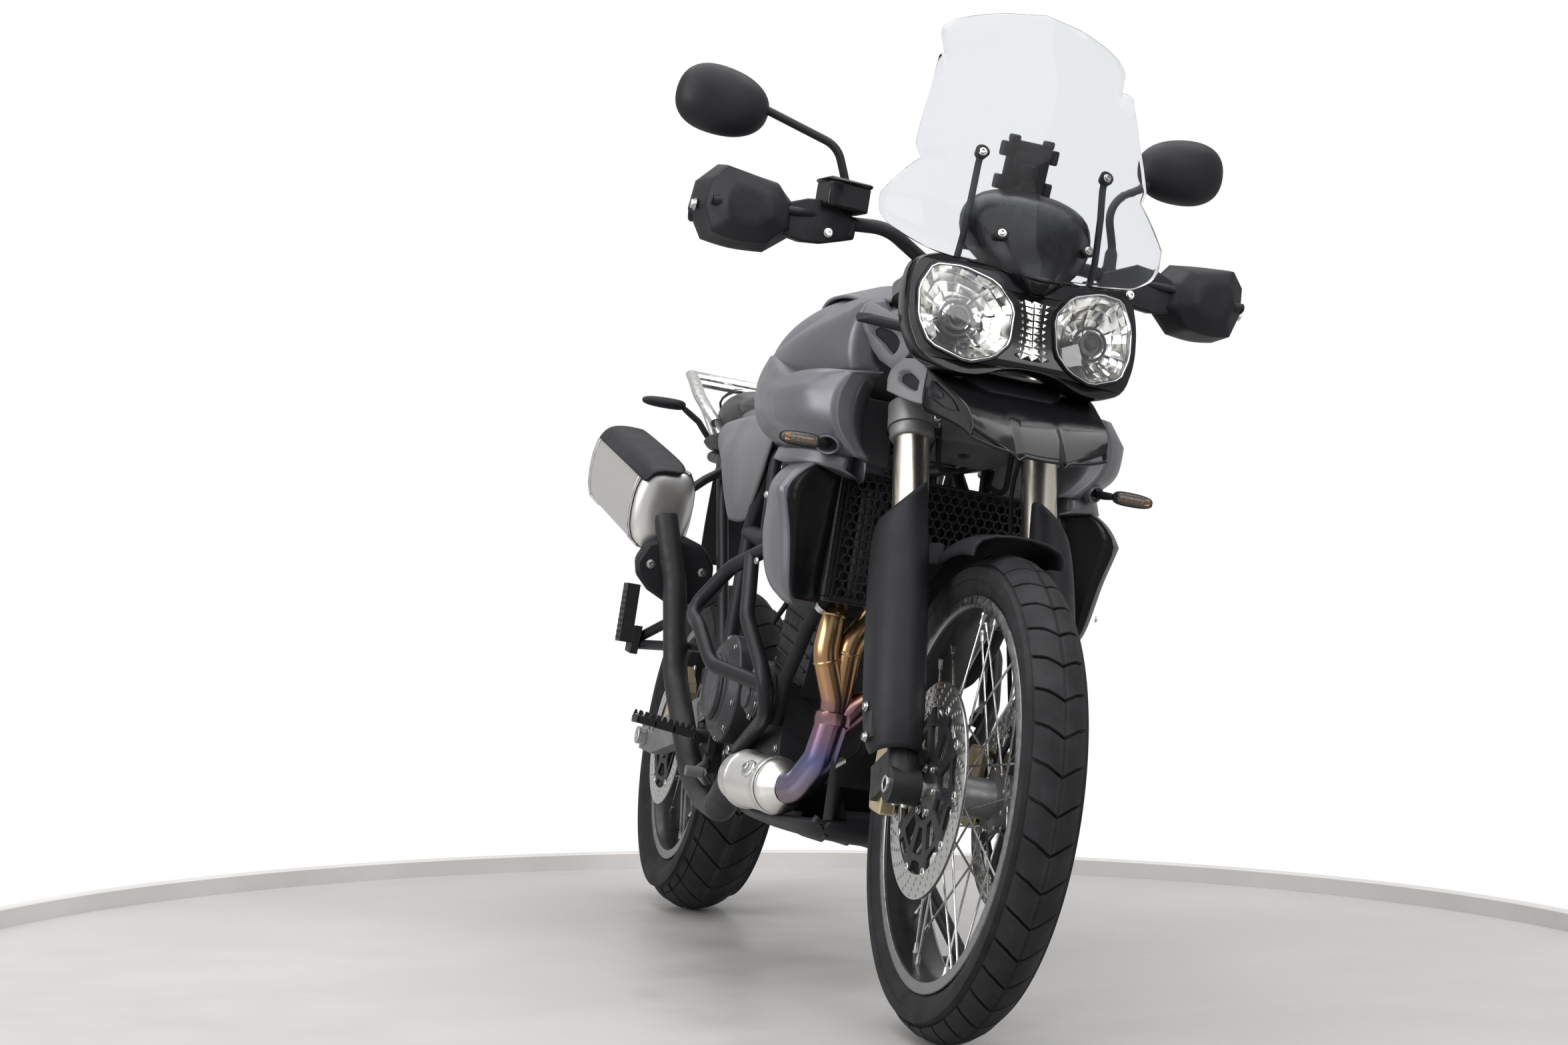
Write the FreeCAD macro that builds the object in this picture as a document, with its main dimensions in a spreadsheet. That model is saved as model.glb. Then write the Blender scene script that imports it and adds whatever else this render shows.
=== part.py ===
import FreeCAD, Part
import Sketcher
import math
import os
from FreeCAD import Placement, Rotation, Vector

# Adventure motorcycle with wire wheels, leaning on its side stand.
# Every piece is drawn on the upright motorcycle: its front is -Y, its left side is +X and up is +Z,
# with the ground at Z zero midway between the axles. The common placement then leans it on its stand.
# Lengths are millimetres. Names that end in deg are angles, and names that end in count are numbers of
# copies.

SIZES = (
    # Stance
    ("wheelbase", 1568.0),
    ("rake_deg", 23.1),
    ("trail", 91.0),
    ("lean_deg", 9.3),
    ("stand_shift_side", -174.0),
    ("stand_shift_length", 13.0),
    # Clearances
    ("running_gap", 0.3),
    ("seat_touch", 0.1),
    ("bead_gap", 0.5),
    ("brake_gap", 5.0),
    ("seam_gap", 3.0),
    ("overrun", 20.0),
    # Front wheel
    ("front_tyre_radius", 347.0),
    ("front_tyre_width", 90.0),
    ("front_crown_radius", 46.0),
    ("front_rim_radius", 281.0),
    ("front_rim_width", 74.0),
    ("front_hub_flange_spacing", 76.0),
    ("front_axle_radius", 12.5),
    ("front_axle_bore", 8.0),
    ("front_disc_radius", 154.0),
    ("front_disc_spacing", 125.6),
    ("front_spoke_pair_count", 9),
    # Rear wheel
    ("rear_tyre_radius", 321.0),
    ("rear_tyre_width", 150.0),
    ("rear_crown_radius", 80.0),
    ("rear_rim_radius", 230.0),
    ("rear_rim_width", 120.0),
    ("rear_hub_flange_spacing", 96.0),
    ("rear_axle_radius", 10.0),
    ("rear_axle_bore", 5.0),
    ("rear_axle_head_radius", 17.0),
    ("rear_disc_radius", 127.5),
    ("rear_disc_offset", 89.0),
    ("rear_spoke_pair_count", 8),
    # Both wheels
    ("crown_edge_deg", 50.0),
    ("rim_lip", 5.0),
    ("rim_flange_height", 13.0),
    ("rim_wall", 9.0),
    ("spoke_radius", 2.0),
    ("spoke_sink", 2.0),
    ("spoke_turn_deg", 52.0),
    ("spoke_side_count", 5),
    ("hub_flange_radius", 44.0),
    ("hub_flange_lip", 4.0),
    ("hub_flange_thickness", 7.0),
    ("hub_barrel_radius", 30.0),
    ("disc_thickness", 5.0),
    ("disc_track", 32.0),
    ("disc_bore_wall", 12.0),
    ("disc_window_edge", 6.0),
    ("disc_arm_count", 6),
    # Fork
    ("fork_half_spacing", 102.0),
    ("fork_tube_radius", 27.0),
    ("slider_radius", 22.5),
    ("fork_tube_bottom", 300.0),
    ("lower_yoke_up", 585.0),
    ("upper_yoke_up", 800.0),
    ("lower_yoke_height", 38.0),
    ("upper_yoke_height", 24.0),
    ("yoke_clamp_wall", 10.0),
    ("yoke_back", 33.0),
    ("stem_radius", 17.0),
    ("stem_bore", 9.0),
    ("head_tube_radius", 28.0),
    ("tube_top_stand", 12.0),
    ("foot_radius", 26.0),
    ("foot_inner", 80.0),
    ("foot_outer", 124.0),
    ("axle_stand_out", 5.0),
    ("guard_wall", 4.0),
    ("guard_top", 425.0),
    ("guard_bottom", 42.0),
    ("guard_outer", 160.0),
    ("guard_rear", 28.0),
    ("guard_front", 52.0),
    ("mudguard_gap", 22.0),
    ("mudguard_half_width", 62.0),
    ("mudguard_wall", 4.0),
    ("mudguard_front_deg", 10.0),
    ("mudguard_rear_deg", 52.0),
    ("mudguard_arm_height", 12.0),
    ("front_caliper_length", 118.0),
    ("rear_caliper_length", 90.0),
    ("caliper_height", 62.0),
    ("caliper_wall", 24.0),
    ("caliper_inner_wall", 12.0),
    ("caliper_lug", 10.0),
    ("hose_radius", 3.5),
    ("hose_bend", 60.0),
    # Handlebar
    ("bar_radius", 11.0),
    ("bar_up", 862.0),
    ("bar_back", 18.0),
    ("bar_half_width", 430.0),
    ("bar_bend", 60.0),
    ("riser_half_spacing", 35.0),
    ("riser_wall", 6.0),
    ("grip_radius", 16.5),
    ("switch_radius", 21.0),
    ("lever_radius", 6.0),
    ("lever_forward", 50.0),
    ("bar_end_length", 24.0),
    ("bar_end_radius", 15.0),
    ("handguard_wall", 5.0),
    ("mirror_stalk_radius", 8.0),
    ("mirror_bend", 40.0),
    ("mirror_head_half_width", 76.0),
    ("mirror_head_half_height", 54.0),
    ("mirror_depth", 46.0),
    ("mirror_side_count", 12),
    # Main frame
    ("frame_tube_radius", 15.0),
    ("strut_tube_radius", 11.0),
    ("frame_front", -375.0),
    ("frame_rear", 196.0),
    ("frame_low", 400.0),
    ("frame_high", 875.0),
    ("frame_half_width", 140.0),
    ("pivot_plate_inner", 129.0),
    ("pivot_plate_outer", 147.0),
    ("pivot_plate_half_length", 52.0),
    ("pivot_plate_half_height", 110.0),
    ("pivot_bolt_radius", 14.0),
    ("pivot_bolt_stand_out", 6.0),
    ("swingarm_pivot_y", 196.0),
    ("swingarm_pivot_z", 400.0),
    ("gusset_half_width", 26.0),
    ("gusset_reach", 45.0),
    ("engine_mount_radius", 16.0),
    # Fairing stay
    ("stay_half_width", 18.0),
    ("stay_half_height", 18.0),
    ("stay_tube_radius", 10.0),
    ("stay_front", -600.0),
    ("stay_rise", 1010.0),
    ("stay_half_length", 120.0),
    # Swingarm, shock and chain
    ("swingarm_inner", 105.0),
    ("swingarm_wall", 30.0),
    ("swingarm_tube_radius", 24.0),
    ("swingarm_end", 44.0),
    ("swingarm_half_depth", 30.0),
    ("shock_body_radius", 20.0),
    ("shock_coil_inner", 31.0),
    ("shock_coil_radius", 36.0),
    ("shock_coil_pitch", 27.0),
    ("shock_coil_wire", 9.0),
    ("shock_coil_count", 7),
    ("shock_top_z", 720.0),
    ("front_sprocket_radius", 40.4),
    ("rear_sprocket_radius", 126.3),
    ("rear_sprocket_tooth_count", 50),
    ("sprocket_hole_count", 6),
    ("chain_offset", 92.0),
    ("chain_roller_radius", 5.1),
    ("chain_plate_height", 14.0),
    ("chain_plate_thickness", 4.0),
    ("chain_plate_spacing", 11.0),
    ("small_chain_count", 16),
    ("large_chain_count", 22),
    ("sprocket_forward", 92.0),
    ("sprocket_drop", 4.0),
    ("sprocket_room", 8.0),
    # Exhaust
    ("header_radius", 19.0),
    ("header_bend", 45.0),
    ("down_pipe_radius", 26.0),
    ("collector_radius", 44.0),
    ("link_pipe_radius", 22.0),
    ("can_half_width", 58.0),
    ("can_half_height", 80.0),
    ("silencer_outlet_radius", 20.0),
    ("silencer_outlet_depth", 60.0),
    ("shield_wall", 3.0),
    ("shield_gap", 6.0),
    ("spacer_radius", 9.0),
    # Crash bars, pegs and stand
    ("crash_tube_radius", 13.0),
    ("crash_bend", 60.0),
    ("peg_reach", 292.0),
    ("peg_half_width", 22.0),
    ("peg_half_height", 12.0),
    ("peg_plate", 14.0),
    ("peg_boss_radius", 12.0),
    ("peg_y", 172.0),
    ("peg_z", 352.0),
    ("hanger_radius", 9.0),
    ("pillion_peg_x", 228.0),
    ("pillion_peg_y", 545.0),
    ("pillion_peg_z", 508.0),
    ("pillion_peg_length", 96.0),
    ("lever_tube_radius", 8.0),
    ("stand_pivot_x", 168.0),
    ("stand_pivot_y", 60.0),
    ("stand_pivot_z", 262.0),
    ("stand_axis_deg", 26.3),
    ("stand_foot_x", 282.0),
    ("stand_foot_y", -70.0),
    ("stand_leg_radius", 13.0),
    ("stand_eye_radius", 22.0),
    ("stand_eye_half", 14.0),
    ("stand_pin_radius", 8.0),
    ("stand_pad_half_width", 26.0),
    ("stand_pad_half_length", 34.0),
    ("stand_pad_height", 10.0),
    # Lamps and signals
    ("signal_half_height", 11.0),
    ("signal_half_depth", 13.0),
    ("signal_stalk_radius", 6.0),
    # Panels
    ("panel_wall", 5.0),
    ("screen_wall", 4.0),
    ("cap_radius", 48.0),
    ("cap_height", 16.0),
    ("boss_radius", 10.0),
    # Boxes that the larger pieces fill: front, rear, low, high and half width
    ("tank_front", -360.0),
    ("tank_rear", 100.0),
    ("tank_low", 890.0),
    ("tank_high", 1125.0),
    ("tank_half_width", 165.0),
    ("shroud_front", -560.0),
    ("shroud_rear", -20.0),
    ("shroud_low", 791.0),
    ("shroud_high", 1005.0),
    ("shroud_half_width", 276.0),
    ("cowl_front", -520.0),
    ("cowl_rear", -340.0),
    ("cowl_low", 570.0),
    ("cowl_high", 790.0),
    ("cowl_half_width", 284.0),
    ("radiator_front", -455.0),
    ("radiator_rear", -420.0),
    ("radiator_low", 600.0),
    ("radiator_high", 800.0),
    ("radiator_half_width", 165.0),
    ("nose_front", -760.0),
    ("nose_rear", -600.0),
    ("nose_low", 940.0),
    ("nose_high", 1120.0),
    ("nose_half_width", 180.0),
    ("beak_front", -880.0),
    ("beak_rear", -640.0),
    ("beak_low", 832.0),
    ("beak_high", 932.0),
    ("beak_half_width", 130.0),
    ("flank_front", -765.0),
    ("flank_rear", -430.0),
    ("flank_low", 848.0),
    ("flank_high", 1078.0),
    ("flank_half_width", 215.0),
    ("screen_front", -772.0),
    ("screen_rear", -530.0),
    ("screen_low", 1086.0),
    ("screen_high", 1522.0),
    ("screen_half_width", 224.0),
    ("dash_front", -738.0),
    ("dash_rear", -572.0),
    ("dash_high", 1236.0),
    ("dash_half_width", 98.0),
    ("holder_front", -606.0),
    ("holder_rear", -574.0),
    ("holder_low", 1250.0),
    ("holder_high", 1306.0),
    ("holder_half_width", 40.0),
    ("seat_front", 103.0),
    ("seat_rear", 770.0),
    ("seat_split", 430.0),
    ("seat_low", 860.0),
    ("seat_high", 1000.0),
    ("seat_half_width", 150.0),
    ("tail_front", 300.0),
    ("tail_rear", 960.0),
    ("tail_low", 830.0),
    ("tail_high", 930.0),
    ("tail_half_width", 125.0),
    ("flap_low", 680.0),
    ("side_panel_front", 40.0),
    ("side_panel_rear", 520.0),
    ("side_panel_low", 730.0),
    ("side_panel_high", 930.0),
    ("side_panel_half_width", 185.0),
    ("rack_front", 640.0),
    ("rack_rear", 1095.0),
    ("rack_low", 946.0),
    ("rack_high", 1070.0),
    ("rack_half_width", 140.0),
    ("rack_tube_radius", 10.0),
    ("engine_front", -330.0),
    ("engine_rear", 126.0),
    ("engine_low", 265.0),
    ("engine_high", 770.0),
    ("engine_half_width", 141.0),
    ("clutch_cover_radius", 92.0),
    ("clutch_cover_depth", 60.0),
    ("pump_cover_radius", 40.0),
    ("pump_cover_depth", 44.0),
    ("generator_cover_radius", 66.0),
    ("generator_cover_depth", 46.0),
    ("bash_front", -420.0),
    ("bash_rear", -60.0),
    ("bash_low", 235.0),
    ("bash_high", 330.0),
    ("bash_half_width", 150.0),
    ("crash_front", -320.0),
    ("crash_rear", 30.0),
    ("crash_low", 326.0),
    ("crash_high", 700.0),
    ("crash_half_width", 258.0),
    ("exhaust_front", -400.0),
    ("exhaust_rear", -265.0),
    ("exhaust_low", 322.0),
    ("exhaust_high", 640.0),
    ("exhaust_half_width", 100.0),
    ("silencer_front", 400.0),
    ("silencer_rear", 830.0),
    ("silencer_low", 738.0),
    ("silencer_high", 836.0),
    ("silencer_half_width", 268.0),
    ("controls_front", -35.0),
    ("controls_rear", 190.0),
    ("controls_low", 280.0),
    ("controls_high", 346.0),
    ("controls_half_width", 236.0),
    ("signals_front", -545.0),
    ("signals_rear", 915.0),
    ("signals_low", 825.0),
    ("signals_high", 965.0),
    ("signals_half_width", 305.0),
    ("mirror_front", -430.0),
    ("mirror_rear", -395.0),
    ("mirror_low", 1133.0),
    ("mirror_high", 1370.0),
    ("mirror_half_width", 436.0),
    ("guard_box_front", -495.0),
    ("guard_box_rear", -372.0),
    ("guard_box_low", 1098.0),
    ("guard_box_high", 1240.0),
    ("guard_box_half_width", 450.0),
)

doc = FreeCAD.newDocument("adventure_motorcycle")
sheet = doc.addObject("Spreadsheet::Sheet", "Sizes")
for row, (alias, value) in enumerate(SIZES, start=1):
    sheet.set("A%d" % row, alias)
    sheet.set("B%d" % row, str(value))
    sheet.setAlias("B%d" % row, alias)
doc.recompute()


class SheetSizes:
    """The spreadsheet's values by alias: counts as whole numbers, the rest as floats."""


d = SheetSizes()
for alias, value in SIZES:
    number = sheet.get(alias)
    setattr(d, alias, int(number) if alias.endswith("count") else float(number))

ORIGIN = Vector(0, 0, 0)
SIDEWAYS = Vector(1, 0, 0)
REARWARD = Vector(0, 1, 0)
UPWARD = Vector(0, 0, 1)


class Region:
    """A box on the motorcycle. Places in it are shares of its own named sizes."""

    def __init__(self, name):
        self.front = getattr(d, name + "_front")
        self.rear = getattr(d, name + "_rear")
        self.low = getattr(d, name + "_low")
        self.high = getattr(d, name + "_high")
        self.half_width = getattr(d, name + "_half_width")

    def spot(self, across, along, up):
        return Vector(across * self.half_width,
                      self.front + along * (self.rear - self.front),
                      self.low + up * (self.high - self.low))

    def spots(self, shares):
        return [self.spot(*share) for share in shares]


# Common shape helpers
STRAIGHT = 1e-3
CORNER_ROOM_SHARE = 0.45


def rod(start, end, radius):
    span = end - start
    return Part.makeCylinder(radius, span.Length, start, span)


def closed_wire(points):
    return Part.makePolygon(list(points) + [points[0]])


def slab(outline, push):
    return Part.Face(closed_wire(outline)).extrude(push)


def loft(sections):
    return Part.makeLoft([closed_wire(section) for section in sections], True, True)


def facet(*corners):
    return Part.Face(closed_wire(corners))


def quad(a, b, c, e):
    return [facet(a, b, c), facet(a, c, e)]


def solid_of(faces):
    shell = Part.makeShell(faces)
    shell.sewShape()
    solid = Part.Solid(shell)
    if solid.Volume < 0:
        solid.reverse()
    return solid


def hull_of_rings(rings):
    """Solid through rings of points, each ring with as many points as the others."""
    faces = []
    count = len(rings[0])
    for ring, after in zip(rings, rings[1:]):
        for i in range(count):
            j = (i + 1) % count
            faces += quad(ring[i], ring[j], after[j], after[i])
    for ring in (rings[0], rings[-1]):
        middle = sum(ring, ORIGIN) * (1.0 / count)
        for i in range(count):
            faces.append(facet(ring[i], ring[(i + 1) % count], middle))
    return solid_of(faces)


def shell_between(outer, inner):
    """Thin wall between two grids of points, closed round its border."""
    faces = []
    last_row = len(outer) - 1
    last = len(outer[0]) - 1
    for grid in (outer, inner):
        for row, after in zip(grid, grid[1:]):
            for i in range(last):
                faces += quad(row[i], row[i + 1], after[i + 1], after[i])
    for r in range(last_row):
        for i in (0, last):
            faces += quad(outer[r][i], outer[r + 1][i], inner[r + 1][i], inner[r][i])
    for r in (0, last_row):
        for i in range(last):
            faces += quad(outer[r][i], outer[r][i + 1], inner[r][i + 1], inner[r][i])
    return solid_of(faces)


def sheet_solid(rows, push):
    """Sheet through rows of points, made thick by moving each point along push."""
    return shell_between(rows, [[point + push for point in row] for row in rows])


def eased(points, bend, steps=2):
    """The route with each corner cut by chords of an arc of radius bend."""
    route = [points[0]]
    for before, corner, after in zip(points, points[1:], points[2:]):
        into = Vector(corner - before)
        out = Vector(after - corner)
        room = CORNER_ROOM_SHARE * min(into.Length, out.Length)
        into.normalize()
        out.normalize()
        half_turn = into.getAngle(out) / 2
        if half_turn < STRAIGHT:
            continue
        reach = min(bend * math.tan(half_turn), room)
        radius = reach / math.tan(half_turn)
        inward = Vector(out - into).normalize()
        centre = corner + inward * (radius / math.cos(half_turn))
        for step in range(steps + 1):
            angle = half_turn * (2.0 * step / steps - 1)
            back = inward * (-math.cos(angle)) + Vector(into + out).normalize() * math.sin(angle)
            route.append(centre + back * radius)
    route.append(points[-1])
    return route


def tube(points, radius, bend=0, steps=2):
    route = eased(points, bend, steps) if bend else points
    ring = Part.Wire(Part.makeCircle(radius, route[0], route[1] - route[0]))
    return Part.makePolygon(route).makePipeShell([ring], True, False, 1)


def joined(*shapes):
    if len(shapes) == 1:
        return shapes[0]
    return shapes[0].fuse(list(shapes[1:]))


def main_part(shape):
    """The largest solid of a shape, where a cut leaves an offcut."""
    return max(shape.Solids, key=lambda solid: solid.Volume)


def mirrored(shape):
    return shape.mirror(ORIGIN, SIDEWAYS)


def both_sides(shape):
    return Part.makeCompound([shape, mirrored(shape)])


def mirrored_row(region, half_shares):
    """Row across the motorcycle from the shares of its left half, which start on the middle line."""
    left = region.spots(half_shares)
    right = [Vector(-point.x, point.y, point.z) for point in reversed(left[1:])]
    return right + left


# The common lean: the tyres roll on the part of their crowns that lies at the lean angle
lean = Rotation(REARWARD, d.lean_deg)
lift = max(d.front_crown_radius, d.rear_crown_radius) * (1 - math.cos(math.radians(d.lean_deg)))
LEANING = Placement(Vector(d.stand_shift_side, d.stand_shift_length, lift), lean)

made = []


def add(label, shape):
    """Keep a shape as a named piece, leant with the rest."""
    piece = doc.addObject("Part::Feature", label)
    piece.Label = label
    piece.Shape = shape
    piece.Placement = LEANING
    made.append(piece)
    return piece


# Sketched bodies, whose every corner is bound to the sheet
def origin_plane(body, role):
    return [part for part in body.Origin.OriginFeatures if part.Role == role][0]


def sketch_on(body, name, role):
    sketch = body.newObject("Sketcher::SketchObject", name)
    sketch.AttachmentSupport = [(origin_plane(body, role), "")]
    sketch.MapMode = "FlatFace"
    return sketch


def bound_outline(body, name, role, corners):
    """Closed outline. Each corner is a pair of expressions, and its sketch holds it to them."""
    sketch = sketch_on(body, name, role)
    places = [Vector(float(sketch.evalExpression(a)), float(sketch.evalExpression(b)), 0)
              for a, b in corners]
    count = len(places)
    for i in range(count):
        sketch.addGeometry(Part.LineSegment(places[i], places[(i + 1) % count]))
    for i in range(count):
        sketch.addConstraint(Sketcher.Constraint("Coincident", i, 2, (i + 1) % count, 1))
    for i, pair in enumerate(corners):
        for kind, rule, value in (("DistanceX", pair[0], places[i].x), ("DistanceY", pair[1], places[i].y)):
            index = sketch.addConstraint(Sketcher.Constraint(kind, -1, 1, i, 1, value))
            sketch.setExpression("Constraints[%d]" % index, rule)
    return sketch


def turned_body(label, corners):
    """Body turned about the side-to-side axis. Each corner is (across, radius) as expressions."""
    body = doc.addObject("PartDesign::Body", label)
    body.Label = label
    profile = bound_outline(body, label + "_profile", "XY_Plane", corners)
    turning = body.newObject("PartDesign::Revolution", label + "_turning")
    turning.Profile = profile
    turning.ReferenceAxis = (profile, ["H_Axis"])
    turning.Angle = 360
    return body


def both_halves(half):
    """Outline of a section from its right half, listed from the top: the left half mirrors it."""
    left = [("-(%s)" % across, up) for across, up in half]
    return list(reversed(left)) + half


def place_at(piece, spot):
    piece.Placement = LEANING.multiply(Placement(spot, Rotation()))


# Reference places
front_axle = Vector(0, -d.wheelbase / 2, d.front_tyre_radius)
rear_axle = Vector(0, d.wheelbase / 2, d.rear_tyre_radius)
rake = math.radians(d.rake_deg)
fork_up = Vector(0, math.sin(rake), math.cos(rake))
fork_forward = Vector(0, -math.cos(rake), math.sin(rake))
fork_offset = d.front_tyre_radius * math.sin(rake) - d.trail * math.cos(rake)
pivot = Vector(0, d.swingarm_pivot_y, d.swingarm_pivot_z)


def fork_spot(across, forward, up):
    """Place on the fork: forward and up are measured square to and along the legs from the axle."""
    return front_axle + SIDEWAYS * across + fork_forward * forward + fork_up * up


# Wheels
def tyre(end):
    """Tyre as a turned body. Its tread has a corner at the lean angle, on which it stands."""
    s = "Sizes." + end
    crown = s + "_crown_radius"
    radius = s + "_tyre_radius"
    height = "(%s_tyre_radius - %s_rim_radius)" % (s, s)
    half = [("%s * sin(Sizes.lean_deg * 1 deg)" % crown,
             "%s - %s * (1 - cos(Sizes.lean_deg * 1 deg))" % (radius, crown)),
            ("%s * sin(Sizes.crown_edge_deg * 1 deg)" % crown,
             "%s - %s * (1 - cos(Sizes.crown_edge_deg * 1 deg))" % (radius, crown)),
            ("%s_tyre_width / 2" % s, "%s_rim_radius + 0.46 * %s" % (s, height)),
            ("%s_rim_width / 2 - Sizes.rim_lip - Sizes.bead_gap" % s, "%s_rim_radius + Sizes.bead_gap" % s)]
    return turned_body(end + "_tyre", both_halves(half))


def rim(end):
    s = "Sizes." + end
    bed = "%s_rim_radius - Sizes.rim_flange_height" % s
    lip = "%s_rim_width / 2 - Sizes.rim_lip" % s
    edge = "%s_rim_width / 2" % s
    return turned_body(end + "_rim", [
        ("-(%s)" % edge, bed), ("-(%s)" % edge, s + "_rim_radius"), ("-(%s)" % lip, s + "_rim_radius"),
        ("-(%s)" % lip, bed), (lip, bed), (lip, s + "_rim_radius"), (edge, s + "_rim_radius"), (edge, bed),
        (lip, bed + " - Sizes.rim_wall"), ("-(%s)" % lip, bed + " - Sizes.rim_wall")])


def hub(end, right_end, left_end):
    s = "Sizes." + end
    flange = "%s_hub_flange_spacing / 2" % s
    bore = "%s_axle_radius + Sizes.running_gap" % s
    near = "%s - Sizes.hub_flange_thickness" % flange
    far = "%s + Sizes.hub_flange_thickness" % flange
    rim_up = "Sizes.hub_flange_radius + Sizes.hub_flange_lip"
    side = [(near, "Sizes.hub_barrel_radius"), (flange, rim_up), (far, rim_up),
            (far, "Sizes.hub_flange_radius * 0.9")]
    left = side + [(left_end, "Sizes.hub_flange_radius * 0.9"), (left_end, bore)]
    right = side + [(right_end, "Sizes.hub_flange_radius * 0.9"), (right_end, bore)]
    return turned_body(end + "_hub", [("-(%s)" % across, up) for across, up in reversed(right)] + left)


def ring_of(direction, radius, side_count):
    """Corners evenly round a line, square to it."""
    across = Vector(direction).cross(SIDEWAYS).normalize()
    other = Vector(direction).cross(across).normalize()
    turn = 2 * math.pi / side_count
    return [across * (radius * math.cos(turn * i)) + other * (radius * math.sin(turn * i))
            for i in range(side_count)]


def spoke(foot_across, foot_angle, tip_across, tip_angle, foot_radius, tip_radius):
    start = Vector(foot_across, foot_radius * math.cos(foot_angle), foot_radius * math.sin(foot_angle))
    end = Vector(tip_across, tip_radius * math.cos(tip_angle), tip_radius * math.sin(tip_angle))
    span = end - start
    return slab([start + corner for corner in ring_of(span, d.spoke_radius, d.spoke_side_count)], span)


def spokes(end, pair_count):
    """Crossed spokes from both hub flanges to the rim, each sunk a little at both ends."""
    rim_width = getattr(d, end + "_rim_width")
    flange = getattr(d, end + "_hub_flange_spacing") / 2
    bed = getattr(d, end + "_rim_radius") - d.rim_flange_height - d.rim_wall
    tip_share = 0.12
    lead_share = 0.3
    pieces = []
    for side in (-1, 1):
        for pair in range(pair_count):
            base = 2 * math.pi * (pair + 0.25 * side) / pair_count
            for lead in (-1, 1):
                foot = base + lead * math.pi / pair_count / 2
                tip = foot + lead * math.radians(d.spoke_turn_deg)
                pieces.append(spoke(side * (flange + lead * d.hub_flange_thickness * lead_share), foot,
                                    side * rim_width * tip_share, tip,
                                    d.hub_flange_radius - d.spoke_sink, bed + d.spoke_sink))
    return Part.makeCompound(pieces)


def wire_wheel(end, axle, right_end, left_end, pair_count):
    """Rim, hub and spokes, fused to one piece."""
    lacing = doc.addObject("Part::Feature", end + "_spokes")
    lacing.Shape = spokes(end, pair_count)
    wheel = doc.addObject("Part::MultiFuse", end + "_wire_wheel")
    wheel.Label = end + "_wire_wheel"
    wheel.Shapes = [rim(end), hub(end, right_end, left_end), lacing]
    place_at(wheel, axle)
    made.append(wheel)


def ring_body(label, thickness, radius, bore):
    """Flat ring about the side-to-side axis, padded both ways from its middle."""
    body = doc.addObject("PartDesign::Body", label)
    body.Label = label
    sketch = sketch_on(body, label + "_ring", "YZ_Plane")
    for index, size in enumerate((radius, bore)):
        value = float(sketch.evalExpression(size))
        sketch.addGeometry(Part.Circle(ORIGIN, UPWARD, value))
        sketch.addConstraint(Sketcher.Constraint("Coincident", index, 3, -1, 1))
        number = sketch.addConstraint(Sketcher.Constraint("Radius", index, value))
        sketch.setExpression("Constraints[%d]" % number, size)
    pad = body.newObject("PartDesign::Pad", label + "_pad")
    pad.Profile = sketch
    pad.Midplane = True
    pad.setExpression("Length", thickness)
    doc.recompute()
    return body


def cut_round(body, name, outline, count):
    """Pocket through the body, repeated round its axis."""
    sketch = bound_outline(body, name + "_outline", "YZ_Plane", outline)
    pocket = body.newObject("PartDesign::Pocket", name)
    pocket.Profile = sketch
    pocket.Midplane = True
    pocket.Type = 1
    pattern = body.newObject("PartDesign::PolarPattern", name + "_round")
    pattern.Originals = [pocket]
    pattern.Axis = (sketch, ["N_Axis"])
    pattern.Angle = 360
    pattern.setExpression("Occurrences", count)
    body.Tip = pattern


def brake_disc(label, end):
    """Ring with windows between the arms of its carrier."""
    s = "Sizes." + end
    bore = "%s_axle_radius + Sizes.disc_bore_wall" % s
    body = ring_body(label, "Sizes.disc_thickness", s + "_disc_radius", bore)
    track = "(%s_disc_radius - Sizes.disc_track)" % s
    outer = "(%s - Sizes.disc_window_edge)" % track
    inner = "(%s + 0.28 * (%s - %s))" % (bore, track, bore)
    half_turn = "180 deg / Sizes.disc_arm_count * %s"
    corners = []
    for radius, share in ((inner, "-0.5"), (outer, "-0.72"), (outer, "0"), (outer, "0.72"), (inner, "0.5")):
        turn = half_turn % share
        corners.append(("%s * cos(%s)" % (radius, turn), "%s * sin(%s)" % (radius, turn)))
    cut_round(body, label + "_window", corners, "Sizes.disc_arm_count")
    return body


front_hub_half = d.front_disc_spacing / 2 - d.disc_thickness / 2
FRONT_HUB_END = "Sizes.front_disc_spacing / 2 - Sizes.disc_thickness / 2"
REAR_HUB_RIGHT = "Sizes.rear_disc_offset - Sizes.disc_thickness / 2"
REAR_HUB_LEFT = "Sizes.chain_offset - Sizes.chain_plate_thickness"
for end, axle in (("front", front_axle), ("rear", rear_axle)):
    rubber = tyre(end)
    place_at(rubber, axle)
    made.append(rubber)
wire_wheel("front", front_axle, FRONT_HUB_END, FRONT_HUB_END, d.front_spoke_pair_count)
wire_wheel("rear", rear_axle, REAR_HUB_RIGHT, REAR_HUB_LEFT, d.rear_spoke_pair_count)
doc.recompute()

disc_in = front_hub_half
disc_out = d.front_disc_spacing / 2 + d.disc_thickness / 2
front_disc = brake_disc("front_disc", "front")
doc.recompute()
disc_shift = SIDEWAYS * (d.front_disc_spacing / 2)
one_disc = front_disc.Shape
add("front_discs", Part.makeCompound([one_disc.translated(front_axle + disc_shift),
                                      one_disc.translated(front_axle - disc_shift)]))
rear_disc = brake_disc("rear_disc", "rear")
place_at(rear_disc, rear_axle - SIDEWAYS * d.rear_disc_offset)
made.append(rear_disc)


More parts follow.
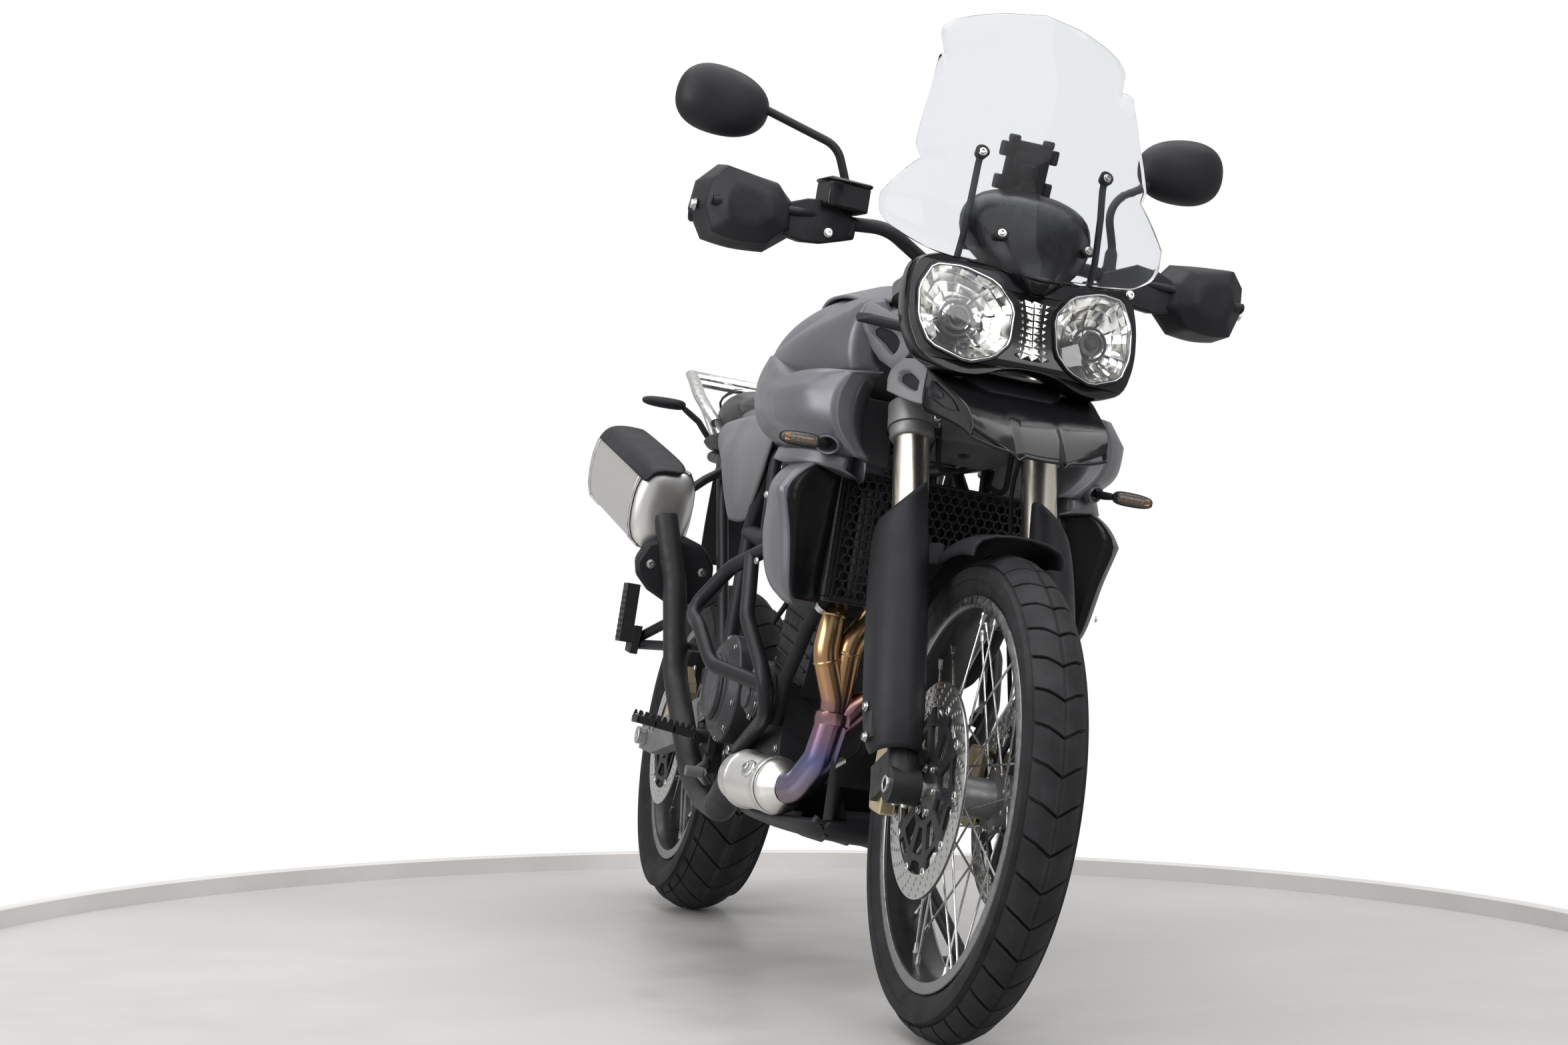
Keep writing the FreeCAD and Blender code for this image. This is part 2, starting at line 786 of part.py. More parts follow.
def sprocket():
    """Toothed ring with lightening holes, on the left end of the rear hub."""
    tip = d.rear_sprocket_radius - 1.2 * d.chain_roller_radius
    root = tip - 1.5 * d.chain_roller_radius
    bore = d.rear_axle_radius + d.disc_bore_wall
    teeth = d.rear_sprocket_tooth_count
    near = rear_axle + SIDEWAYS * (d.chain_offset - d.chain_plate_thickness)
    push = SIDEWAYS * (2 * d.chain_plate_thickness)
    tooth_shares = ((-0.15, tip), (0.15, tip), (0.35, root), (0.65, root))
    outline = []
    for tooth in range(teeth):
        for shift, reach in tooth_shares:
            angle = 2 * math.pi * (tooth + shift) / teeth
            outline.append(near + Vector(0, reach * math.cos(angle), reach * math.sin(angle)))
    holes = [rod(near, near + push, bore)]
    for i in range(d.sprocket_hole_count):
        angle = 2 * math.pi * i / d.sprocket_hole_count
        shift = Vector(0, math.cos(angle), math.sin(angle)) * (d.rear_sprocket_radius * 0.62)
        holes.append(rod(near + shift, near + shift + push, d.rear_sprocket_radius * 0.17))
    return slab(outline, push).cut(holes)


add("rear_sprocket", sprocket())

# Fork
stem_forward = -fork_offset
lower_low = d.lower_yoke_up - d.lower_yoke_height / 2
lower_high = d.lower_yoke_up + d.lower_yoke_height / 2
upper_low = d.upper_yoke_up - d.upper_yoke_height / 2
upper_high = d.upper_yoke_up + d.upper_yoke_height / 2
caliper_outer = d.front_disc_spacing / 2 + d.disc_thickness / 2 + d.brake_gap + d.caliper_wall
caliper_inner = front_hub_half - d.brake_gap - d.caliper_inner_wall


def yoke(up, height):
    """Clamps round both legs, joined by a waisted bridge that reaches back past the stem."""
    low = up - height / 2
    push = fork_up * height
    half = d.fork_half_spacing
    clamps = [rod(fork_spot(x, 0, low), fork_spot(x, 0, low) + push, d.fork_tube_radius + d.yoke_clamp_wall)
              for x in (-half, half)]
    back = d.yoke_back + fork_offset
    bridge_shares = ((-1.0, -0.28), (-0.42, -1.0), (0.42, -1.0), (1.0, -0.28), (1.0, 0.08), (0.45, -0.12),
                     (-0.45, -0.12), (-1.0, 0.08))
    bridge = slab([fork_spot(x * half, f * back, low) for x, f in bridge_shares], push)
    bores = [rod(fork_spot(x, 0, low - d.overrun), fork_spot(x, 0, up + height + d.overrun),
                 d.fork_tube_radius)
             for x in (-half, half)]
    return joined(bridge, *clamps).cut(bores)


bar_middle = fork_spot(0, -d.bar_back, d.bar_up)
riser_radius = d.bar_radius + d.riser_wall
riser_top = d.bar_up + riser_radius
riser_half = d.riser_half_spacing + riser_radius


def risers():
    posts = [rod(fork_spot(x, -d.bar_back, d.upper_yoke_up), fork_spot(x, -d.bar_back, riser_top),
                 riser_radius)
             for x in (-d.riser_half_spacing, d.riser_half_spacing)]
    return joined(*posts).cut(rod(bar_middle - SIDEWAYS * riser_half, bar_middle + SIDEWAYS * riser_half,
                                  d.bar_radius))


stem_low = fork_spot(0, stem_forward, lower_low)
stem_high = fork_spot(0, stem_forward, upper_high)
yokes = joined(risers(), yoke(d.lower_yoke_up, d.lower_yoke_height),
               yoke(d.upper_yoke_up, d.upper_yoke_height),
               rod(stem_low, stem_high, d.stem_radius))
yokes = yokes.cut(rod(stem_low, stem_high, d.stem_bore))
add("fork_yokes", yokes)

tube_low = fork_spot(d.fork_half_spacing, 0, d.fork_tube_bottom)
tube_high = fork_spot(d.fork_half_spacing, 0, upper_high + d.tube_top_stand)
outer_tube = rod(tube_low, tube_high, d.fork_tube_radius)
add("fork_tubes", both_sides(outer_tube))


def fork_guard():
    """Blade over the front and outer side of a slider."""
    outer = d.guard_outer
    wall = d.guard_wall
    front = d.guard_front
    outer_shares = ((0.475, 0.48), (0.52, 0.82), (0.68, 1.0), (0.86, 0.8), (1.0, 0.25))
    skin = [(outer * x, front * f) for x, f in outer_shares] + [(outer, -d.guard_rear)]
    lining = [(outer - wall, -d.guard_rear), (outer - wall, front * 0.25 - wall / 2),
              (outer * 0.86 - wall * 0.6, front * 0.8 - wall), (outer * 0.68, front - wall),
              (outer * 0.52 + wall, front * 0.82 - wall), (outer * 0.475 + wall, front * 0.48)]
    low = [fork_spot(x, f, d.guard_bottom) for x, f in skin + lining]
    return slab(low, fork_up * (d.guard_top - d.guard_bottom))


guard_side = fork_guard()


def slider():
    """Inner leg with its axle foot, the arm that carries the guard and the lug of the caliper."""
    half = d.fork_half_spacing
    leg = rod(fork_spot(half, 0, 0), tube_low, d.slider_radius)
    foot = rod(front_axle + SIDEWAYS * d.foot_inner, front_axle + SIDEWAYS * d.foot_outer, d.foot_radius)
    reach = d.guard_outer - half
    arm_shares = ((0.0, 0.55), (1.0, 0.55), (1.0, -0.6), (0.0, -0.6))
    arm = slab([fork_spot(half + reach * x, f * d.slider_radius, 2.4 * d.foot_radius)
                for x, f in arm_shares],
               fork_up * (1.5 * d.foot_radius))
    lug_shares = ((0, 0), (1, 0), (1, -5.2), (0, -5.2))
    lug = slab([fork_spot(caliper_outer + d.caliper_lug * x, f * d.foot_radius, 0.9 * d.foot_radius)
                for x, f in lug_shares], fork_up * (2 * d.foot_radius))
    axle_room = rod(front_axle, front_axle + SIDEWAYS * (2 * d.foot_outer), d.front_axle_radius)
    return joined(leg, foot, arm, lug).cut([axle_room, guard_side])


add("fork_sliders", both_sides(slider()))
add("fork_guards", both_sides(guard_side))

spindle = doc.addObject("Part::Cylinder", "front_spindle")
spindle.setExpression("Radius", "Sizes.front_axle_radius")
spindle.setExpression("Height", "2 * (Sizes.foot_outer + Sizes.axle_stand_out)")
spindle_bore = doc.addObject("Part::Cylinder", "front_spindle_bore")
spindle_bore.setExpression("Radius", "Sizes.front_axle_bore")
spindle_bore.setExpression("Height", "2 * (Sizes.foot_outer + Sizes.axle_stand_out)")
hollow_axle = doc.addObject("Part::Cut", "front_axle")
hollow_axle.Label = "front_axle"
hollow_axle.Base = spindle
hollow_axle.Tool = spindle_bore
axle_end = front_axle - SIDEWAYS * (d.foot_outer + d.axle_stand_out)
hollow_axle.Placement = LEANING.multiply(Placement(axle_end, Rotation(UPWARD, SIDEWAYS)))
made.append(hollow_axle)

mudguard_reach = d.front_tyre_radius + d.mudguard_gap


def mudguard():
    """Blade that hugs the tyre, with an arm to each fork guard."""
    outer = mudguard_reach + d.mudguard_wall
    start = math.radians(90 + d.mudguard_front_deg)
    stop = math.radians(90 - d.mudguard_rear_deg)
    drop_shares = ((-1.0, 0.93), (-0.62, 0.985), (0, 1.0), (0.62, 0.985), (1.0, 0.93))
    row_count = 7
    outer_rows = []
    inner_rows = []
    for step in range(row_count):
        angle = start + (stop - start) * step / (row_count - 1)
        away = Vector(0, math.cos(angle), math.sin(angle))
        outer_rows.append([front_axle + SIDEWAYS * (d.mudguard_half_width * x) + away * (outer * r)
                           for x, r in drop_shares])
        inner_rows.append([front_axle + SIDEWAYS * (d.mudguard_half_width * x * mudguard_reach / outer)
                           + away * (outer * r - d.mudguard_wall) for x, r in drop_shares])
    blade = shell_between(outer_rows, inner_rows)
    arm_shares = ((0.8, -0.3), (0.8, 0.6), (1.32, 0.6), (1.32, -0.3))
    arm = slab([fork_spot(d.mudguard_half_width * x, d.guard_front * f, mudguard_reach * 0.93)
                for x, f in arm_shares], fork_up * d.mudguard_arm_height)
    arm = arm.cut([guard_side, outer_tube])
    return joined(blade, arm, mirrored(arm))


add("front_mudguard", mudguard())


def caliper(disc_near, disc_far, axle, disc_radius, reach, heading, inner, outer, length):
    """Body that straddles the rim of a disc, with a slot that the disc runs in."""
    along = SIDEWAYS.cross(heading)
    middle = axle + heading * reach
    corner_shares = ((-0.5, -0.5), (0.32, -0.5), (0.5, -0.3), (0.5, 0.3), (0.32, 0.5), (-0.5, 0.5))
    outline = [middle + heading * (d.caliper_height * a) + along * (length * b) + SIDEWAYS * inner
               for a, b in corner_shares]
    slot = rod(axle + SIDEWAYS * (disc_near - d.brake_gap), axle + SIDEWAYS * (disc_far + d.brake_gap),
               disc_radius + d.brake_gap)
    return slab(outline, SIDEWAYS * (outer - inner)).cut(slot)


front_caliper_way = Vector(fork_up * 0.47 - fork_forward * 0.88).normalize()
front_caliper = caliper(disc_in, disc_out, front_axle, d.front_disc_radius,
                        d.front_disc_radius - d.caliper_height / 5, front_caliper_way,
                        caliper_inner, caliper_outer, d.front_caliper_length)
add("front_calipers", both_sides(front_caliper))

# Handlebar and what it carries
bar_shares = ((0.0, 0.0, 0.0), (0.16, 0.0, 0.0), (0.36, -0.02, 0.11), (0.56, 0.03, 0.1), (1.0, 0.15, 0.06))
bar_left = [bar_middle + Vector(x, y, z) * d.bar_half_width for x, y, z in bar_shares]
bar_route = [Vector(-p.x, p.y, p.z) for p in reversed(bar_left[1:])] + bar_left
bar_tube = tube(bar_route, d.bar_radius, d.bar_bend)
add("handlebar", bar_tube)
grip_run = bar_left[4] - bar_left[3]
along_bar = Vector(grip_run).normalize()


def bar_control():
    """Grip, switch housing, lever and its perch, on the bar's straight end."""
    switch_start = bar_left[3] + grip_run * 0.04
    grip_start = bar_left[3] + grip_run * 0.34
    grip_end = bar_left[3] + grip_run * 0.98
    perch_root = bar_left[3] + grip_run * 0.1
    lever_out = REARWARD * -d.lever_forward
    perch = rod(perch_root, perch_root + lever_out * 0.7, d.switch_radius * 0.62)
    lever = tube([bar_left[3] + grip_run * 0.07 + lever_out * 0.67,
                  bar_left[3] + grip_run * 0.36 + lever_out,
                  grip_end + lever_out], d.lever_radius)
    control = joined(rod(grip_start, grip_end, d.grip_radius),
                     rod(switch_start, grip_start, d.switch_radius),
                     perch, lever)
    return control.cut(tube([bar_left[2], bar_left[3], bar_left[4]], d.bar_radius))


add("bar_controls", both_sides(bar_control()))
guard_box = Region("guard_box")


def handguard():
    """Shield round the front of a grip, with a spine out to the end of the bar."""
    shield_shares = (
        ((0.72, 0.3, 0.16), (0.71, 0.2, 0.38), (0.7, 0.24, 0.7), (0.73, 0.55, 0.9)),
        ((0.78, 0.3, 0.0), (0.77, 0.1, 0.3), (0.77, 0.18, 0.74), (0.8, 0.5, 1.0)),
        ((0.88, 0.16, 0.02), (0.88, 0.02, 0.3), (0.87, 0.12, 0.76), (0.88, 0.46, 1.0)),
        ((0.96, 0.42, 0.14), (0.97, 0.36, 0.36), (0.96, 0.44, 0.7), (0.94, 0.7, 0.92)),
        ((0.99, 0.9, 0.26), (1.0, 0.9, 0.42), (0.99, 0.92, 0.62), (0.97, 0.97, 0.8)),
    )
    shield = sheet_solid([guard_box.spots(row) for row in shield_shares], REARWARD * d.handguard_wall)
    cap_end = bar_left[4] + along_bar * d.bar_end_length
    cap = rod(bar_left[4] + along_bar * d.running_gap, cap_end, d.bar_end_radius)
    spine = rod(cap_end - along_bar * (d.bar_end_length / 2), guard_box.spot(0.97, 0.52, 0.5),
                d.bar_radius * 0.7)
    return joined(shield, cap, spine)


one_guard = handguard()
add("handguards", Part.makeCompound([one_guard.cut(bar_tube), mirrored(one_guard).cut(bar_tube)]))
mirror_box = Region("mirror")
mirror_shares = {-1: ((0.573, 0.14, 0.655), (0.853, 0.43, 0.827), (1.0, 0.7, 0.814)),
                 1: ((0.459, 0.14, 0.663), (0.654, 0.7, 0.924), (0.739, 1.0, 1.0))}


def mirror_head(centre):
    ring_shares = ((0.0, 1.0), (0.35, 0.97), (0.75, 0.7), (1.0, 0.3))
    turn = 2 * math.pi / d.mirror_side_count
    return hull_of_rings([[centre + Vector(d.mirror_head_half_width * size * math.cos(turn * i),
                                           -d.mirror_depth * back,
                                           d.mirror_head_half_height * size * math.sin(turn * i))
                           for i in range(d.mirror_side_count)] for back, size in ring_shares])


def mirror(side):
    """Stalk from the bar up and out to an oval head. The two sides are set differently."""
    root = bar_left[2] + (bar_left[3] - bar_left[2]) * 0.9
    foot = Vector(side * root.x, root.y, root.z)
    elbow, joint, centre = [mirror_box.spot(side * x, y, z) for x, y, z in mirror_shares[side]]
    stalk = tube([foot, elbow, joint], d.mirror_stalk_radius, d.mirror_bend)
    neck = rod(joint, centre - REARWARD * (d.mirror_depth / 2), d.mirror_stalk_radius)
    return joined(stalk, neck, mirror_head(centre)).cut(bar_tube)


add("mirrors", Part.makeCompound([mirror(-1), mirror(1)]))

# Brake hoses of the front calipers, held by the lower yoke
hose_share_rows = ((0.69, 0.9, 0.968), (0.71, -1.6, 0.889), (0.71, -1.95, 0.513), (0.86, -3.2, 0.29),
                   (0.88, -4.27, 0.219))
hose_route = [fork_spot(x * d.fork_half_spacing, f * d.slider_radius, u * d.lower_yoke_up)
              for x, f, u in hose_share_rows]
hose = tube(hose_route, d.hose_radius, d.hose_bend)
add("brake_hoses", both_sides(hose.cut([front_caliper, yokes])))

# Main frame
head_low = fork_spot(0, stem_forward, lower_high + d.running_gap)
head_high = fork_spot(0, stem_forward, upper_low - d.running_gap)
head_span = head_high - head_low
frame = Region("frame")
rail_share_rows = ((0.85, 0.014, 1.0), (1.0, 0.27, 1.0), (1.0, 0.81, 1.0), (1.0, 0.965, 0.685),
                   (1.0, 1.0, 0.12))
low_rail_shares = ((0.93, 0.02, 0.94), (1.07, 0.3, 0.726), (1.04, 0.73, 0.632), (1.0, 0.98, 0.665))
stop_shares = (0.36, 0.6)


def frame_side():
    """Top and low rails of the trellis with the struts between them, and the plate at the pivot."""
    top = tube([head_low + head_span * 0.5 + SIDEWAYS * d.stem_radius] + frame.spots(rail_share_rows),
               d.frame_tube_radius)
    low = tube([head_low + head_span * 0.24 + SIDEWAYS * d.stem_radius] + frame.spots(low_rail_shares),
               d.frame_tube_radius)
    strut_shares = (((1.0, 0.27, 1.0), (1.07, 0.3, 0.726)), ((1.0, 0.58, 1.0), (1.07, 0.3, 0.726)),
                    ((1.0, 0.58, 1.0), (1.04, 0.73, 0.632)), ((1.0, 0.81, 1.0), (1.04, 0.73, 0.632)))
    struts = [rod(frame.spot(*high), frame.spot(*foot), d.strut_tube_radius) for high, foot in strut_shares]
    mount = frame.spot(1.12, 0.27, 0.59)
    mount_boss = rod(Vector(d.engine_half_width, mount.y, mount.z), mount, d.engine_mount_radius)
    mount_strut = rod(frame.spot(1.07, 0.3, 0.726), frame.spot(1.1, 0.27, 0.59), d.strut_tube_radius)
    plate_shares = ((-0.88, 1.0), (0.77, 0.82), (0.92, -0.09), (0.58, -0.86), (-0.38, -1.0), (-1.08, -0.36))
    plate = slab([pivot + Vector(d.pivot_plate_inner, y * d.pivot_plate_half_length,
                                 z * d.pivot_plate_half_height)
                  for y, z in plate_shares], SIDEWAYS * (d.pivot_plate_outer - d.pivot_plate_inner))
    return joined(top, low, mount_boss, mount_strut, plate, *struts)


def cross_tube(y, z, half_length, radius):
    return rod(Vector(-half_length, y, z), Vector(half_length, y, z), radius)


plate_half_length = d.pivot_plate_half_length
plate_half_height = d.pivot_plate_half_height
cross_tubes = [cross_tube(pivot.y - plate_half_length * 0.8, pivot.z + plate_half_height * 0.8,
                          d.pivot_plate_inner + d.seat_touch, d.strut_tube_radius),
               cross_tube(pivot.y - plate_half_length * 0.65, pivot.z - plate_half_height * 0.84,
                          d.pivot_plate_inner + d.seat_touch, d.strut_tube_radius)]
rest_z = d.tank_low - d.strut_tube_radius - d.seat_touch
tank_rests = [cross_tube(d.tank_front + (d.tank_rear - d.tank_front) * share, rest_z, d.frame_half_width,
                         d.strut_tube_radius) for share in stop_shares]
gusset = slab([head_low + head_span * t + Vector(x * d.gusset_half_width, d.head_tube_radius / 3, 0)
               for t, x in ((0.25, -1), (0.25, 1), (0.75, 1), (0.75, -1))], REARWARD * d.gusset_reach)
one_side = frame_side()
head_tube = rod(head_low, head_high, d.head_tube_radius)
main_frame = joined(head_tube, gusset, one_side, mirrored(one_side), *(cross_tubes + tank_rests))
stem_room = rod(head_low - head_span, head_high + head_span, d.stem_radius + d.running_gap)
bolt_half = d.pivot_plate_outer + d.pivot_bolt_stand_out
main_frame = main_frame.cut([stem_room, cross_tube(pivot.y, pivot.z, bolt_half, d.pivot_bolt_radius)])

# Rear subframe with the hangers of the passenger's pegs
tail = Region("tail")
seat_rail_z = d.seat_low - d.strut_tube_radius - d.seat_touch
sub_front = Vector(d.frame_half_width, pivot.y, frame.spot(0, 0, 0.82).z)
peg_hanger_tip = Vector(d.pillion_peg_x, d.pillion_peg_y, d.pillion_peg_z)
seat_line = d.seat_split


def subframe_side():
    width = d.frame_half_width
    rail = tube([sub_front, Vector(width * 0.87, d.seat_front + d.seat_half_width, seat_rail_z),
                 Vector(width * 0.84, seat_line, seat_rail_z),
                 Vector(width * 0.68, d.seat_rear, seat_rail_z + width / 4)],
                d.strut_tube_radius)
    strut = tube([pivot + Vector(width, plate_half_length * 0.6, plate_half_height * 0.76),
                  Vector(width * 0.87, seat_line + width * 0.9, seat_rail_z),
                  Vector(width * 0.76, seat_line + width * 1.5, seat_rail_z + d.strut_tube_radius * 2)],
                 d.strut_tube_radius)
    tip = peg_hanger_tip
    high_root = Vector(width * 0.95, seat_line - width * 0.71, tip.z + width * 0.72)
    low_root = Vector(width, seat_line - width * 1.34, tip.z)
    arm = joined(rod(high_root, tip, d.hanger_radius), rod(low_root, tip - UPWARD * d.peg_plate,
                                                           d.hanger_radius))
    return joined(rail, strut, arm)


sub_half = subframe_side()
sub_cross = cross_tube(seat_line, seat_rail_z, d.frame_half_width * 0.84, d.hanger_radius)
subframe = joined(sub_half, mirrored(sub_half), sub_cross).cut(main_frame)
add("rear_subframe", subframe)

# Engine: crankcase, inclined cylinders, head and sump
engine = Region("engine")
case_shares = ((0.25, 0.0), (0.98, 0.0), (1.0, 0.42), (0.62, 0.46), (0.2, 0.4), (0.17, 0.1))
barrel_shares = ((0.17, 0.36), (0.6, 0.44), (0.53, 0.74), (0.06, 0.68))
head_shares = ((0.04, 0.66), (0.55, 0.73), (0.5, 0.98), (0.1, 1.0), (0.0, 0.9))
sump_shares = ((0.3, 0.0), (0.8, 0.0), (0.75, -0.04), (0.35, -0.04))


def across_slab(region, outline_shares, half_share):
    """Slab from side to side of a region, whose side outline is (along, up) shares."""
    return slab(region.spots([(-half_share, y, z) for y, z in outline_shares]),
                SIDEWAYS * (2 * half_share * region.half_width))


engine_body = joined(across_slab(engine, case_shares, 1.0), across_slab(engine, barrel_shares, 0.86),
                     across_slab(engine, head_shares, 0.97), across_slab(engine, sump_shares, 0.5))
sprocket_centre = Vector(d.chain_offset, pivot.y - d.sprocket_forward, pivot.z - d.sprocket_drop)
chain_half = d.chain_plate_spacing / 2 + d.chain_plate_thickness
recess_radius = d.front_sprocket_radius + d.sprocket_room + d.chain_plate_height
recess_depth = chain_half + d.running_gap * 3
sprocket_recess = rod(sprocket_centre - SIDEWAYS * recess_depth,
                      sprocket_centre + SIDEWAYS * (d.engine_half_width + d.overrun), recess_radius)
recess_mouth_shares = ((0, -1), (4, -1), (4, 1), (0, 1))
recess_mouth = slab([sprocket_centre + Vector(-recess_depth, y * d.front_sprocket_radius, z * recess_radius)
                     for y, z in recess_mouth_shares],
                    SIDEWAYS * (d.engine_half_width + d.overrun))
small_sprocket = joined(rod(sprocket_centre - SIDEWAYS * (chain_half + d.overrun),
                            sprocket_centre + SIDEWAYS * chain_half, d.stem_radius),
                        rod(sprocket_centre - SIDEWAYS * (d.chain_plate_spacing / 2 - d.running_gap),
                            sprocket_centre + SIDEWAYS * (d.chain_plate_spacing / 2 - d.running_gap),
                            d.front_sprocket_radius - d.running_gap))
engine_body = joined(engine_body.cut([sprocket_recess, recess_mouth]), small_sprocket)
engine_body = engine_body.cut([main_frame, subframe])
add("engine", engine_body)


def cover(centre, away, radius, depth):
    """Round cover with a sloped edge and a raised middle."""
    edge = centre + SIDEWAYS * (away * depth * 0.6)
    face = centre + SIDEWAYS * (away * depth)
    return joined(rod(centre, edge, radius),
                  Part.makeCone(radius, radius * 0.8, depth / 4, edge, SIDEWAYS * away),
                  rod(edge, face, radius * 0.62))


clutch_centre = engine.spot(-1, 0.79, 0.347)
pump_centre = engine.spot(-1, 0.42, 0.345)
generator_centre = engine.spot(1, 0.6, 0.35)
clutch_cover = joined(cover(clutch_centre, -1, d.clutch_cover_radius, d.clutch_cover_depth),
                      cover(pump_centre, -1, d.pump_cover_radius, d.pump_cover_depth))
generator_cover = cover(generator_centre, 1, d.generator_cover_radius, d.generator_cover_depth)
generator_cover = generator_cover.cut([sprocket_recess, recess_mouth])
engine_covers = Part.makeCompound([clutch_cover.cut(main_frame), generator_cover.cut(main_frame)])
add("engine_covers", engine_covers)

# Radiator, with arms up to the low rails of the frame
radiator = Region("radiator")
core = doc.addObject("Part::Box", "radiator_core")
core.setExpression("Length", "2 * Sizes.radiator_half_width")
core.setExpression("Width", "Sizes.radiator_rear - Sizes.radiator_front")
core.setExpression("Height", "Sizes.radiator_high - Sizes.radiator_low")
core.Placement = Placement(radiator.spot(-1, 0, 0), Rotation())
doc.recompute()
arm_foot = radiator.spot(0.72, 0.9, 0.92)
arm_tip = frame.spot(0.93, 0.02, 0.94)
radiator_arm = rod(arm_foot, arm_tip, d.boss_radius * 0.8)
radiator_shape = joined(core.Shape, radiator_arm, mirrored(radiator_arm)).cut(main_frame)
add("radiator", radiator_shape)

# Tank
tank = Region("tank")
tank_shares = (
    (0.0, ((0.0, 0.66), (0.42, 0.64), (0.6, 0.48), (0.58, 0.3), (0.45, 0.2), (0.0, 0.2))),
    (0.2, ((0.0, 0.97), (0.48, 0.94), (0.92, 0.6), (0.9, 0.2), (0.72, 0.0), (0.0, 0.0))),
    (0.55, ((0.0, 1.0), (0.5, 0.96), (0.98, 0.56), (0.95, 0.15), (0.78, 0.0), (0.0, 0.0))),
    (0.85, ((0.0, 0.62), (0.45, 0.58), (0.74, 0.36), (0.72, 0.1), (0.6, 0.0), (0.0, 0.0))),
    (1.0, ((0.0, 0.24), (0.4, 0.22), (0.58, 0.14), (0.58, 0.05), (0.5, 0.0), (0.0, 0.0))),
)


def mirrored_ring(region, along, half_shares):
    """Closed ring across a region from its left half, which starts and ends on the middle line."""
    left = [region.spot(x, along, z) for x, z in half_shares]
    right = [region.spot(-x, along, z) for x, z in reversed(half_shares[1:-1])]
    return left + right


cap_centre = tank.spot(0, 0.42, 0.985)
tank_body = joined(loft([mirrored_ring(tank, along, half) for along, half in tank_shares]),
                   rod(cap_centre, cap_centre + UPWARD * d.cap_height, d.cap_radius)).cut(main_frame)
add("fuel_tank", tank_body)

# Shrouds beside the tank and cowls beside the radiator
shroud = Region("shroud")
shroud_shares = (
    (0.0, ((0.74, 0.62), (0.84, 0.58), (0.88, 0.4), (0.84, 0.2), (0.78, 0.12))),
    (0.1, ((0.66, 0.8), (0.86, 0.72), (0.96, 0.5), (0.9, 0.2), (0.78, 0.06))),
    (0.26, ((0.62, 0.95), (0.9, 0.86), (1.0, 0.56), (0.93, 0.2), (0.78, 0.02))),
    (0.45, ((0.62, 1.0), (0.9, 0.9), (1.0, 0.56), (0.92, 0.2), (0.76, 0.0))),
    (0.74, ((0.62, 0.98), (0.84, 0.84), (0.9, 0.5), (0.82, 0.24), (0.68, 0.12))),
    (1.0, ((0.62, 0.82), (0.68, 0.7), (0.7, 0.5), (0.66, 0.36), (0.62, 0.28))),
)
shroud_rows = [shroud.spots([(x, y, z) for x, z in row]) for y, row in shroud_shares]
shroud_panel = sheet_solid(shroud_rows, SIDEWAYS * -d.panel_wall)
shroud_boss_at = shroud.spot(1.0, 0.45, 0.56)
shroud_boss = rod(Vector(tank.half_width * 0.6, shroud_boss_at.y, shroud_boss_at.z),
                  shroud_boss_at - SIDEWAYS * (d.panel_wall / 2),
                  d.boss_radius).cut([tank_body, main_frame])
shroud_side = joined(shroud_panel, shroud_boss)
add("tank_shrouds", both_sides(shroud_side))

cowl = Region("cowl")
cowl_inner_share = (radiator.half_width + d.running_gap) / cowl.half_width
cowl_shares = (
    (1.0, ((0, 0.62), (0.94, 0.1), (0.92, 1.0), (0, 1.0))),
    (0.55, ((0, 0.55), (1.0, 0.0), (0.97, 0.9), (0, 0.95))),
    (0.0, ((0, 0.5), (0.82, 0.3), (0.8, 0.75), (0, 0.8))),
)
cowl_rings = [cowl.spots([(x or cowl_inner_share, y, z) for x, y in row]) for z, row in cowl_shares]
cowl_side = hull_of_rings(cowl_rings).cut([main_frame, radiator_shape])
add("radiator_cowls", both_sides(cowl_side))

# Nose: lamp housing, lamps, beak, flanks and their stay
nose = Region("nose")
surround_shares = ((0.0, 0.9), (0.35, 0.96), (0.74, 0.97), (0.97, 0.68), (1.0, 0.4), (0.84, 0.13),
                   (0.52, 0.0),
                   (0.2, 0.14), (0.0, 0.18))
lamp_shares = ((0.28, 0.2), (0.53, 0.1), (0.8, 0.18), (0.93, 0.42), (0.9, 0.66), (0.7, 0.88), (0.4, 0.86),
               (0.22, 0.62))
NOSE_SLOPE_SHARE = 0.34
NOSE_SWEEP_SHARE = 0.28


def nose_spot(across, along, up):
    """Place on the raked and swept face of the nose, along behind it."""
    return nose.spot(across, along + NOSE_SLOPE_SHARE * up + NOSE_SWEEP_SHARE * across ** 2, up)


def surround_ring(size, along):
    left = [nose_spot(x * size, along, 0.5 + (z - 0.5) * size) for x, z in surround_shares]
    right = [Vector(-point.x, point.y, point.z) for point in reversed(left[1:-1])]
    return left + right


surround = hull_of_rings([surround_ring(1.0, 0.0), surround_ring(1.0, 0.3), surround_ring(0.8, 0.6)])


def lamp():
    """Six-sided lamp that bulges from the housing and sits in it."""
    rings = []
    for size, along in ((1.0, 0.06), (1.0, -0.02), (0.8, -0.07)):
        rings.append([nose_spot(0.57 + (x - 0.57) * size, along, 0.5 + (z - 0.5) * size)
                      for x, z in lamp_shares])
    return hull_of_rings(rings)


lamp_side = lamp()
lamp_housing = surround.cut([lamp_side, mirrored(lamp_side)])
add("lamp_surround", lamp_housing)
add("headlamps", both_sides(lamp_side))

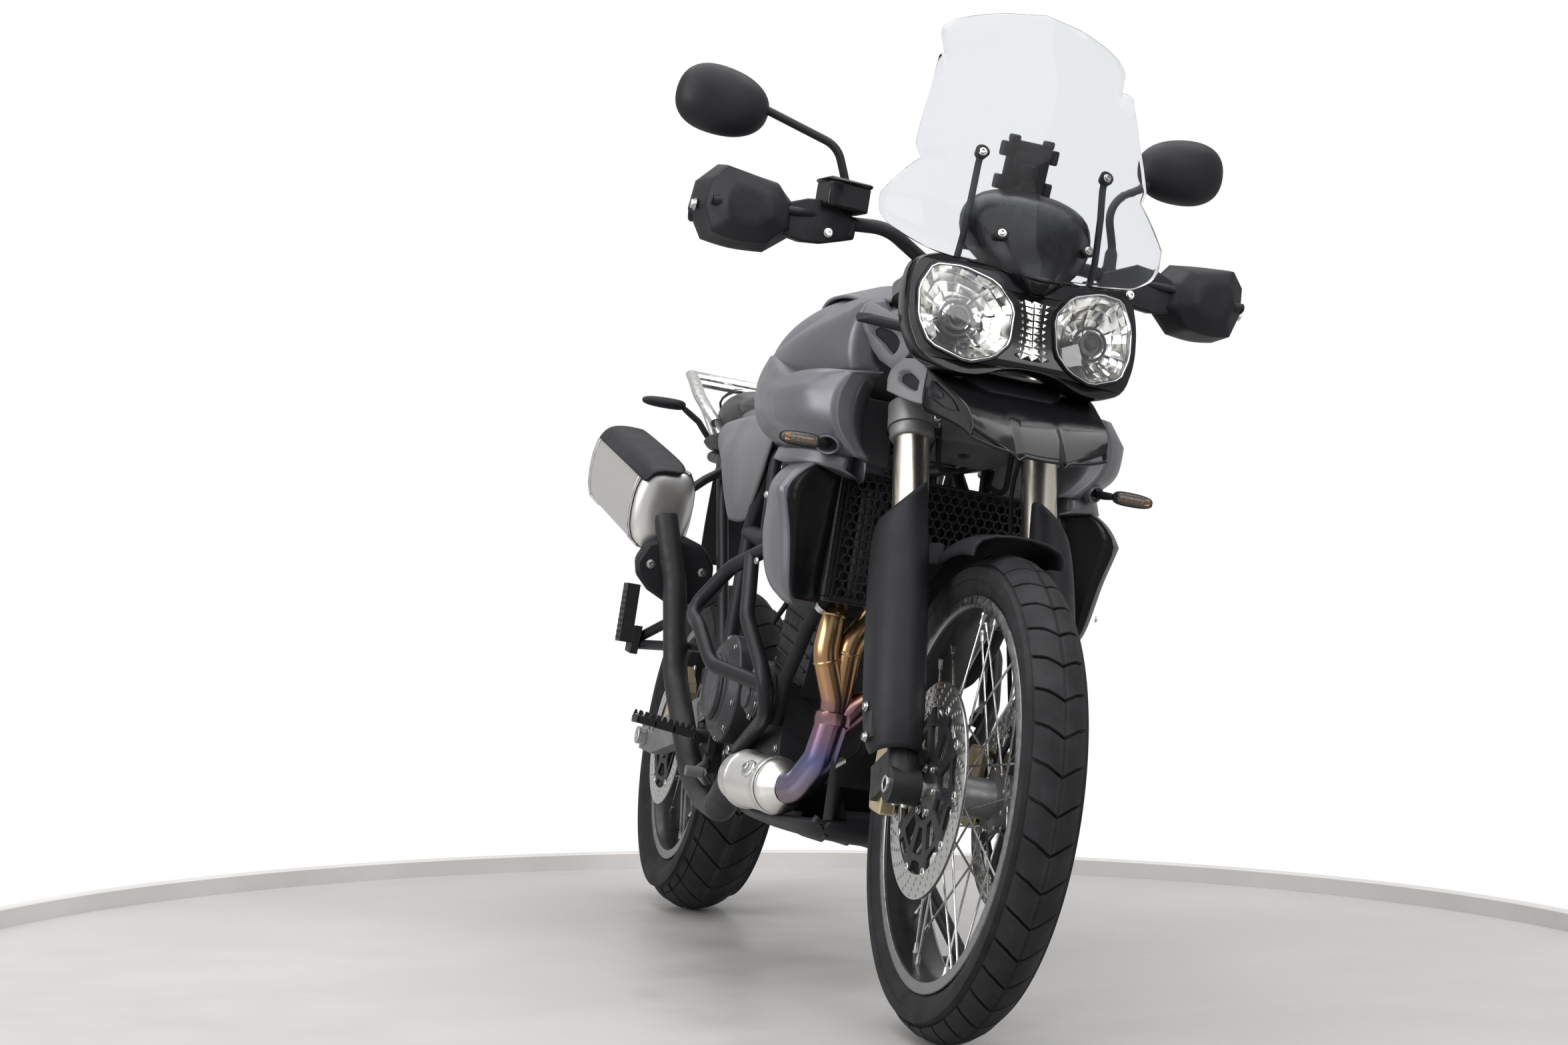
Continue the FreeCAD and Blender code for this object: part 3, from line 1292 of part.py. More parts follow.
beak = Region("beak")
beak_shares = (
    (1.0, ((0.0, 1.0), (0.6, 0.96), (1.0, 0.6))),
    (0.6, ((0.0, 0.86), (0.55, 0.8), (0.95, 0.42))),
    (0.25, ((0.0, 0.5), (0.45, 0.46), (0.82, 0.26))),
    (0.0, ((0.0, 0.1), (0.35, 0.14), (0.62, 0.18))),
)
beak_rows = [mirrored_row(beak, [(x, along, z) for x, z in half]) for along, half in beak_shares]
beak_root_shares = ((-0.3, 0.62, 0.8), (0.3, 0.62, 0.8), (0.3, 0.84, 0.88), (-0.3, 0.84, 0.88))
beak_root = slab(beak.spots(beak_root_shares), UPWARD * (d.nose_high - d.beak_high) * 0.25).cut(surround)
beak_shape = joined(sheet_solid(beak_rows, UPWARD * -d.panel_wall), beak_root)
add("beak", beak_shape)

flank = Region("flank")
flank_shares = (
    ((0.77, 1.0, 1.0), (0.91, 0.97, 0.83), (0.95, 0.93, 0.62)),
    ((0.88, 0.73, 0.93), (1.0, 0.67, 0.76), (0.94, 0.61, 0.5)),
    ((0.9, 0.5, 0.72), (0.94, 0.43, 0.54), (0.87, 0.42, 0.36)),
    ((0.72, 0.25, 0.4), (0.78, 0.22, 0.25), (0.7, 0.22, 0.14)),
    ((0.45, 0.06, 0.2), (0.49, 0.03, 0.09), (0.42, 0.01, 0.0)),
)
flank_rows = [flank.spots(row) for row in flank_shares]
flank_panel = sheet_solid(flank_rows, SIDEWAYS * -d.panel_wall)
flank_outside = sheet_solid(flank_rows, SIDEWAYS * flank.half_width)

stay_end = Vector(0, d.stay_front, d.stay_rise)
stay_root = fork_spot(0, stem_forward + d.head_tube_radius * 0.8, (lower_high + upper_low) / 2)
stay_beam = slab([Vector(-d.stay_half_width, point.y, point.z + up * d.stay_half_height)
                  for point, up in ((stay_root, -1), (stay_end, -1), (stay_end, 1), (stay_root, 1))],
                 SIDEWAYS * (2 * d.stay_half_width))
stay_bar = rod(stay_end - SIDEWAYS * d.stay_half_length, stay_end + SIDEWAYS * d.stay_half_length,
               d.stay_tube_radius)
flank_pad = flank.spot(1.0, 0.67, 0.76) - SIDEWAYS * (d.panel_wall / 2)


def stay_side():
    """Rods from the cross bar forward into the lamp housing and out to the flank."""
    knee = stay_end + SIDEWAYS * d.stay_half_length
    forward = rod(knee - SIDEWAYS * d.stay_tube_radius * 2, nose_spot(0.5, 0.28, 0.45),
                  d.stay_tube_radius * 0.8)
    outward = rod(knee, flank_pad, d.stay_tube_radius * 0.8)
    return joined(forward, outward).cut([surround, flank_panel, flank_outside])


fairing_stay = joined(stay_beam, stay_bar, stay_side(), mirrored(stay_side()))
fairing_stay = fairing_stay.cut([head_tube, stem_room, surround])
main_frame = main_frame.cut(stem_room)
add("main_frame", main_frame)
add("nose_flanks", Part.makeCompound([flank_panel.cut(beak_shape), mirrored(flank_panel).cut(beak_shape)]))

# Dash cowl, screen, its brackets and the device holder
dash_low = d.nose_high - (d.nose_high - d.nose_low) * 0.03 + d.running_gap
dash_shares = ((0.0, 0.41, 0.1, 0.32), (0.29, 0.71, 0.0, 0.66), (0.65, 0.97, 0.0, 1.0),
               (1.0, 1.0, 0.0, 0.97))
dash_side_shares = ((0.0, 1.0), (0.55, 0.88), (0.95, 0.5), (1.0, 0.1), (0.7, 0.0))


def dash_ring(along, wide, low, high):
    y = d.dash_front + along * (d.dash_rear - d.dash_front)
    floor = dash_low + low * (d.dash_high - dash_low)
    rise = (high - low) * (d.dash_high - dash_low)
    left = [Vector(x * wide * d.dash_half_width, y, floor + z * rise) for x, z in dash_side_shares]
    return left + [Vector(-point.x, point.y, point.z) for point in reversed(left[1:])]


dash = hull_of_rings([dash_ring(*shares) for shares in dash_shares]).cut(surround)
add("instruments", dash)
dash_post = rod(stay_end, Vector(0, d.stay_front, dash_low + d.panel_wall), d.stay_tube_radius)
add("fairing_stay", joined(fairing_stay, dash_post.cut([surround, dash])).cut([surround, dash]))

screen = Region("screen")
screen_shares = (
    ((0.0, 0.0, 0.0), (0.09, 0.01, 0.005), (0.4, 0.12, 0.03), (0.71, 0.32, 0.065)),
    ((0.0, 0.1, 0.155), (0.19, 0.13, 0.155), (0.58, 0.29, 0.16), (0.995, 0.62, 0.17)),
    ((0.0, 0.18, 0.262), (0.27, 0.21, 0.262), (0.63, 0.36, 0.262), (1.0, 0.64, 0.262)),
    ((0.0, 0.28, 0.4), (0.37, 0.33, 0.4), (0.58, 0.45, 0.395), (0.775, 0.58, 0.39)),
    ((0.0, 0.3, 0.44), (0.4, 0.37, 0.44), (0.6, 0.48, 0.44), (0.815, 0.62, 0.438)),
    ((0.0, 0.44, 0.6), (0.51, 0.58, 0.605), (0.63, 0.65, 0.605), (0.76, 0.72, 0.605)),
    ((0.0, 0.61, 0.79), (0.645, 0.86, 0.795), (0.68, 0.83, 0.79), (0.71, 0.8, 0.785)),
    ((0.0, 0.63, 0.81), (0.65, 0.88, 0.81), (0.655, 0.885, 0.812), (0.66, 0.89, 0.815)),
    ((0.0, 0.73, 0.92), (0.55, 0.96, 0.92), (0.61, 0.98, 0.918), (0.67, 1.0, 0.915)),
    ((0.0, 0.8, 1.0), (0.3, 0.86, 0.985), (0.42, 0.9, 0.975), (0.5, 0.94, 0.96)),
)
screen_rows = [mirrored_row(screen, half) for half in screen_shares]
windscreen = sheet_solid(screen_rows, REARWARD * d.screen_wall)
add("windscreen", windscreen)
bracket_shares = ((0.47, 0.49, 0.03), (0.475, 0.45, 0.21), (0.44, 0.42, 0.38), (0.44, 0.4, 0.43))
low_bolt_shares = ((0.3, 0.28, 0.148), (0.3, 0.175, 0.155))
bracket_rod = tube(screen.spots(bracket_shares), d.signal_stalk_radius)
low_boss = rod(screen.spot(*low_bolt_shares[0]), screen.spot(*low_bolt_shares[1]), d.signal_stalk_radius)
bracket_room = [surround, dash, windscreen]
brackets = [main_part(one.cut(bracket_room)) for one in (bracket_rod, mirrored(bracket_rod), low_boss,
                                                         mirrored(low_boss))]
add("screen_brackets", Part.makeCompound(brackets))
holder = Region("holder")
holder_box = across_slab(holder, ((0.0, 0.0), (1.0, 0.1), (1.0, 1.0), (0.4, 1.0)), 1.0)
holder_foot = rod(holder.spot(0, 0.6, 0.1), Vector(0, holder.spot(0, 0.6, 0).y, d.dash_high - d.panel_wall),
                  d.stay_tube_radius)
add("phone_holder", joined(holder_box, holder_foot.cut(dash)))

# Seats
seat_shares = ((0.86, 0.0), (1.0, 0.5), (0.8, 0.94), (0.0, 1.0))


def seat_ring(y, half, low, high):
    """Cross-section of a seat, widest half-way up and domed on top."""
    left = [Vector(half * x, y, low + (high - low) * z) for x, z in seat_shares]
    return left + [Vector(-point.x, point.y, point.z) for point in reversed(left[:-1])]


seat_half = d.seat_half_width
seat_height = d.seat_high - d.seat_low
rider_front = d.seat_front + d.seam_gap
rider_rear = d.seat_split - d.seam_gap
rider_length = rider_rear - rider_front
rider_seat_shares = ((0.0, 0.5, 0.42), (0.37, 0.9, 0.36), (0.78, 1.0, 0.44), (1.0, 0.96, 0.71))
rider_seat = loft([seat_ring(rider_front + rider_length * y, seat_half * x, d.seat_low,
                             d.seat_low + seat_height * z)
                   for y, x, z in rider_seat_shares])
add("rider_seat", rider_seat.cut(tank_body))
pillion_low = d.tail_high + d.running_gap
pillion_length = d.seat_rear - d.seat_split
pillion_shares = ((0.0, 0.92, 0.84), (0.38, 0.86, 1.0), (1.0, 0.66, 0.93))
pillion_seat = loft([seat_ring(d.seat_split + pillion_length * y, seat_half * x, pillion_low,
                               d.seat_low + seat_height * z) for y, x, z in pillion_shares])
add("pillion_seat", pillion_seat.cut(rider_seat))

# Side panels
side_panel = Region("side_panel")
side_panel_shares = (
    ((0.86, 0.0, 0.96), (0.9, 0.12, 0.6), (0.86, 0.3, 0.2), (0.84, 0.4, 0.0)),
    ((0.88, 0.35, 1.0), (1.0, 0.4, 0.6), (0.94, 0.5, 0.2), (0.88, 0.56, 0.04)),
    ((0.86, 0.7, 1.0), (0.94, 0.7, 0.62), (0.88, 0.68, 0.3), (0.84, 0.66, 0.16)),
    ((0.76, 1.0, 1.0), (0.8, 0.96, 0.74), (0.78, 0.9, 0.5), (0.77, 0.84, 0.4)),
)
side_panel_skin = sheet_solid([side_panel.spots(row) for row in side_panel_shares],
                              SIDEWAYS * -d.panel_wall)
side_boss_shares = ((0.965, 0.36, 0.56), (0.9, 0.7, 0.5))
side_bosses = []
for share in side_boss_shares:
    boss_at = side_panel.spot(*share)
    side_bosses.append(rod(Vector(frame.half_width * 0.8, boss_at.y, boss_at.z), boss_at, d.boss_radius))
side_panel_side = joined(side_panel_skin, *side_bosses).cut([main_frame, subframe, rider_seat, tank_body])
add("side_panels", both_sides(side_panel_side))

# Tail, its light and the splash flap
tail_shares = (
    (0.2, ((0.0, 1.0), (0.8, 1.0), (0.9, 0.6), (0.85, 0.35), (0.0, 0.35))),
    (0.7, ((0.0, 1.0), (0.85, 1.0), (0.9, 0.7), (0.8, 0.5), (0.0, 0.5))),
    (1.0, ((0.0, 1.0), (0.5, 1.0), (0.6, 0.8), (0.5, 0.62), (0.0, 0.62))),
)
tail_body = loft([mirrored_ring(tail, along, half) for along, half in tail_shares])
tail_length = tail.rear - tail.front
flap_shares = ((0.9, 1.0, 0.4), (1.08, 0.0, 0.3))
flap_root_z = tail.spot(0, 0, 0.66).z
flap_rings = []
for along, up, wide in flap_shares:
    middle = Vector(0, tail.front + tail_length * along, d.flap_low + (flap_root_z - d.flap_low) * up)
    half = tail.half_width * wide
    flap_rings.append([middle + Vector(x * half, y * d.panel_wall, 0)
                       for x, y in ((-1, -1), (1, -1), (1, 1), (-1, 1))])
flap = loft(flap_rings)
tail_unit = joined(tail_body, flap).cut([subframe, main_frame, rider_seat])
add("tail_unit", tail_unit)
light_shares = ((-1, 0.66), (1, 0.66), (1, 0.96), (-1, 0.96))
tail_light = slab([Vector(x * tail.half_width * 0.46, tail.rear, tail.low + (tail.high - tail.low) * z)
                   for x, z in light_shares], REARWARD * (tail.half_width / 5))
add("tail_light", tail_light)

# Rack, that also is the passenger's grab rail
rack_box = Region("rack")
rack_shares = ((0.97, 0.0, 0.02), (1.0, 0.27, 0.36), (0.86, 0.7, 0.86), (0.7, 0.93, 1.0), (0.0, 1.0, 1.0))
rack_route = rack_box.spots(rack_shares)
rack_side = tube(rack_route, d.rack_tube_radius, d.crash_bend)
rack_leg = rod(Vector(tail.half_width * 0.7, rack_route[1].y, d.tail_high - d.panel_wall), rack_route[1],
               d.rack_tube_radius * 0.9)
rack_cross_at = rack_box.spot(0.86, 0.7, 0.86)
rack_cross = cross_tube(rack_cross_at.y, rack_cross_at.z, rack_cross_at.x, d.rack_tube_radius * 0.9)
rack_foot = rod(rack_route[0], Vector(tail.half_width * 0.8, rack_route[0].y, d.tail_high - d.panel_wall),
                d.rack_tube_radius * 0.9)
rack_half = joined(rack_side, rack_leg, rack_foot)
rear_rack = joined(rack_half, mirrored(rack_half), rack_cross).cut([tail_unit, subframe, pillion_seat])
add("rear_rack", rear_rack)

# Exhaust headers, collector and link pipe
exhaust = Region("exhaust")
header_share_rows = (
    ((-1.22, 0.55, 1.0), (-1.26, 0.06, 0.87), (-1.34, 0.02, 0.62), (-1.04, 0.08, 0.4)),
    ((-0.2, 0.55, 1.0), (-0.5, 0.07, 0.9), (-0.96, 0.04, 0.68), (-0.96, 0.09, 0.43)),
    ((1.0, 0.55, 1.0), (0.84, 0.06, 0.87), (0.1, 0.02, 0.59), (-0.7, 0.08, 0.37)),
)
pipes = [tube(exhaust.spots(row) + [exhaust.spot(-1, 0.13, 0.25)], d.header_radius, d.header_bend)
         for row in header_share_rows]
collector_start = exhaust.spot(-1.36, 0.62, -0.06)
collector_end = collector_start + exhaust.spot(-0.42, 1.3, 0) - exhaust.spot(0, 0, 0)
down_pipe = tube([exhaust.spot(-1, 0.1, 0.33), exhaust.spot(-1.12, 0.26, 0.0), collector_start],
                 d.down_pipe_radius)
collector_line = collector_end - collector_start
link_radius = d.link_pipe_radius
collector_can = joined(rod(collector_start, collector_end, d.collector_radius),
                       Part.makeCone(d.collector_radius, link_radius, d.collector_radius, collector_end,
                                     collector_line))
link_share_rows = ((-1.68, 2.8, -0.26), (-1.66, 4.43, -0.15), (-1.96, 5.43, 0.38), (-2.18, 5.7, 0.93),
                   (-2.46, 6.12, 1.26))
link_pipe = tube([collector_end] + exhaust.spots(link_share_rows), link_radius, d.header_bend)
collector = joined(collector_can, link_pipe).cut([engine_body, clutch_cover, main_frame, subframe])
headers = joined(down_pipe, *pipes).cut([engine_body, collector_can, main_frame, radiator_shape])
add("exhaust_headers", headers)
add("exhaust_collector", collector)

# Silencer with its heat shield
silencer = Region("silencer")
silencer_start = silencer.spot(-0.94, 0, 0)
silencer_end = silencer.spot(-1, 1, 1)
silencer_length = (silencer_end - silencer_start).Length
can_ring_shares = ((1.0, 0.0), (0.92, 0.55), (0.6, 0.92), (0.0, 1.0), (-0.6, 0.92), (-0.92, 0.55),
                   (-1.0, 0.0),
                   (-0.9, -0.6), (-0.5, -0.95), (0.0, -1.0), (0.5, -0.95), (0.9, -0.6))
can_line = Vector(silencer_end - silencer_start).normalize()
can_up = Vector(UPWARD - can_line * UPWARD.dot(can_line)).normalize()
can_side = can_line.cross(can_up)
CAN_SHARES = ((0.0, 0.58, 0.55), (0.08, 0.97, 0.95), (0.95, 1.0, 1.0), (1.0, 0.76, 0.78))


def can_ring(share, wide, tall):
    centre = silencer_start + can_line * (silencer_length * share)
    return [centre + can_side * (d.can_half_width * wide * a) + can_up * (d.can_half_height * tall * b)
            for a, b in can_ring_shares]


can_body = loft([can_ring(*shares) for shares in CAN_SHARES])
outlet = rod(silencer_end - can_line * d.silencer_outlet_depth,
             silencer_end + can_line * d.silencer_outlet_depth,
             d.silencer_outlet_radius)
can_body = can_body.cut(outlet)
bracket_end = Vector(-frame.half_width * 0.83, d.seat_split + seat_half * 0.6, seat_rail_z)
can_bracket = rod(silencer_start + can_line * (silencer_length * 0.25), bracket_end, d.hanger_radius)
can_bracket = can_bracket.cut([subframe, outlet])
silencer_shape = joined(can_body, can_bracket).cut([collector, link_pipe])
add("silencer", silencer_shape)
shield_shares = ((0.05, 1.0), (0.52, 1.02), (0.95, 1.0))
shield_arc_shares = ((0.95, 0.5), (0.62, 0.95), (0.0, 1.05), (-0.62, 0.95), (-0.95, 0.5))
shield_rows = []
for along, size in shield_shares:
    centre = silencer_start + can_line * (silencer_length * along)
    wide = (d.can_half_width + d.shield_gap) * size
    tall = (d.can_half_height + d.shield_gap) * size
    shield_rows.append([centre + can_side * (wide * a) + can_up * (tall * b) for a, b in shield_arc_shares])
shield_skin = sheet_solid(shield_rows, can_up * d.shield_wall)
shield_top = d.can_half_height + d.shield_gap
spacers = []
for share in (0.25, 0.75):
    spacer_foot = silencer_start + can_line * (silencer_length * share)
    spacers.append(rod(spacer_foot, spacer_foot + can_up * (shield_top * 1.05), d.spacer_radius))
add("silencer_shield", joined(shield_skin, *spacers).cut(silencer_shape))

# Bash plate
bash = Region("bash")
bash_shares = (
    (0.0, ((-0.75, 2.2), (-0.7, 0.6), (0.7, 0.6), (0.75, 2.2))),
    (0.2, ((-1.0, 1.6), (-0.8, 0.0), (0.8, 0.0), (1.0, 1.6))),
    (1.0, ((-0.95, 0.6), (-0.8, 0.1), (0.8, 0.1), (0.95, 0.6))),
)
bash_rows = [bash.spots([(x, y, z) for x, z in row]) for y, row in bash_shares]
bash_skin = sheet_solid(bash_rows, UPWARD * -d.panel_wall)
bash_leg_shares = ((0.5, 0.62, 0.02), (0.5, 0.94, 0.06))
bash_legs = []
for share in bash_leg_shares:
    leg_at = bash.spot(*share)
    bash_legs.append(rod(leg_at, Vector(leg_at.x, leg_at.y, d.engine_low + d.panel_wall), d.boss_radius))
bash_half = joined(*bash_legs)
bash_plate = main_part(joined(bash_skin, bash_half, mirrored(bash_half)).cut([collector, headers,
                                                                              engine_body]))
add("bash_plate", bash_plate)

# Crash bars
crash = Region("crash")
crash_mount = frame.spot(1.03, 0.27, 0.66)
crash_apex = crash.spot(0.83, 0.83, 0.845)
crash_fork = crash_mount + (crash_apex - crash_mount) * 0.7
crash_loop_route = [crash_mount, crash_apex] + crash.spots(((1.0, 1.0, 0.625), (0.99, 0.8, 0.567),
                                                            (0.93, 0.6, 0.4),
                                                            (0.7, 0.2, 0.345)))
crash_front_route = [crash_fork] + crash.spots(((0.83, 0.37, 0.625), (0.7, 0.0, 0.26), (0.58, 0.88, 0.037)))
crash_foot_at = crash_front_route[-1]
crash_room = [main_frame, engine_body]


def crash_bar(side):
    """Upper loop and front tube of one side, with the foot on the engine."""
    loop_route, front_route = [[Vector(side * point.x, point.y, point.z) for point in route]
                               for route in (crash_loop_route, crash_front_route)]
    foot = rod(Vector(side * engine.half_width * 0.9, crash_foot_at.y, crash_foot_at.z),
               front_route[-1] + SIDEWAYS * (side * d.crash_tube_radius), d.crash_tube_radius)
    return joined(tube(loop_route, d.crash_tube_radius, d.crash_bend),
                  tube(front_route, d.crash_tube_radius, d.crash_bend), foot).cut(crash_room)


crash_bars = Part.makeCompound([crash_bar(1), crash_bar(-1)])
add("crash_bars", crash_bars)

# Foot pegs
def rider_peg():
    """Plate on the pivot plate, with a toothed tread on a boss."""
    root = Vector(d.pivot_plate_outer, d.peg_y, d.peg_z)
    plate_shares = ((-1.2, -2.0), (1.2, -2.0), (0.9, 2.4), (-0.9, 2.4))
    plate = slab([root + Vector(0, y * d.peg_half_width, z * d.peg_half_height) for y, z in plate_shares],
                 SIDEWAYS * d.peg_plate)
    boss = rod(root, root + SIDEWAYS * (3.4 * d.peg_plate), d.peg_boss_radius)
    start = root + SIDEWAYS * (3 * d.peg_plate)
    tread_shares = ((-0.9, -0.9), (0.9, -0.9), (1.1, 1.1), (-1.1, 1.1))
    tread = slab([start + Vector(0, y * d.peg_half_width, z * d.peg_half_height) for y, z in tread_shares],
                 Vector(d.peg_reach - start.x, 0, d.peg_half_height))
    return joined(plate, boss, tread)


def pillion_peg():
    """Folded-up tread on a plate at the tip of its hanger."""
    root = peg_hanger_tip
    length = d.pillion_peg_length
    half = d.peg_half_width
    start = root + SIDEWAYS * (d.hanger_radius / 2)
    plate = slab([start + Vector(0, y * half, z * half)
                  for y, z in ((-1.5, 0.9), (-0.9, -1.5), (1.3, -1.3), (1.4, 0.7))],
                 SIDEWAYS * d.peg_plate)
    tread = slab([start + Vector(d.peg_plate, y * half, z * length)
                  for y, z in ((-1.1, -0.14), (0.75, -0.14), (0.9, 1.0), (-0.9, 1.0))],
                  SIDEWAYS * (2 * d.peg_half_height))
    return joined(plate, tread)


bolt_room = cross_tube(pivot.y, pivot.z, bolt_half, d.pivot_bolt_radius + d.running_gap)
peg_side = rider_peg().cut(bolt_room)
add("rider_pegs", both_sides(peg_side))
pillion_peg_side = pillion_peg().cut(subframe)
add("pillion_pegs", both_sides(pillion_peg_side))

# Swingarm
arm_in = d.swingarm_inner
arm_out = arm_in + d.swingarm_wall
arm_pivot_half = d.pivot_plate_inner - d.running_gap
arm_depth = d.swingarm_half_depth
end_room = d.swingarm_end


def arm_corner(along, deep, start, up):
    """Corner of the arm's outline, measured from the pivot (start 0) or from the rear axle (start 1)."""
    anchor = rear_axle if start else pivot
    return Vector(arm_in, anchor.y + along * end_room, anchor.z + deep * arm_depth * up)


arm_corners = ((-0.23, -0.8, 0, 1), (1.36, -1.2, 0, 1), (-1.36, -1.0, 1, 1), (1.0, -0.87, 1, 1),
               (1.0, 0.87, 1, 1), (-1.36, 1.0, 1, 1), (2.0, 1.2, 0, 1), (-0.23, 0.8, 0, 1))
arm_plate = slab([arm_corner(*corner) for corner in arm_corners], SIDEWAYS * d.swingarm_wall)
trim_shares = ((-2, -3), (1.45, -3), (1.45, 3), (-2, 3))
arm_trim = slab([pivot + Vector(arm_pivot_half, y * end_room, z * arm_depth) for y, z in trim_shares],
                SIDEWAYS * d.swingarm_wall)
arm_plate = arm_plate.cut(arm_trim)
pivot_beam = cross_tube(pivot.y, pivot.z, arm_pivot_half, d.swingarm_tube_radius)
box_shares = ((1.18, -0.87), (2.68, -0.67), (2.68, 0.73), (1.18, 0.87))
beam_box = slab([pivot + Vector(-arm_in - d.seat_touch, y * end_room, z * arm_depth)
                 for y, z in box_shares],
                SIDEWAYS * (2 * (arm_in + d.seat_touch)))
brace_shares = ((0, -0.67), (1.6, -0.67), (1.6, 0.67), (0, 0.67))
brace = slab([pivot + Vector(arm_in * 0.57, y * end_room, z * arm_depth) for y, z in brace_shares],
             SIDEWAYS * d.swingarm_wall)
axle_run = SIDEWAYS * (arm_out + end_room)
axle_room = rod(rear_axle - axle_run, rear_axle + axle_run, d.rear_axle_radius)
pivot_bolt = cross_tube(pivot.y, pivot.z, bolt_half, d.pivot_bolt_radius)
swingarm = joined(pivot_beam, arm_plate, mirrored(arm_plate), beam_box, brace,
                  mirrored(brace)).cut(axle_room)
swingarm = joined(swingarm, pivot_bolt)
add("swingarm", swingarm)

# Rear axle
head_length = d.pivot_plate_outer - d.pivot_plate_inner
spindle_end = SIDEWAYS * (arm_out + head_length)
arm_face = SIDEWAYS * arm_out
rear_spindle = joined(rod(rear_axle - spindle_end, rear_axle + spindle_end, d.rear_axle_radius),
                      rod(rear_axle + arm_face, rear_axle + spindle_end, d.rear_axle_head_radius),
                      rod(rear_axle - spindle_end, rear_axle - arm_face, d.rear_axle_head_radius))
add("rear_axle", rear_spindle.cut(rod(rear_axle - spindle_end, rear_axle + spindle_end, d.rear_axle_bore)))

# Shock absorber with its spring
shock_low = pivot + Vector(0, end_room * 1.9, arm_depth * 0.6)
shock_high = Vector(0, pivot.y - end_room * 0.45, d.shock_top_z)
shock_line = Vector(shock_high - shock_low).normalize()
coils = []
for i in range(d.shock_coil_count):
    coil_start = shock_low + shock_line * (d.shock_coil_pitch * (i + 2.2))
    coils.append(Part.makeCone(d.shock_coil_inner, d.shock_coil_radius, d.shock_coil_wire, coil_start,
                               shock_line))
shock = joined(rod(shock_low, shock_high, d.shock_body_radius), *coils)
shock_cross = cross_tube(shock_high.y, shock_high.z, frame.half_width, d.strut_tube_radius)
add("rear_shock", main_part(joined(shock, shock_cross).cut([main_frame, swingarm, subframe])))


# Chain
def chain_loop(reach):
    """Outline of the chain's run round both sprockets, reach outside the pitch line."""
    small = d.front_sprocket_radius + reach
    large = d.rear_sprocket_radius + reach
    large_centre = rear_axle + SIDEWAYS * d.chain_offset
    span = large_centre - sprocket_centre
    heading = math.atan2(span.z, span.y)
    spread = math.asin((large - small) / span.Length)
    ahead = math.pi / 2 + spread
    points = []
    runs = ((sprocket_centre, small, heading + ahead, heading + 2 * math.pi - ahead, d.small_chain_count),
            (large_centre, large, heading - ahead, heading + ahead, d.large_chain_count))
    for centre, radius, start, stop, steps in runs:
        for step in range(steps + 1):
            angle = start + (stop - start) * step / steps
            points.append(centre + Vector(0, math.cos(angle), math.sin(angle)) * radius)
    return points


def chain_band(inner, outer, near, far):
    shift = SIDEWAYS * near
    push = SIDEWAYS * (far - near)
    return slab([p + shift for p in chain_loop(outer)],
                push).cut(slab([p + shift for p in chain_loop(inner)], push))


half_plate = d.chain_plate_height / 2
plate_near = d.chain_plate_spacing / 2
plate_far = plate_near + d.chain_plate_thickness
chain = joined(chain_band(-half_plate, half_plate, plate_near, plate_far),
               chain_band(-half_plate, half_plate, -plate_far, -plate_near),
               chain_band(0, d.chain_roller_radius, -plate_near, plate_near))
add("chain", chain)

# Rear caliper on its bracket
rear_near = -d.rear_disc_offset - d.disc_thickness / 2
rear_far = -d.rear_disc_offset + d.disc_thickness / 2
rear_caliper_way = Vector(0, -0.55, 0.83).normalize()
rear_caliper_inner = rear_far + d.brake_gap + d.caliper_inner_wall / 2
bracket_depth = arm_in - d.running_gap + rear_near - d.brake_gap
rear_caliper = caliper(rear_near, rear_far, rear_axle, d.rear_disc_radius, d.rear_disc_radius,
                       rear_caliper_way, rear_caliper_inner, -arm_in + d.running_gap, d.rear_caliper_length)
bracket_shares = ((-0.3, 0.0), (0.3, 0.0), (0.35, 1.0), (-0.35, 1.0))
bracket_along = SIDEWAYS.cross(rear_caliper_way)
bracket_reach = d.rear_disc_radius + d.caliper_height * 0.3
bracket_start = rear_axle - SIDEWAYS * (arm_in - d.running_gap)
bracket_outline = [bracket_start + bracket_along * (d.rear_caliper_length * a)
                   + rear_caliper_way * (bracket_reach * b)
                   for a, b in bracket_shares]
caliper_bracket = slab(bracket_outline, SIDEWAYS * bracket_depth)
eye_end = bracket_start + SIDEWAYS * bracket_depth
bracket_eye = rod(bracket_start, eye_end, d.rear_axle_radius + d.caliper_inner_wall)
rear_caliper = joined(rear_caliper, caliper_bracket, bracket_eye)
rear_caliper = rear_caliper.cut(rod(rear_axle - axle_run, rear_axle + axle_run,
                                    d.rear_axle_radius + d.running_gap))
add("rear_caliper", rear_caliper.cut(swingarm))

# Brake pedal and gear lever
control_box = Region("controls")
pedal_root = control_box.spot(-0.62, 1.0, 0.43)
pedal_shares = ((-0.76, 0.7, 0.2), (-0.78, 0.24, 0.0), (-0.88, 0.02, 0.25))
pedal_eye = rod(Vector(-d.pivot_plate_outer, pedal_root.y, pedal_root.z),
                pedal_root - SIDEWAYS * d.lever_tube_radius,
                d.peg_boss_radius)
pedal_tip = control_box.spot(-0.88, 0.02, 0.25)
pedal = joined(tube([pedal_root] + control_box.spots(pedal_shares), d.lever_tube_radius, d.header_bend),
               pedal_eye,
               rod(pedal_tip, control_box.spot(-1.0, 0.02, 0.25), d.lever_tube_radius * 1.1))
gear_root = control_box.spot(0.82, 0.54, 0.75)
gear_tip = control_box.spot(0.86, 0.16, 0.65)
gear_eye = rod(Vector(engine.half_width - d.seat_touch, gear_root.y, gear_root.z),
               gear_root + SIDEWAYS * d.lever_tube_radius,
               d.peg_boss_radius * 0.8)
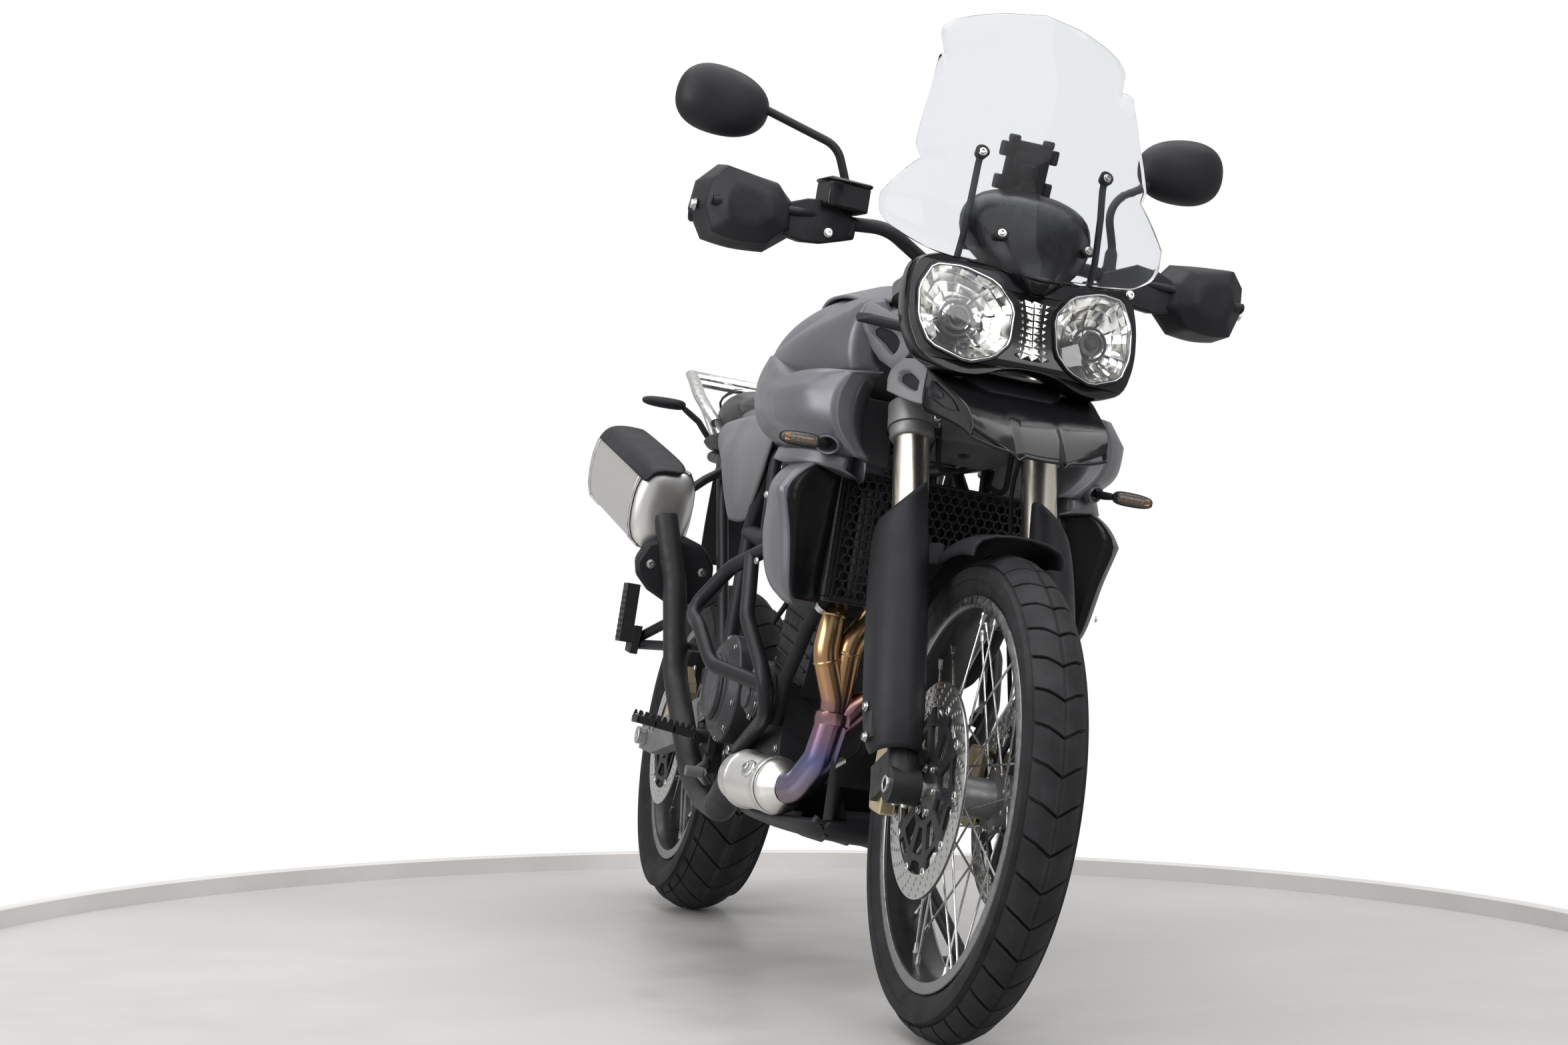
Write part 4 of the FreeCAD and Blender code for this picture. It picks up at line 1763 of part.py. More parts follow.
gear_lever = joined(rod(gear_root, gear_tip, d.lever_tube_radius * 0.9), gear_eye,
                    rod(gear_tip, control_box.spot(1.0, 0.16, 0.65), d.lever_tube_radius))
pedal = pedal.cut([collector, main_frame, mirrored(peg_side)])
foot_controls = Part.makeCompound([pedal, gear_lever.cut([engine_body, generator_cover])])
add("foot_controls", foot_controls)

# Direction indicators
signal_shares = ((0.0, 0.5), (0.25, 1.0), (0.85, 0.9), (1.0, 0.35))


def signal_lamp(start, end):
    """Slim oval lamp from its root to its tip."""
    side_count = d.mirror_side_count
    turn = 2 * math.pi / side_count
    rings = []
    for share, size in signal_shares:
        centre = start + (end - start) * share
        wide = d.signal_half_depth * size
        tall = d.signal_half_height * size
        rings.append([centre + Vector(0, wide * math.cos(turn * i), tall * math.sin(turn * i))
                      for i in range(side_count)])
    return loft(rings)


signals = Region("signals")
front_signal_root = signals.spot(0.735, 0.0, 0.0)
front_signal_start = signals.spot(0.785, 0.0, 0.0)
front_signal = joined(rod(front_signal_root, front_signal_start + SIDEWAYS * d.boss_radius,
                          d.signal_stalk_radius),
                      signal_lamp(front_signal_start, signals.spot(1.0, -0.01, 0.0)))
rear_root = tail.spot(0.56, 0.93, 0.75)
rear_elbow = Vector(d.tail_half_width * 1.04, rear_root.y, signals.spot(0, 0, 1).z)
rear_start = signals.spot(0.49, 1.0, 1.0)
rear_start = Vector(rear_start.x, rear_root.y, rear_start.z)
rear_signal = joined(tube([rear_root, rear_elbow, rear_start + SIDEWAYS * d.boss_radius],
                          d.signal_stalk_radius),
                     signal_lamp(rear_start, Vector(signals.spot(0.77, 1.0, 1.0).x, rear_root.y,
                                                    rear_start.z)))
front_signal = main_part(front_signal.cut([cowl_side, shroud_side, radiator_shape, main_frame]))
rear_signal = rear_signal.cut([tail_unit, rear_rack, tail_light])
add("indicators", Part.makeCompound([front_signal, mirrored(front_signal), rear_signal,
                                     mirrored(rear_signal)]))

# Side stand, drawn with the motorcycle upright and its foot on the leaning ground
stand_turn = math.radians(d.stand_axis_deg)
stand_axis = Vector(math.cos(stand_turn), 0, math.sin(stand_turn))
stand_pivot = Vector(d.stand_pivot_x, d.stand_pivot_y, d.stand_pivot_z)
ground_lean = math.radians(d.lean_deg)
foot_plane_z = (d.stand_foot_x * math.sin(ground_lean) - lift) / math.cos(ground_lean)
foot_point = Vector(d.stand_foot_x, d.stand_foot_y, foot_plane_z)
ground_normal = Vector(-math.sin(ground_lean), 0, math.cos(ground_lean))
ground_side = REARWARD.cross(ground_normal)
leg = rod(stand_pivot, foot_point + ground_normal * d.stand_pad_height, d.stand_leg_radius)
pad_side = ground_side * d.stand_pad_half_width
pad_back = REARWARD * d.stand_pad_half_length
pad = slab([foot_point + pad_side * x + pad_back * y for x, y in ((-1, -1), (1, -1), (1, 1), (-1, 1))],
           ground_normal * d.stand_pad_height)
stand_eye = rod(stand_pivot - stand_axis * d.stand_eye_half, stand_pivot + stand_axis * d.stand_eye_half,
                d.stand_eye_radius)
pin_half = d.stand_eye_half + d.running_gap
pin_room = rod(stand_pivot - stand_axis * (2 * d.stand_eye_radius),
               stand_pivot + stand_axis * (2 * d.stand_eye_radius),
               d.stand_pin_radius + d.running_gap)
side_stand = joined(leg, pad, stand_eye).cut(pin_room)
add("side_stand", side_stand)
boss_start = stand_pivot - stand_axis * (pin_half + d.stand_eye_half * 1.4)
stand_boss = rod(boss_start, stand_pivot - stand_axis * pin_half, d.stand_eye_radius)
stand_pin = rod(boss_start, stand_pivot + stand_axis * (pin_half + d.stand_eye_half / 2),
                d.stand_pin_radius)
stand_cap = rod(stand_pivot + stand_axis * pin_half,
                stand_pivot + stand_axis * (pin_half + d.stand_eye_half / 2),
                d.stand_pin_radius * 1.4)
plate_shares = ((-1.2, -0.9), (1.4, -0.9), (2.2, 2.6), (-1.2, 2.6))
stand_plate = slab([Vector(engine.half_width - d.peg_plate, stand_pivot.y + y * d.stand_eye_radius,
                           stand_pivot.z + z * d.stand_eye_radius) for y, z in plate_shares],
                   SIDEWAYS * d.peg_plate)
stand_bracket = joined(stand_boss, stand_pin, stand_cap, stand_plate).cut([engine_body, main_frame,
                                                                           engine_covers])
add("stand_bracket", stand_bracket)

# Checks, then one file for each piece
doc.recompute()
os.makedirs("parts", exist_ok=True)
for thing in doc.Objects:
    for state in thing.State:
        if state in ("Invalid", "Error"):
            raise RuntimeError(thing.Label + " failed to build")
for piece in made:
    if piece.Shape.isNull() or not piece.Shape.isValid():
        raise RuntimeError(piece.Label + " has no valid shape")
for piece in made:
    piece.Shape.exportStep("parts/%s.step" % piece.Label)
box = made[0].Shape.BoundBox
for piece in made:
    box.add(piece.Shape.BoundBox)
    print(piece.Label, len(piece.Shape.Solids), round(piece.Shape.Volume, 1))
print("pieces", len(made), "box", box)
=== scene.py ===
import math
import random
import bmesh
import bpy
from mathutils import Euler, Matrix, Vector


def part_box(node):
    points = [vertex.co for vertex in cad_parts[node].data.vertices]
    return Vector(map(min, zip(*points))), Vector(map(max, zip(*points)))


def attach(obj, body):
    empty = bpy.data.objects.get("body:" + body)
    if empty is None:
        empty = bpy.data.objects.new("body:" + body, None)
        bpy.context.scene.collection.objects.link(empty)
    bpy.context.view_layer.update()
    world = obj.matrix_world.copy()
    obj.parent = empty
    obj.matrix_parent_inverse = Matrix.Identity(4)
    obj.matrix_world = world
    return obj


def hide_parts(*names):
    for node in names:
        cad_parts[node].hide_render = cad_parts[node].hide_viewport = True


# Adventure motorcycle leaning on its side stand.
# Pieces are drawn in millimetres on the upright motorcycle, with its front at -Y and its left side at +X,
# and are leant and set in metres when they are made.

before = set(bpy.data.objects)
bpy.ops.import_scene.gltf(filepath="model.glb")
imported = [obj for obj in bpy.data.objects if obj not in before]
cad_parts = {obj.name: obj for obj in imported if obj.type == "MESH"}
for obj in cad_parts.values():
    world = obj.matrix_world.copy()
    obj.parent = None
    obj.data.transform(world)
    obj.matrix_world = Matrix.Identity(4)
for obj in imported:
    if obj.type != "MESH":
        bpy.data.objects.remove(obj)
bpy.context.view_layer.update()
MM = 0.001
LEAN = math.radians(9.3)
SHIFT = Vector((-174.0, 13.0, 80.0 * (1 - math.cos(LEAN)))) * MM
LEANING = Matrix.Translation(SHIFT) @ Matrix.Rotation(LEAN, 4, "Y")
FRONT_AXLE = Vector((0, -784, 347))
REAR_AXLE = Vector((0, 784, 321))
FRONT_RIM = (281, 74)  # radius and width
REAR_RIM = (230, 120)
RAKE = math.radians(23.1)
FORK_UP = Vector((0, math.sin(RAKE), math.cos(RAKE)))
FORK_FORWARD = Vector((0, -math.cos(RAKE), math.sin(RAKE)))
SIDEWAYS = Vector((1, 0, 0))
REARWARD = Vector((0, 1, 0))
UPWARD = Vector((0, 0, 1))
FORK_SIDE = 102  # fork tubes, from the middle
PLATE_SIDE = 147  # outer face of the frame's pivot plates
CHAIN_SIDE = 92
CHAIN_PITCH = 15.875


def V(*numbers):
    return Vector(numbers)


def fork_spot(across, forward, up):
    return FRONT_AXLE + SIDEWAYS * across + FORK_FORWARD * forward + FORK_UP * up


def around(count):
    """Angles spread evenly over a full turn."""
    return [2 * math.pi * k / count for k in range(count)]


def sided(side, points):
    """Points given for the left, put on the left (1) or the right (-1)."""
    return [V(side * x, y, z) for x, y, z in points]


def level_rows(table):
    """Rows of points from (y, outline of (x, z)) entries."""
    return [[V(x, y, z) for x, z in outline] for y, outline in table]


def whole_rows(halves):
    """Rows given from the middle outwards, each joined to its mirror image."""
    rows = []
    for half in halves:
        rows.append(sided(-1, reversed(half[1:])) + sided(1, half))
    return rows


def mirrored_ring(y, outline):
    """Closed ring from an outline of (x, z) on the left, from the middle to the middle."""
    left = [V(x, y, z) for x, z in outline]
    return left + sided(-1, reversed(left[1:-1]))


# Camera
CAMERA_PLACE = Vector((-1351.1, -4391.8, 655.5)) * MM
YAW = math.radians(14.85)
PITCH = math.radians(1.12)
ROLL = math.radians(0.17)
lens = bpy.data.cameras.new("camera")
lens.sensor_width = 36.0
lens.lens = 61.93
lens.clip_end = 200
camera = bpy.data.objects.new("camera", lens)
bpy.context.collection.objects.link(camera)
look = Vector((math.sin(YAW) * math.cos(PITCH), math.cos(YAW) * math.cos(PITCH), math.sin(PITCH)))
camera.rotation_euler = (look.to_track_quat("-Z", "Y").to_matrix() @ Matrix.Rotation(ROLL, 3, "Z")).to_euler()
camera.location = CAMERA_PLACE
bpy.context.scene.camera = camera
bpy.context.scene.view_settings.view_transform = "Standard"


# Materials
class Finish:
    """Node-based finish. Its patterns read the piece's own coordinates in metres."""

    def __init__(self, name, color, rough=0.5, metal=0.0, **sockets):
        self.mat = bpy.data.materials.new(name)
        self.mat.use_nodes = True
        self.nodes = self.mat.node_tree.nodes
        self.links = self.mat.node_tree.links
        self.shader = self.nodes["Principled BSDF"]
        self.color = color
        self.shader.inputs["Base Color"].default_value = (*color, 1)
        self.shader.inputs["Roughness"].default_value = rough
        self.shader.inputs["Metallic"].default_value = metal
        for socket, value in sockets.items():
            self.shader.inputs[socket.replace("_", " ")].default_value = value
        self.place = self.nodes.new("ShaderNodeTexCoord").outputs["Object"]
        self.normal = None

    def mapped(self, stretch):
        mapping = self.nodes.new("ShaderNodeMapping")
        mapping.inputs["Scale"].default_value = stretch
        self.links.new(self.place, mapping.inputs["Vector"])
        return mapping.outputs["Vector"]

    def noise(self, scale, detail=3.0, stretch=(1, 1, 1)):
        node = self.nodes.new("ShaderNodeTexNoise")
        node.inputs["Scale"].default_value = scale
        node.inputs["Detail"].default_value = detail
        self.links.new(self.mapped(stretch), node.inputs["Vector"])
        return node.outputs["Fac"]

    def cells(self, scale, stretch=(1, 1, 1), feature="F1"):
        node = self.nodes.new("ShaderNodeTexVoronoi")
        node.feature = feature
        node.inputs["Scale"].default_value = scale
        self.links.new(self.mapped(stretch), node.inputs["Vector"])
        return node.outputs["Distance"]

    def waves(self, scale, direction):
        node = self.nodes.new("ShaderNodeTexWave")
        node.bands_direction = direction
        node.inputs["Scale"].default_value = scale
        self.links.new(self.place, node.inputs["Vector"])
        return node.outputs["Fac"]

    def axis(self, name):
        node = self.nodes.new("ShaderNodeSeparateXYZ")
        self.links.new(self.place, node.inputs[0])
        return node.outputs[name]

    def ramp(self, value, stops):
        node = self.nodes.new("ShaderNodeValToRGB")
        band = node.color_ramp
        for place, color in stops[2:]:
            band.elements.new(place)
        for element, (place, color) in zip(band.elements, stops):
            element.position = place
            element.color = (*color, 1)
        self.links.new(value, node.inputs["Fac"])
        return node.outputs["Color"]

    def span(self, value, low, high, start=0.3, stop=0.7):
        node = self.nodes.new("ShaderNodeMapRange")
        for socket, number in zip(("From Min", "From Max", "To Min", "To Max"), (start, stop, low, high)):
            node.inputs[socket].default_value = number
        self.links.new(value, node.inputs["Value"])
        return node.outputs["Result"]

    def shade(self, value, dark, light=1.0, start=0.3, stop=0.7):
        """Varies the colour between two multiples of itself."""
        stops = [(start, tuple(c * dark for c in self.color)),
                 (stop, tuple(min(1, c * light) for c in self.color))]
        self.links.new(self.ramp(value, stops), self.shader.inputs["Base Color"])
        return self

    def rough(self, value, low, high):
        self.links.new(self.span(value, low, high), self.shader.inputs["Roughness"])
        return self

    def bump(self, value, strength, depth=0.001):
        node = self.nodes.new("ShaderNodeBump")
        node.inputs["Strength"].default_value = strength
        node.inputs["Distance"].default_value = depth
        self.links.new(value, node.inputs["Height"])
        if self.normal:
            self.links.new(self.normal, node.inputs["Normal"])
        self.normal = node.outputs["Normal"]
        self.links.new(self.normal, self.shader.inputs["Normal"])
        return self


def moulded(name, color, rough, grain=900, strength=0.25, shine=0.2):
    """Moulded plastic with a fine grain and a little handling wear."""
    f = Finish(name, color, rough, Specular_IOR_Level=shine)
    f.shade(f.noise(7), 0.82, 1.12)
    f.rough(f.noise(23, 4), rough - 0.06, rough + 0.08)
    return f.bump(f.cells(grain), strength, 0.0004)


def painted(name, color, rough, metal=0.0, flake=0.0, **sockets):
    """Paint with faint cloudiness, dust in its roughness and a fine orange peel."""
    f = Finish(name, color, rough, metal, **sockets)
    f.shade(f.noise(4), 0.88 - flake, 1 + flake)
    f.rough(f.noise(40, 5), max(0.03, rough - 0.05), rough + 0.07)
    return f.bump(f.noise(600, 2), 0.05, 0.0003)


def ground_metal(name, color, rough, stretch=(1, 1, 1)):
    """Bare metal with a fine grain, drawn out to lines where it is stretched."""
    f = Finish(name, color, rough, 1.0)
    lines = f.noise(120, 3, stretch)
    f.shade(lines, 0.86, 1.06)
    f.rough(lines, rough * 0.75, rough * 1.35)
    return f.bump(lines, 0.06, 0.0002)


def cast(name, color, rough, metal):
    """Cast metal with a pebbled skin."""
    f = Finish(name, color, rough, metal, Specular_IOR_Level=0.3)
    f.shade(f.noise(14, 4), 0.8, 1.12)
    f.rough(f.noise(55, 4), rough - 0.08, rough + 0.1)
    return f.bump(f.noise(520, 5), 0.35, 0.0006)


body_grey = painted("body_grey", (0.112, 0.112, 0.127), 0.36, 0.3, 0.04, Coat_Weight=0.25,
                    Coat_Roughness=0.3)
nose_grey = moulded("nose_grey", (0.17, 0.17, 0.178), 0.46, 1400, 0.12)
plastic_black = moulded("plastic_black", (0.013, 0.013, 0.016), 0.5)
plastic_grey = moulded("plastic_grey", (0.14, 0.14, 0.148), 0.52, 1500, 0.1)
gloss_black = painted("gloss_black", (0.007, 0.007, 0.008), 0.14, Specular_IOR_Level=0.3)
cowl_black = painted("cowl_black", (0.006, 0.006, 0.007), 0.24, Specular_IOR_Level=0.16)
frame_black = painted("frame_black", (0.013, 0.013, 0.016), 0.42, Specular_IOR_Level=0.25)
holder_black = moulded("holder_black", (0.008, 0.008, 0.009), 0.5, shine=0.25)
cast_grey = cast("cast_grey", (0.17, 0.17, 0.175), 0.45, 0.5)
cast_black = cast("cast_black", (0.016, 0.016, 0.018), 0.5, 0.1)
engine_black = cast("engine_black", (0.018, 0.018, 0.021), 0.48, 0.2)
engine_grey = cast("engine_grey", (0.05, 0.05, 0.055), 0.42, 0.4)
fork_metal = ground_metal("fork_metal", (0.66, 0.62, 0.54), 0.26, (40, 40, 1))
chrome = Finish("chrome", (0.86, 0.87, 0.88), 0.06, 1.0)
chrome.rough(chrome.noise(60, 3), 0.03, 0.12)
# Chrome whose colour runs from near black to full in cells: painted reflections, so the lamp's facets look as if
# they mirror light and dark things.
facet_chrome = Finish("facet_chrome", (0.86, 0.84, 0.8), 0.12, 1.0)
facet_chrome.shade(facet_chrome.cells(30, (1.8, 1, 0.7)), 0.1, 1.0, 0.1, 0.42)
facet_chrome.rough(facet_chrome.noise(60, 3), 0.08, 0.2)
steel = ground_metal("steel", (0.55, 0.55, 0.54), 0.3)
disc_steel = ground_metal("disc_steel", (0.62, 0.62, 0.61), 0.27, (1, 30, 30))
rim_silver = ground_metal("rim_silver", (0.3, 0.3, 0.305), 0.36)
rim_black = painted("rim_black", (0.016, 0.016, 0.017), 0.3, 0.4)
spoke_steel = ground_metal("spoke_steel", (0.42, 0.42, 0.41), 0.3)
hub_grey = cast("hub_grey", (0.2, 0.2, 0.2), 0.4, 0.7)
caliper_gold = painted("caliper_gold", (0.62, 0.52, 0.33), 0.36, 0.85)
seat_grey = Finish("seat_grey", (0.06, 0.06, 0.062), 0.62)
seat_grey.shade(seat_grey.noise(9), 0.85, 1.12)
seat_grey.bump(seat_grey.cells(700, feature="SMOOTH_F1"), 0.5, 0.0005)
seat_band = moulded("seat_band", (0.022, 0.022, 0.023), 0.7, 500, 0.5)
alloy_silver = ground_metal("alloy_silver", (0.66, 0.66, 0.65), 0.34)
brushed_steel = ground_metal("brushed_steel", (0.78, 0.765, 0.74), 0.33, (60, 1, 60))
rubber = moulded("rubber", (0.014, 0.014, 0.015), 0.72, 1200, 0.3)
tyre_rubber = Finish("tyre_rubber", (0.01, 0.01, 0.0115), 0.7, Specular_IOR_Level=0.25)
tyre_rubber.shade(tyre_rubber.noise(30, 5), 0.7, 1.5)
tyre_rubber.rough(tyre_rubber.noise(16, 4), 0.6, 0.8)
tyre_rubber.bump(tyre_rubber.noise(900, 3), 0.3, 0.0004)
chain_steel = ground_metal("chain_steel", (0.3, 0.27, 0.22), 0.36)
clear_glass = Finish("clear_glass", (0.97, 0.98, 0.985), 0.02, 0.0, Transmission_Weight=1.0, IOR=1.46)
clear_glass.rough(clear_glass.noise(9, 3), 0.0, 0.035)
screen_glass = Finish("screen_glass", (0.8, 0.815, 0.84), 0.03, 0.0, Transmission_Weight=1.0, IOR=1.14)
screen_glass.rough(screen_glass.noise(6, 3), 0.01, 0.06)
amber_lens = Finish("amber_lens", (0.22, 0.2, 0.18), 0.12, 0.0, Transmission_Weight=0.7, IOR=1.35)
amber_lens.rough(amber_lens.noise(60, 3), 0.06, 0.2)
diode_amber = Finish("diode_amber", (0.55, 0.25, 0.05), 0.3)
diode_amber.shade(diode_amber.noise(300), 0.7, 1.2)
red_lens = Finish("red_lens", (0.32, 0.01, 0.012), 0.14, 0.0, Coat_Weight=0.5)
red_lens.bump(red_lens.waves(60, "X"), 0.4, 0.001)
mirror_silver = Finish("mirror_silver", (0.9, 0.91, 0.92), 0.02, 1.0)
mirror_silver.rough(mirror_silver.noise(12), 0.0, 0.04)
screen_dark = painted("screen_dark", (0.01, 0.011, 0.013), 0.1, Coat_Weight=1.0)
radiator_black = Finish("radiator_black", (0.02, 0.02, 0.022), 0.5, 0.3)
radiator_black.shade(radiator_black.waves(160, "Z"), 0.3, 1.6)
radiator_black.bump(radiator_black.waves(160, "Z"), 0.8, 0.001)

# Header pipes: colours of heat, by height and a cloudy pattern
header_steel = Finish("header_steel", (0.55, 0.4, 0.22), 0.24, 1.0)
header_height = header_steel.span(header_steel.axis("Z"), 0.0, 1.0, 0.27, 0.66)
header_cloud = header_steel.noise(8, 4)
header_mix = header_steel.nodes.new("ShaderNodeMath")
header_mix.operation = "MULTIPLY_ADD"
header_mix.inputs[1].default_value = 0.22
header_steel.links.new(header_cloud, header_mix.inputs[0])
header_steel.links.new(header_height, header_mix.inputs[2])
header_steel.links.new(header_steel.ramp(header_mix.outputs[0], [
    (0.05, (0.33, 0.3, 0.29)), (0.2, (0.24, 0.2, 0.24)), (0.36, (0.14, 0.15, 0.3)),
    (0.5, (0.28, 0.17, 0.24)), (0.64, (0.44, 0.25, 0.13)), (1.0, (0.48, 0.33, 0.17))]),
    header_steel.shader.inputs["Base Color"])
header_steel.rough(header_steel.noise(9, 3), 0.2, 0.3)


# Mesh making
class Shape:
    """Points and faces of a piece, in millimetres on the upright motorcycle."""

    def __init__(self):
        self.points = []
        self.faces = []

    def add(self, points, faces):
        base = len(self.points)
        self.points += [Vector(p) for p in points]
        self.faces += [tuple(base + i for i in face) for face in faces]
        return self

    def grid(self, rows, ring=False, loop=False, caps=False):
        """Surface through rows of points. A ring row closes on itself, a loop joins the last row to the first."""
        count = len(rows[0])
        faces = []
        for r in range(len(rows) - (0 if loop else 1)):
            after = (r + 1) % len(rows)
            for i in range(count - (0 if ring else 1)):
                j = (i + 1) % count
                faces.append((r * count + i, r * count + j, after * count + j, after * count + i))
        if caps:
            faces.append(tuple(reversed(range(count))))
            faces.append(tuple((len(rows) - 1) * count + i for i in range(count)))
        return self.add([p for row in rows for p in row], faces)

    def close(self, count):
        """Closes the end with a face on the last points."""
        base = len(self.points) - count
        self.faces.append(tuple(base + i for i in range(count)))
        return self

    def tube(self, route, radius, sides):
        """Round bar along a route. A list of radii gives one for each point."""
        radii = radius if isinstance(radius, (list, tuple)) else [radius] * len(route)
        heading = (route[1] - route[0]).normalized()
        across = heading.orthogonal().normalized()
        rings = []
        for i, point in enumerate(route):
            ahead = (route[min(i + 1, len(route) - 1)] - route[max(i - 1, 0)]).normalized()
            across = (heading.rotation_difference(ahead) @ across).normalized()
            heading = ahead
            other = heading.cross(across)
            rings.append([point + (across * math.cos(a) + other * math.sin(a)) * radii[i]
                          for a in around(sides)])
        return self.grid(rings, ring=True, caps=True)

    def rod(self, start, end, radius, sides, chamfer=0.0):
        if not chamfer:
            return self.tube([start, end], radius, sides)
        way = (end - start).normalized() * chamfer
        return self.tube([start, start + way, end - way, end],
                         [radius - chamfer, radius, radius, radius - chamfer], sides)

    def turned(self, centre, profile, steps, axis=SIDEWAYS):
        """Profile of (along the axis, radius) turned about a line through the centre."""
        first = axis.orthogonal().normalized()
        if axis.cross(UPWARD).length > 0.1:
            first = (UPWARD - axis * axis.dot(UPWARD)).normalized()
        other = axis.cross(first)
        rows = []
        for angle in around(steps):
            way = first * math.cos(angle) + other * math.sin(angle)
            rows.append([centre + axis * along + way * radius for along, radius in profile])
        return self.grid(rows, loop=True)

    def prism(self, outline, push):
        count = len(outline)
        sides = [(i, (i + 1) % count, count + (i + 1) % count, count + i) for i in range(count)]
        return self.add(list(outline) + [p + push for p in outline],
                        sides + [tuple(reversed(range(count))), tuple(range(count, 2 * count))])

    def both(self):
        """Adds the mirrored copy for the other side."""
        count = len(self.points)
        self.points += sided(-1, self.points)
        self.faces += [tuple(count + i for i in reversed(face)) for face in self.faces]
        return self


def eased(points, bend, steps=7):
    """The route with its corners rounded to arcs."""
    route = [points[0]]
    for before, corner, after in zip(points, points[1:], points[2:]):
        into = corner - before
        out = after - corner
        room = 0.48 * min(into.length, out.length)
        half_turn = into.angle(out) / 2
        if half_turn < 0.01:
            continue
        into.normalize()
        out.normalize()
        reach = min(bend * math.tan(half_turn), room)
        radius = reach / math.tan(half_turn)
        inward = (out - into).normalized()
        centre = corner + inward * (radius / math.cos(half_turn))
        onward = (into + out).normalized()
        for step in range(steps + 1):
            angle = half_turn * (2.0 * step / steps - 1)
            route.append(centre + (onward * math.sin(angle) - inward * math.cos(angle)) * radius)
    route.append(points[-1])
    return route


def soft_box(shape, centre, half, axes=(SIDEWAYS, REARWARD, UPWARD)):
    """Adds a box of half sizes along its axes. Its edges are rounded by the piece's bevel."""
    a, b, c = (axis * size for axis, size in zip(axes, half))
    corners = [centre + a * i + b * j + c * k for i in (-1, 1) for j in (-1, 1) for k in (-1, 1)]
    shape.add(corners, [(0, 1, 3, 2), (4, 6, 7, 5), (0, 4, 5, 1), (2, 3, 7, 6), (0, 2, 6, 4), (1, 5, 7, 3)])


def boxy(value, power):
    """A sine or cosine drawn towards 1 or -1, which squares off a circle."""
    return math.copysign(abs(value) ** power, value)


def leant_mesh(name, points, faces):
    mesh = bpy.data.meshes.new(name)
    mesh.from_pydata([LEANING @ (p * MM) for p in points], [], faces)
    return mesh


def clean(mesh, merge=0.00002):
    """Merges doubles and turns the faces outwards."""
    work = bmesh.new()
    work.from_mesh(mesh)
    bmesh.ops.remove_doubles(work, verts=work.verts, dist=merge)
    bmesh.ops.recalc_face_normals(work, faces=work.faces)
    work.to_mesh(mesh)
    work.free()


def keep(obj, body, replaced):
    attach(obj, body)
    if replaced:
        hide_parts(*replaced)
    return obj


def piece(name, shape, body, finish, replaced=(), wall=0.0, wall_side=-1, bevel=0.0, smooth=0,
          crease=None, sharp=38, merge=0.02):
    """Makes a piece: mesh, wall thickness, rounded edges, subdivision, finish and the body it rides on."""
    mesh = leant_mesh(name, shape.points, shape.faces)
    clean(mesh, merge * MM)
    if crease is not None:
        work = bmesh.new()
        work.from_mesh(mesh)
        layer = work.edges.layers.float.new("crease_edge")
        for edge in work.edges:
            if len(edge.link_faces) == 2 and edge.calc_face_angle(0.0) > math.radians(crease):
                edge[layer] = 0.75
        work.to_mesh(mesh)
        work.free()
    mesh.shade_smooth()
    mesh.set_sharp_from_angle(angle=math.radians(180 if smooth else sharp))
    mesh.materials.append(finish.mat)
    obj = bpy.data.objects.new(name, mesh)
    bpy.context.collection.objects.link(obj)
    if smooth:
        sub = obj.modifiers.new("smooth", "SUBSURF")
        sub.levels = sub.render_levels = smooth
        sub.use_limit_surface = False
    if wall:
        solid = obj.modifiers.new("wall", "SOLIDIFY")
        solid.thickness = wall * MM
        solid.offset = wall_side
        solid.use_even_offset = True
    if bevel:
        edge = obj.modifiers.new("edges", "BEVEL")
        edge.width = bevel * MM
        edge.segments = 2
        edge.limit_method = "ANGLE"
        edge.angle_limit = math.radians(32)
        edge.harden_normals = False
    return keep(obj, body, replaced)


# Repeats, made by Geometry Nodes: copies of a template stand on points that hold a turn and a stretch
def repeat_tree():
    tree = bpy.data.node_groups.new("copies_on_points", "GeometryNodeTree")
    face = tree.interface
    face.new_socket("Geometry", in_out="INPUT", socket_type="NodeSocketGeometry")
    template = face.new_socket("Template", in_out="INPUT", socket_type="NodeSocketObject")
    finish = face.new_socket("Finish", in_out="INPUT", socket_type="NodeSocketMaterial")
    face.new_socket("Geometry", in_out="OUTPUT", socket_type="NodeSocketGeometry")
    add = tree.nodes.new

    def attribute(name):
        node = add("GeometryNodeInputNamedAttribute")
        node.data_type = "FLOAT_VECTOR"
        node.inputs["Name"].default_value = name
        return node.outputs["Attribute"]

    start = add("NodeGroupInput")
    info = add("GeometryNodeObjectInfo")
    info.inputs["As Instance"].default_value = True
    to_turn = add("FunctionNodeEulerToRotation")
    place = add("GeometryNodeInstanceOnPoints")
    real = add("GeometryNodeRealizeInstances")
    paint = add("GeometryNodeSetMaterial")
    end = add("NodeGroupOutput")
    for source, target in (
            (start.outputs["Geometry"], place.inputs["Points"]),
            (start.outputs["Template"], info.inputs["Object"]),
            (info.outputs["Geometry"], place.inputs["Instance"]),
            (attribute("turn"), to_turn.inputs[0]),
            (to_turn.outputs[0], place.inputs["Rotation"]),
            (attribute("stretch"), place.inputs["Scale"]),
            (place.outputs["Instances"], real.inputs["Geometry"]),
            (real.outputs["Geometry"], paint.inputs["Geometry"]),
            (start.outputs["Finish"], paint.inputs["Material"]),
            (paint.outputs["Geometry"], end.inputs["Geometry"])):
        tree.links.new(source, target)
    return tree, template.identifier, finish.identifier


COPIES, TEMPLATE_SOCKET, FINISH_SOCKET = repeat_tree()
ONE = V(1, 1, 1)


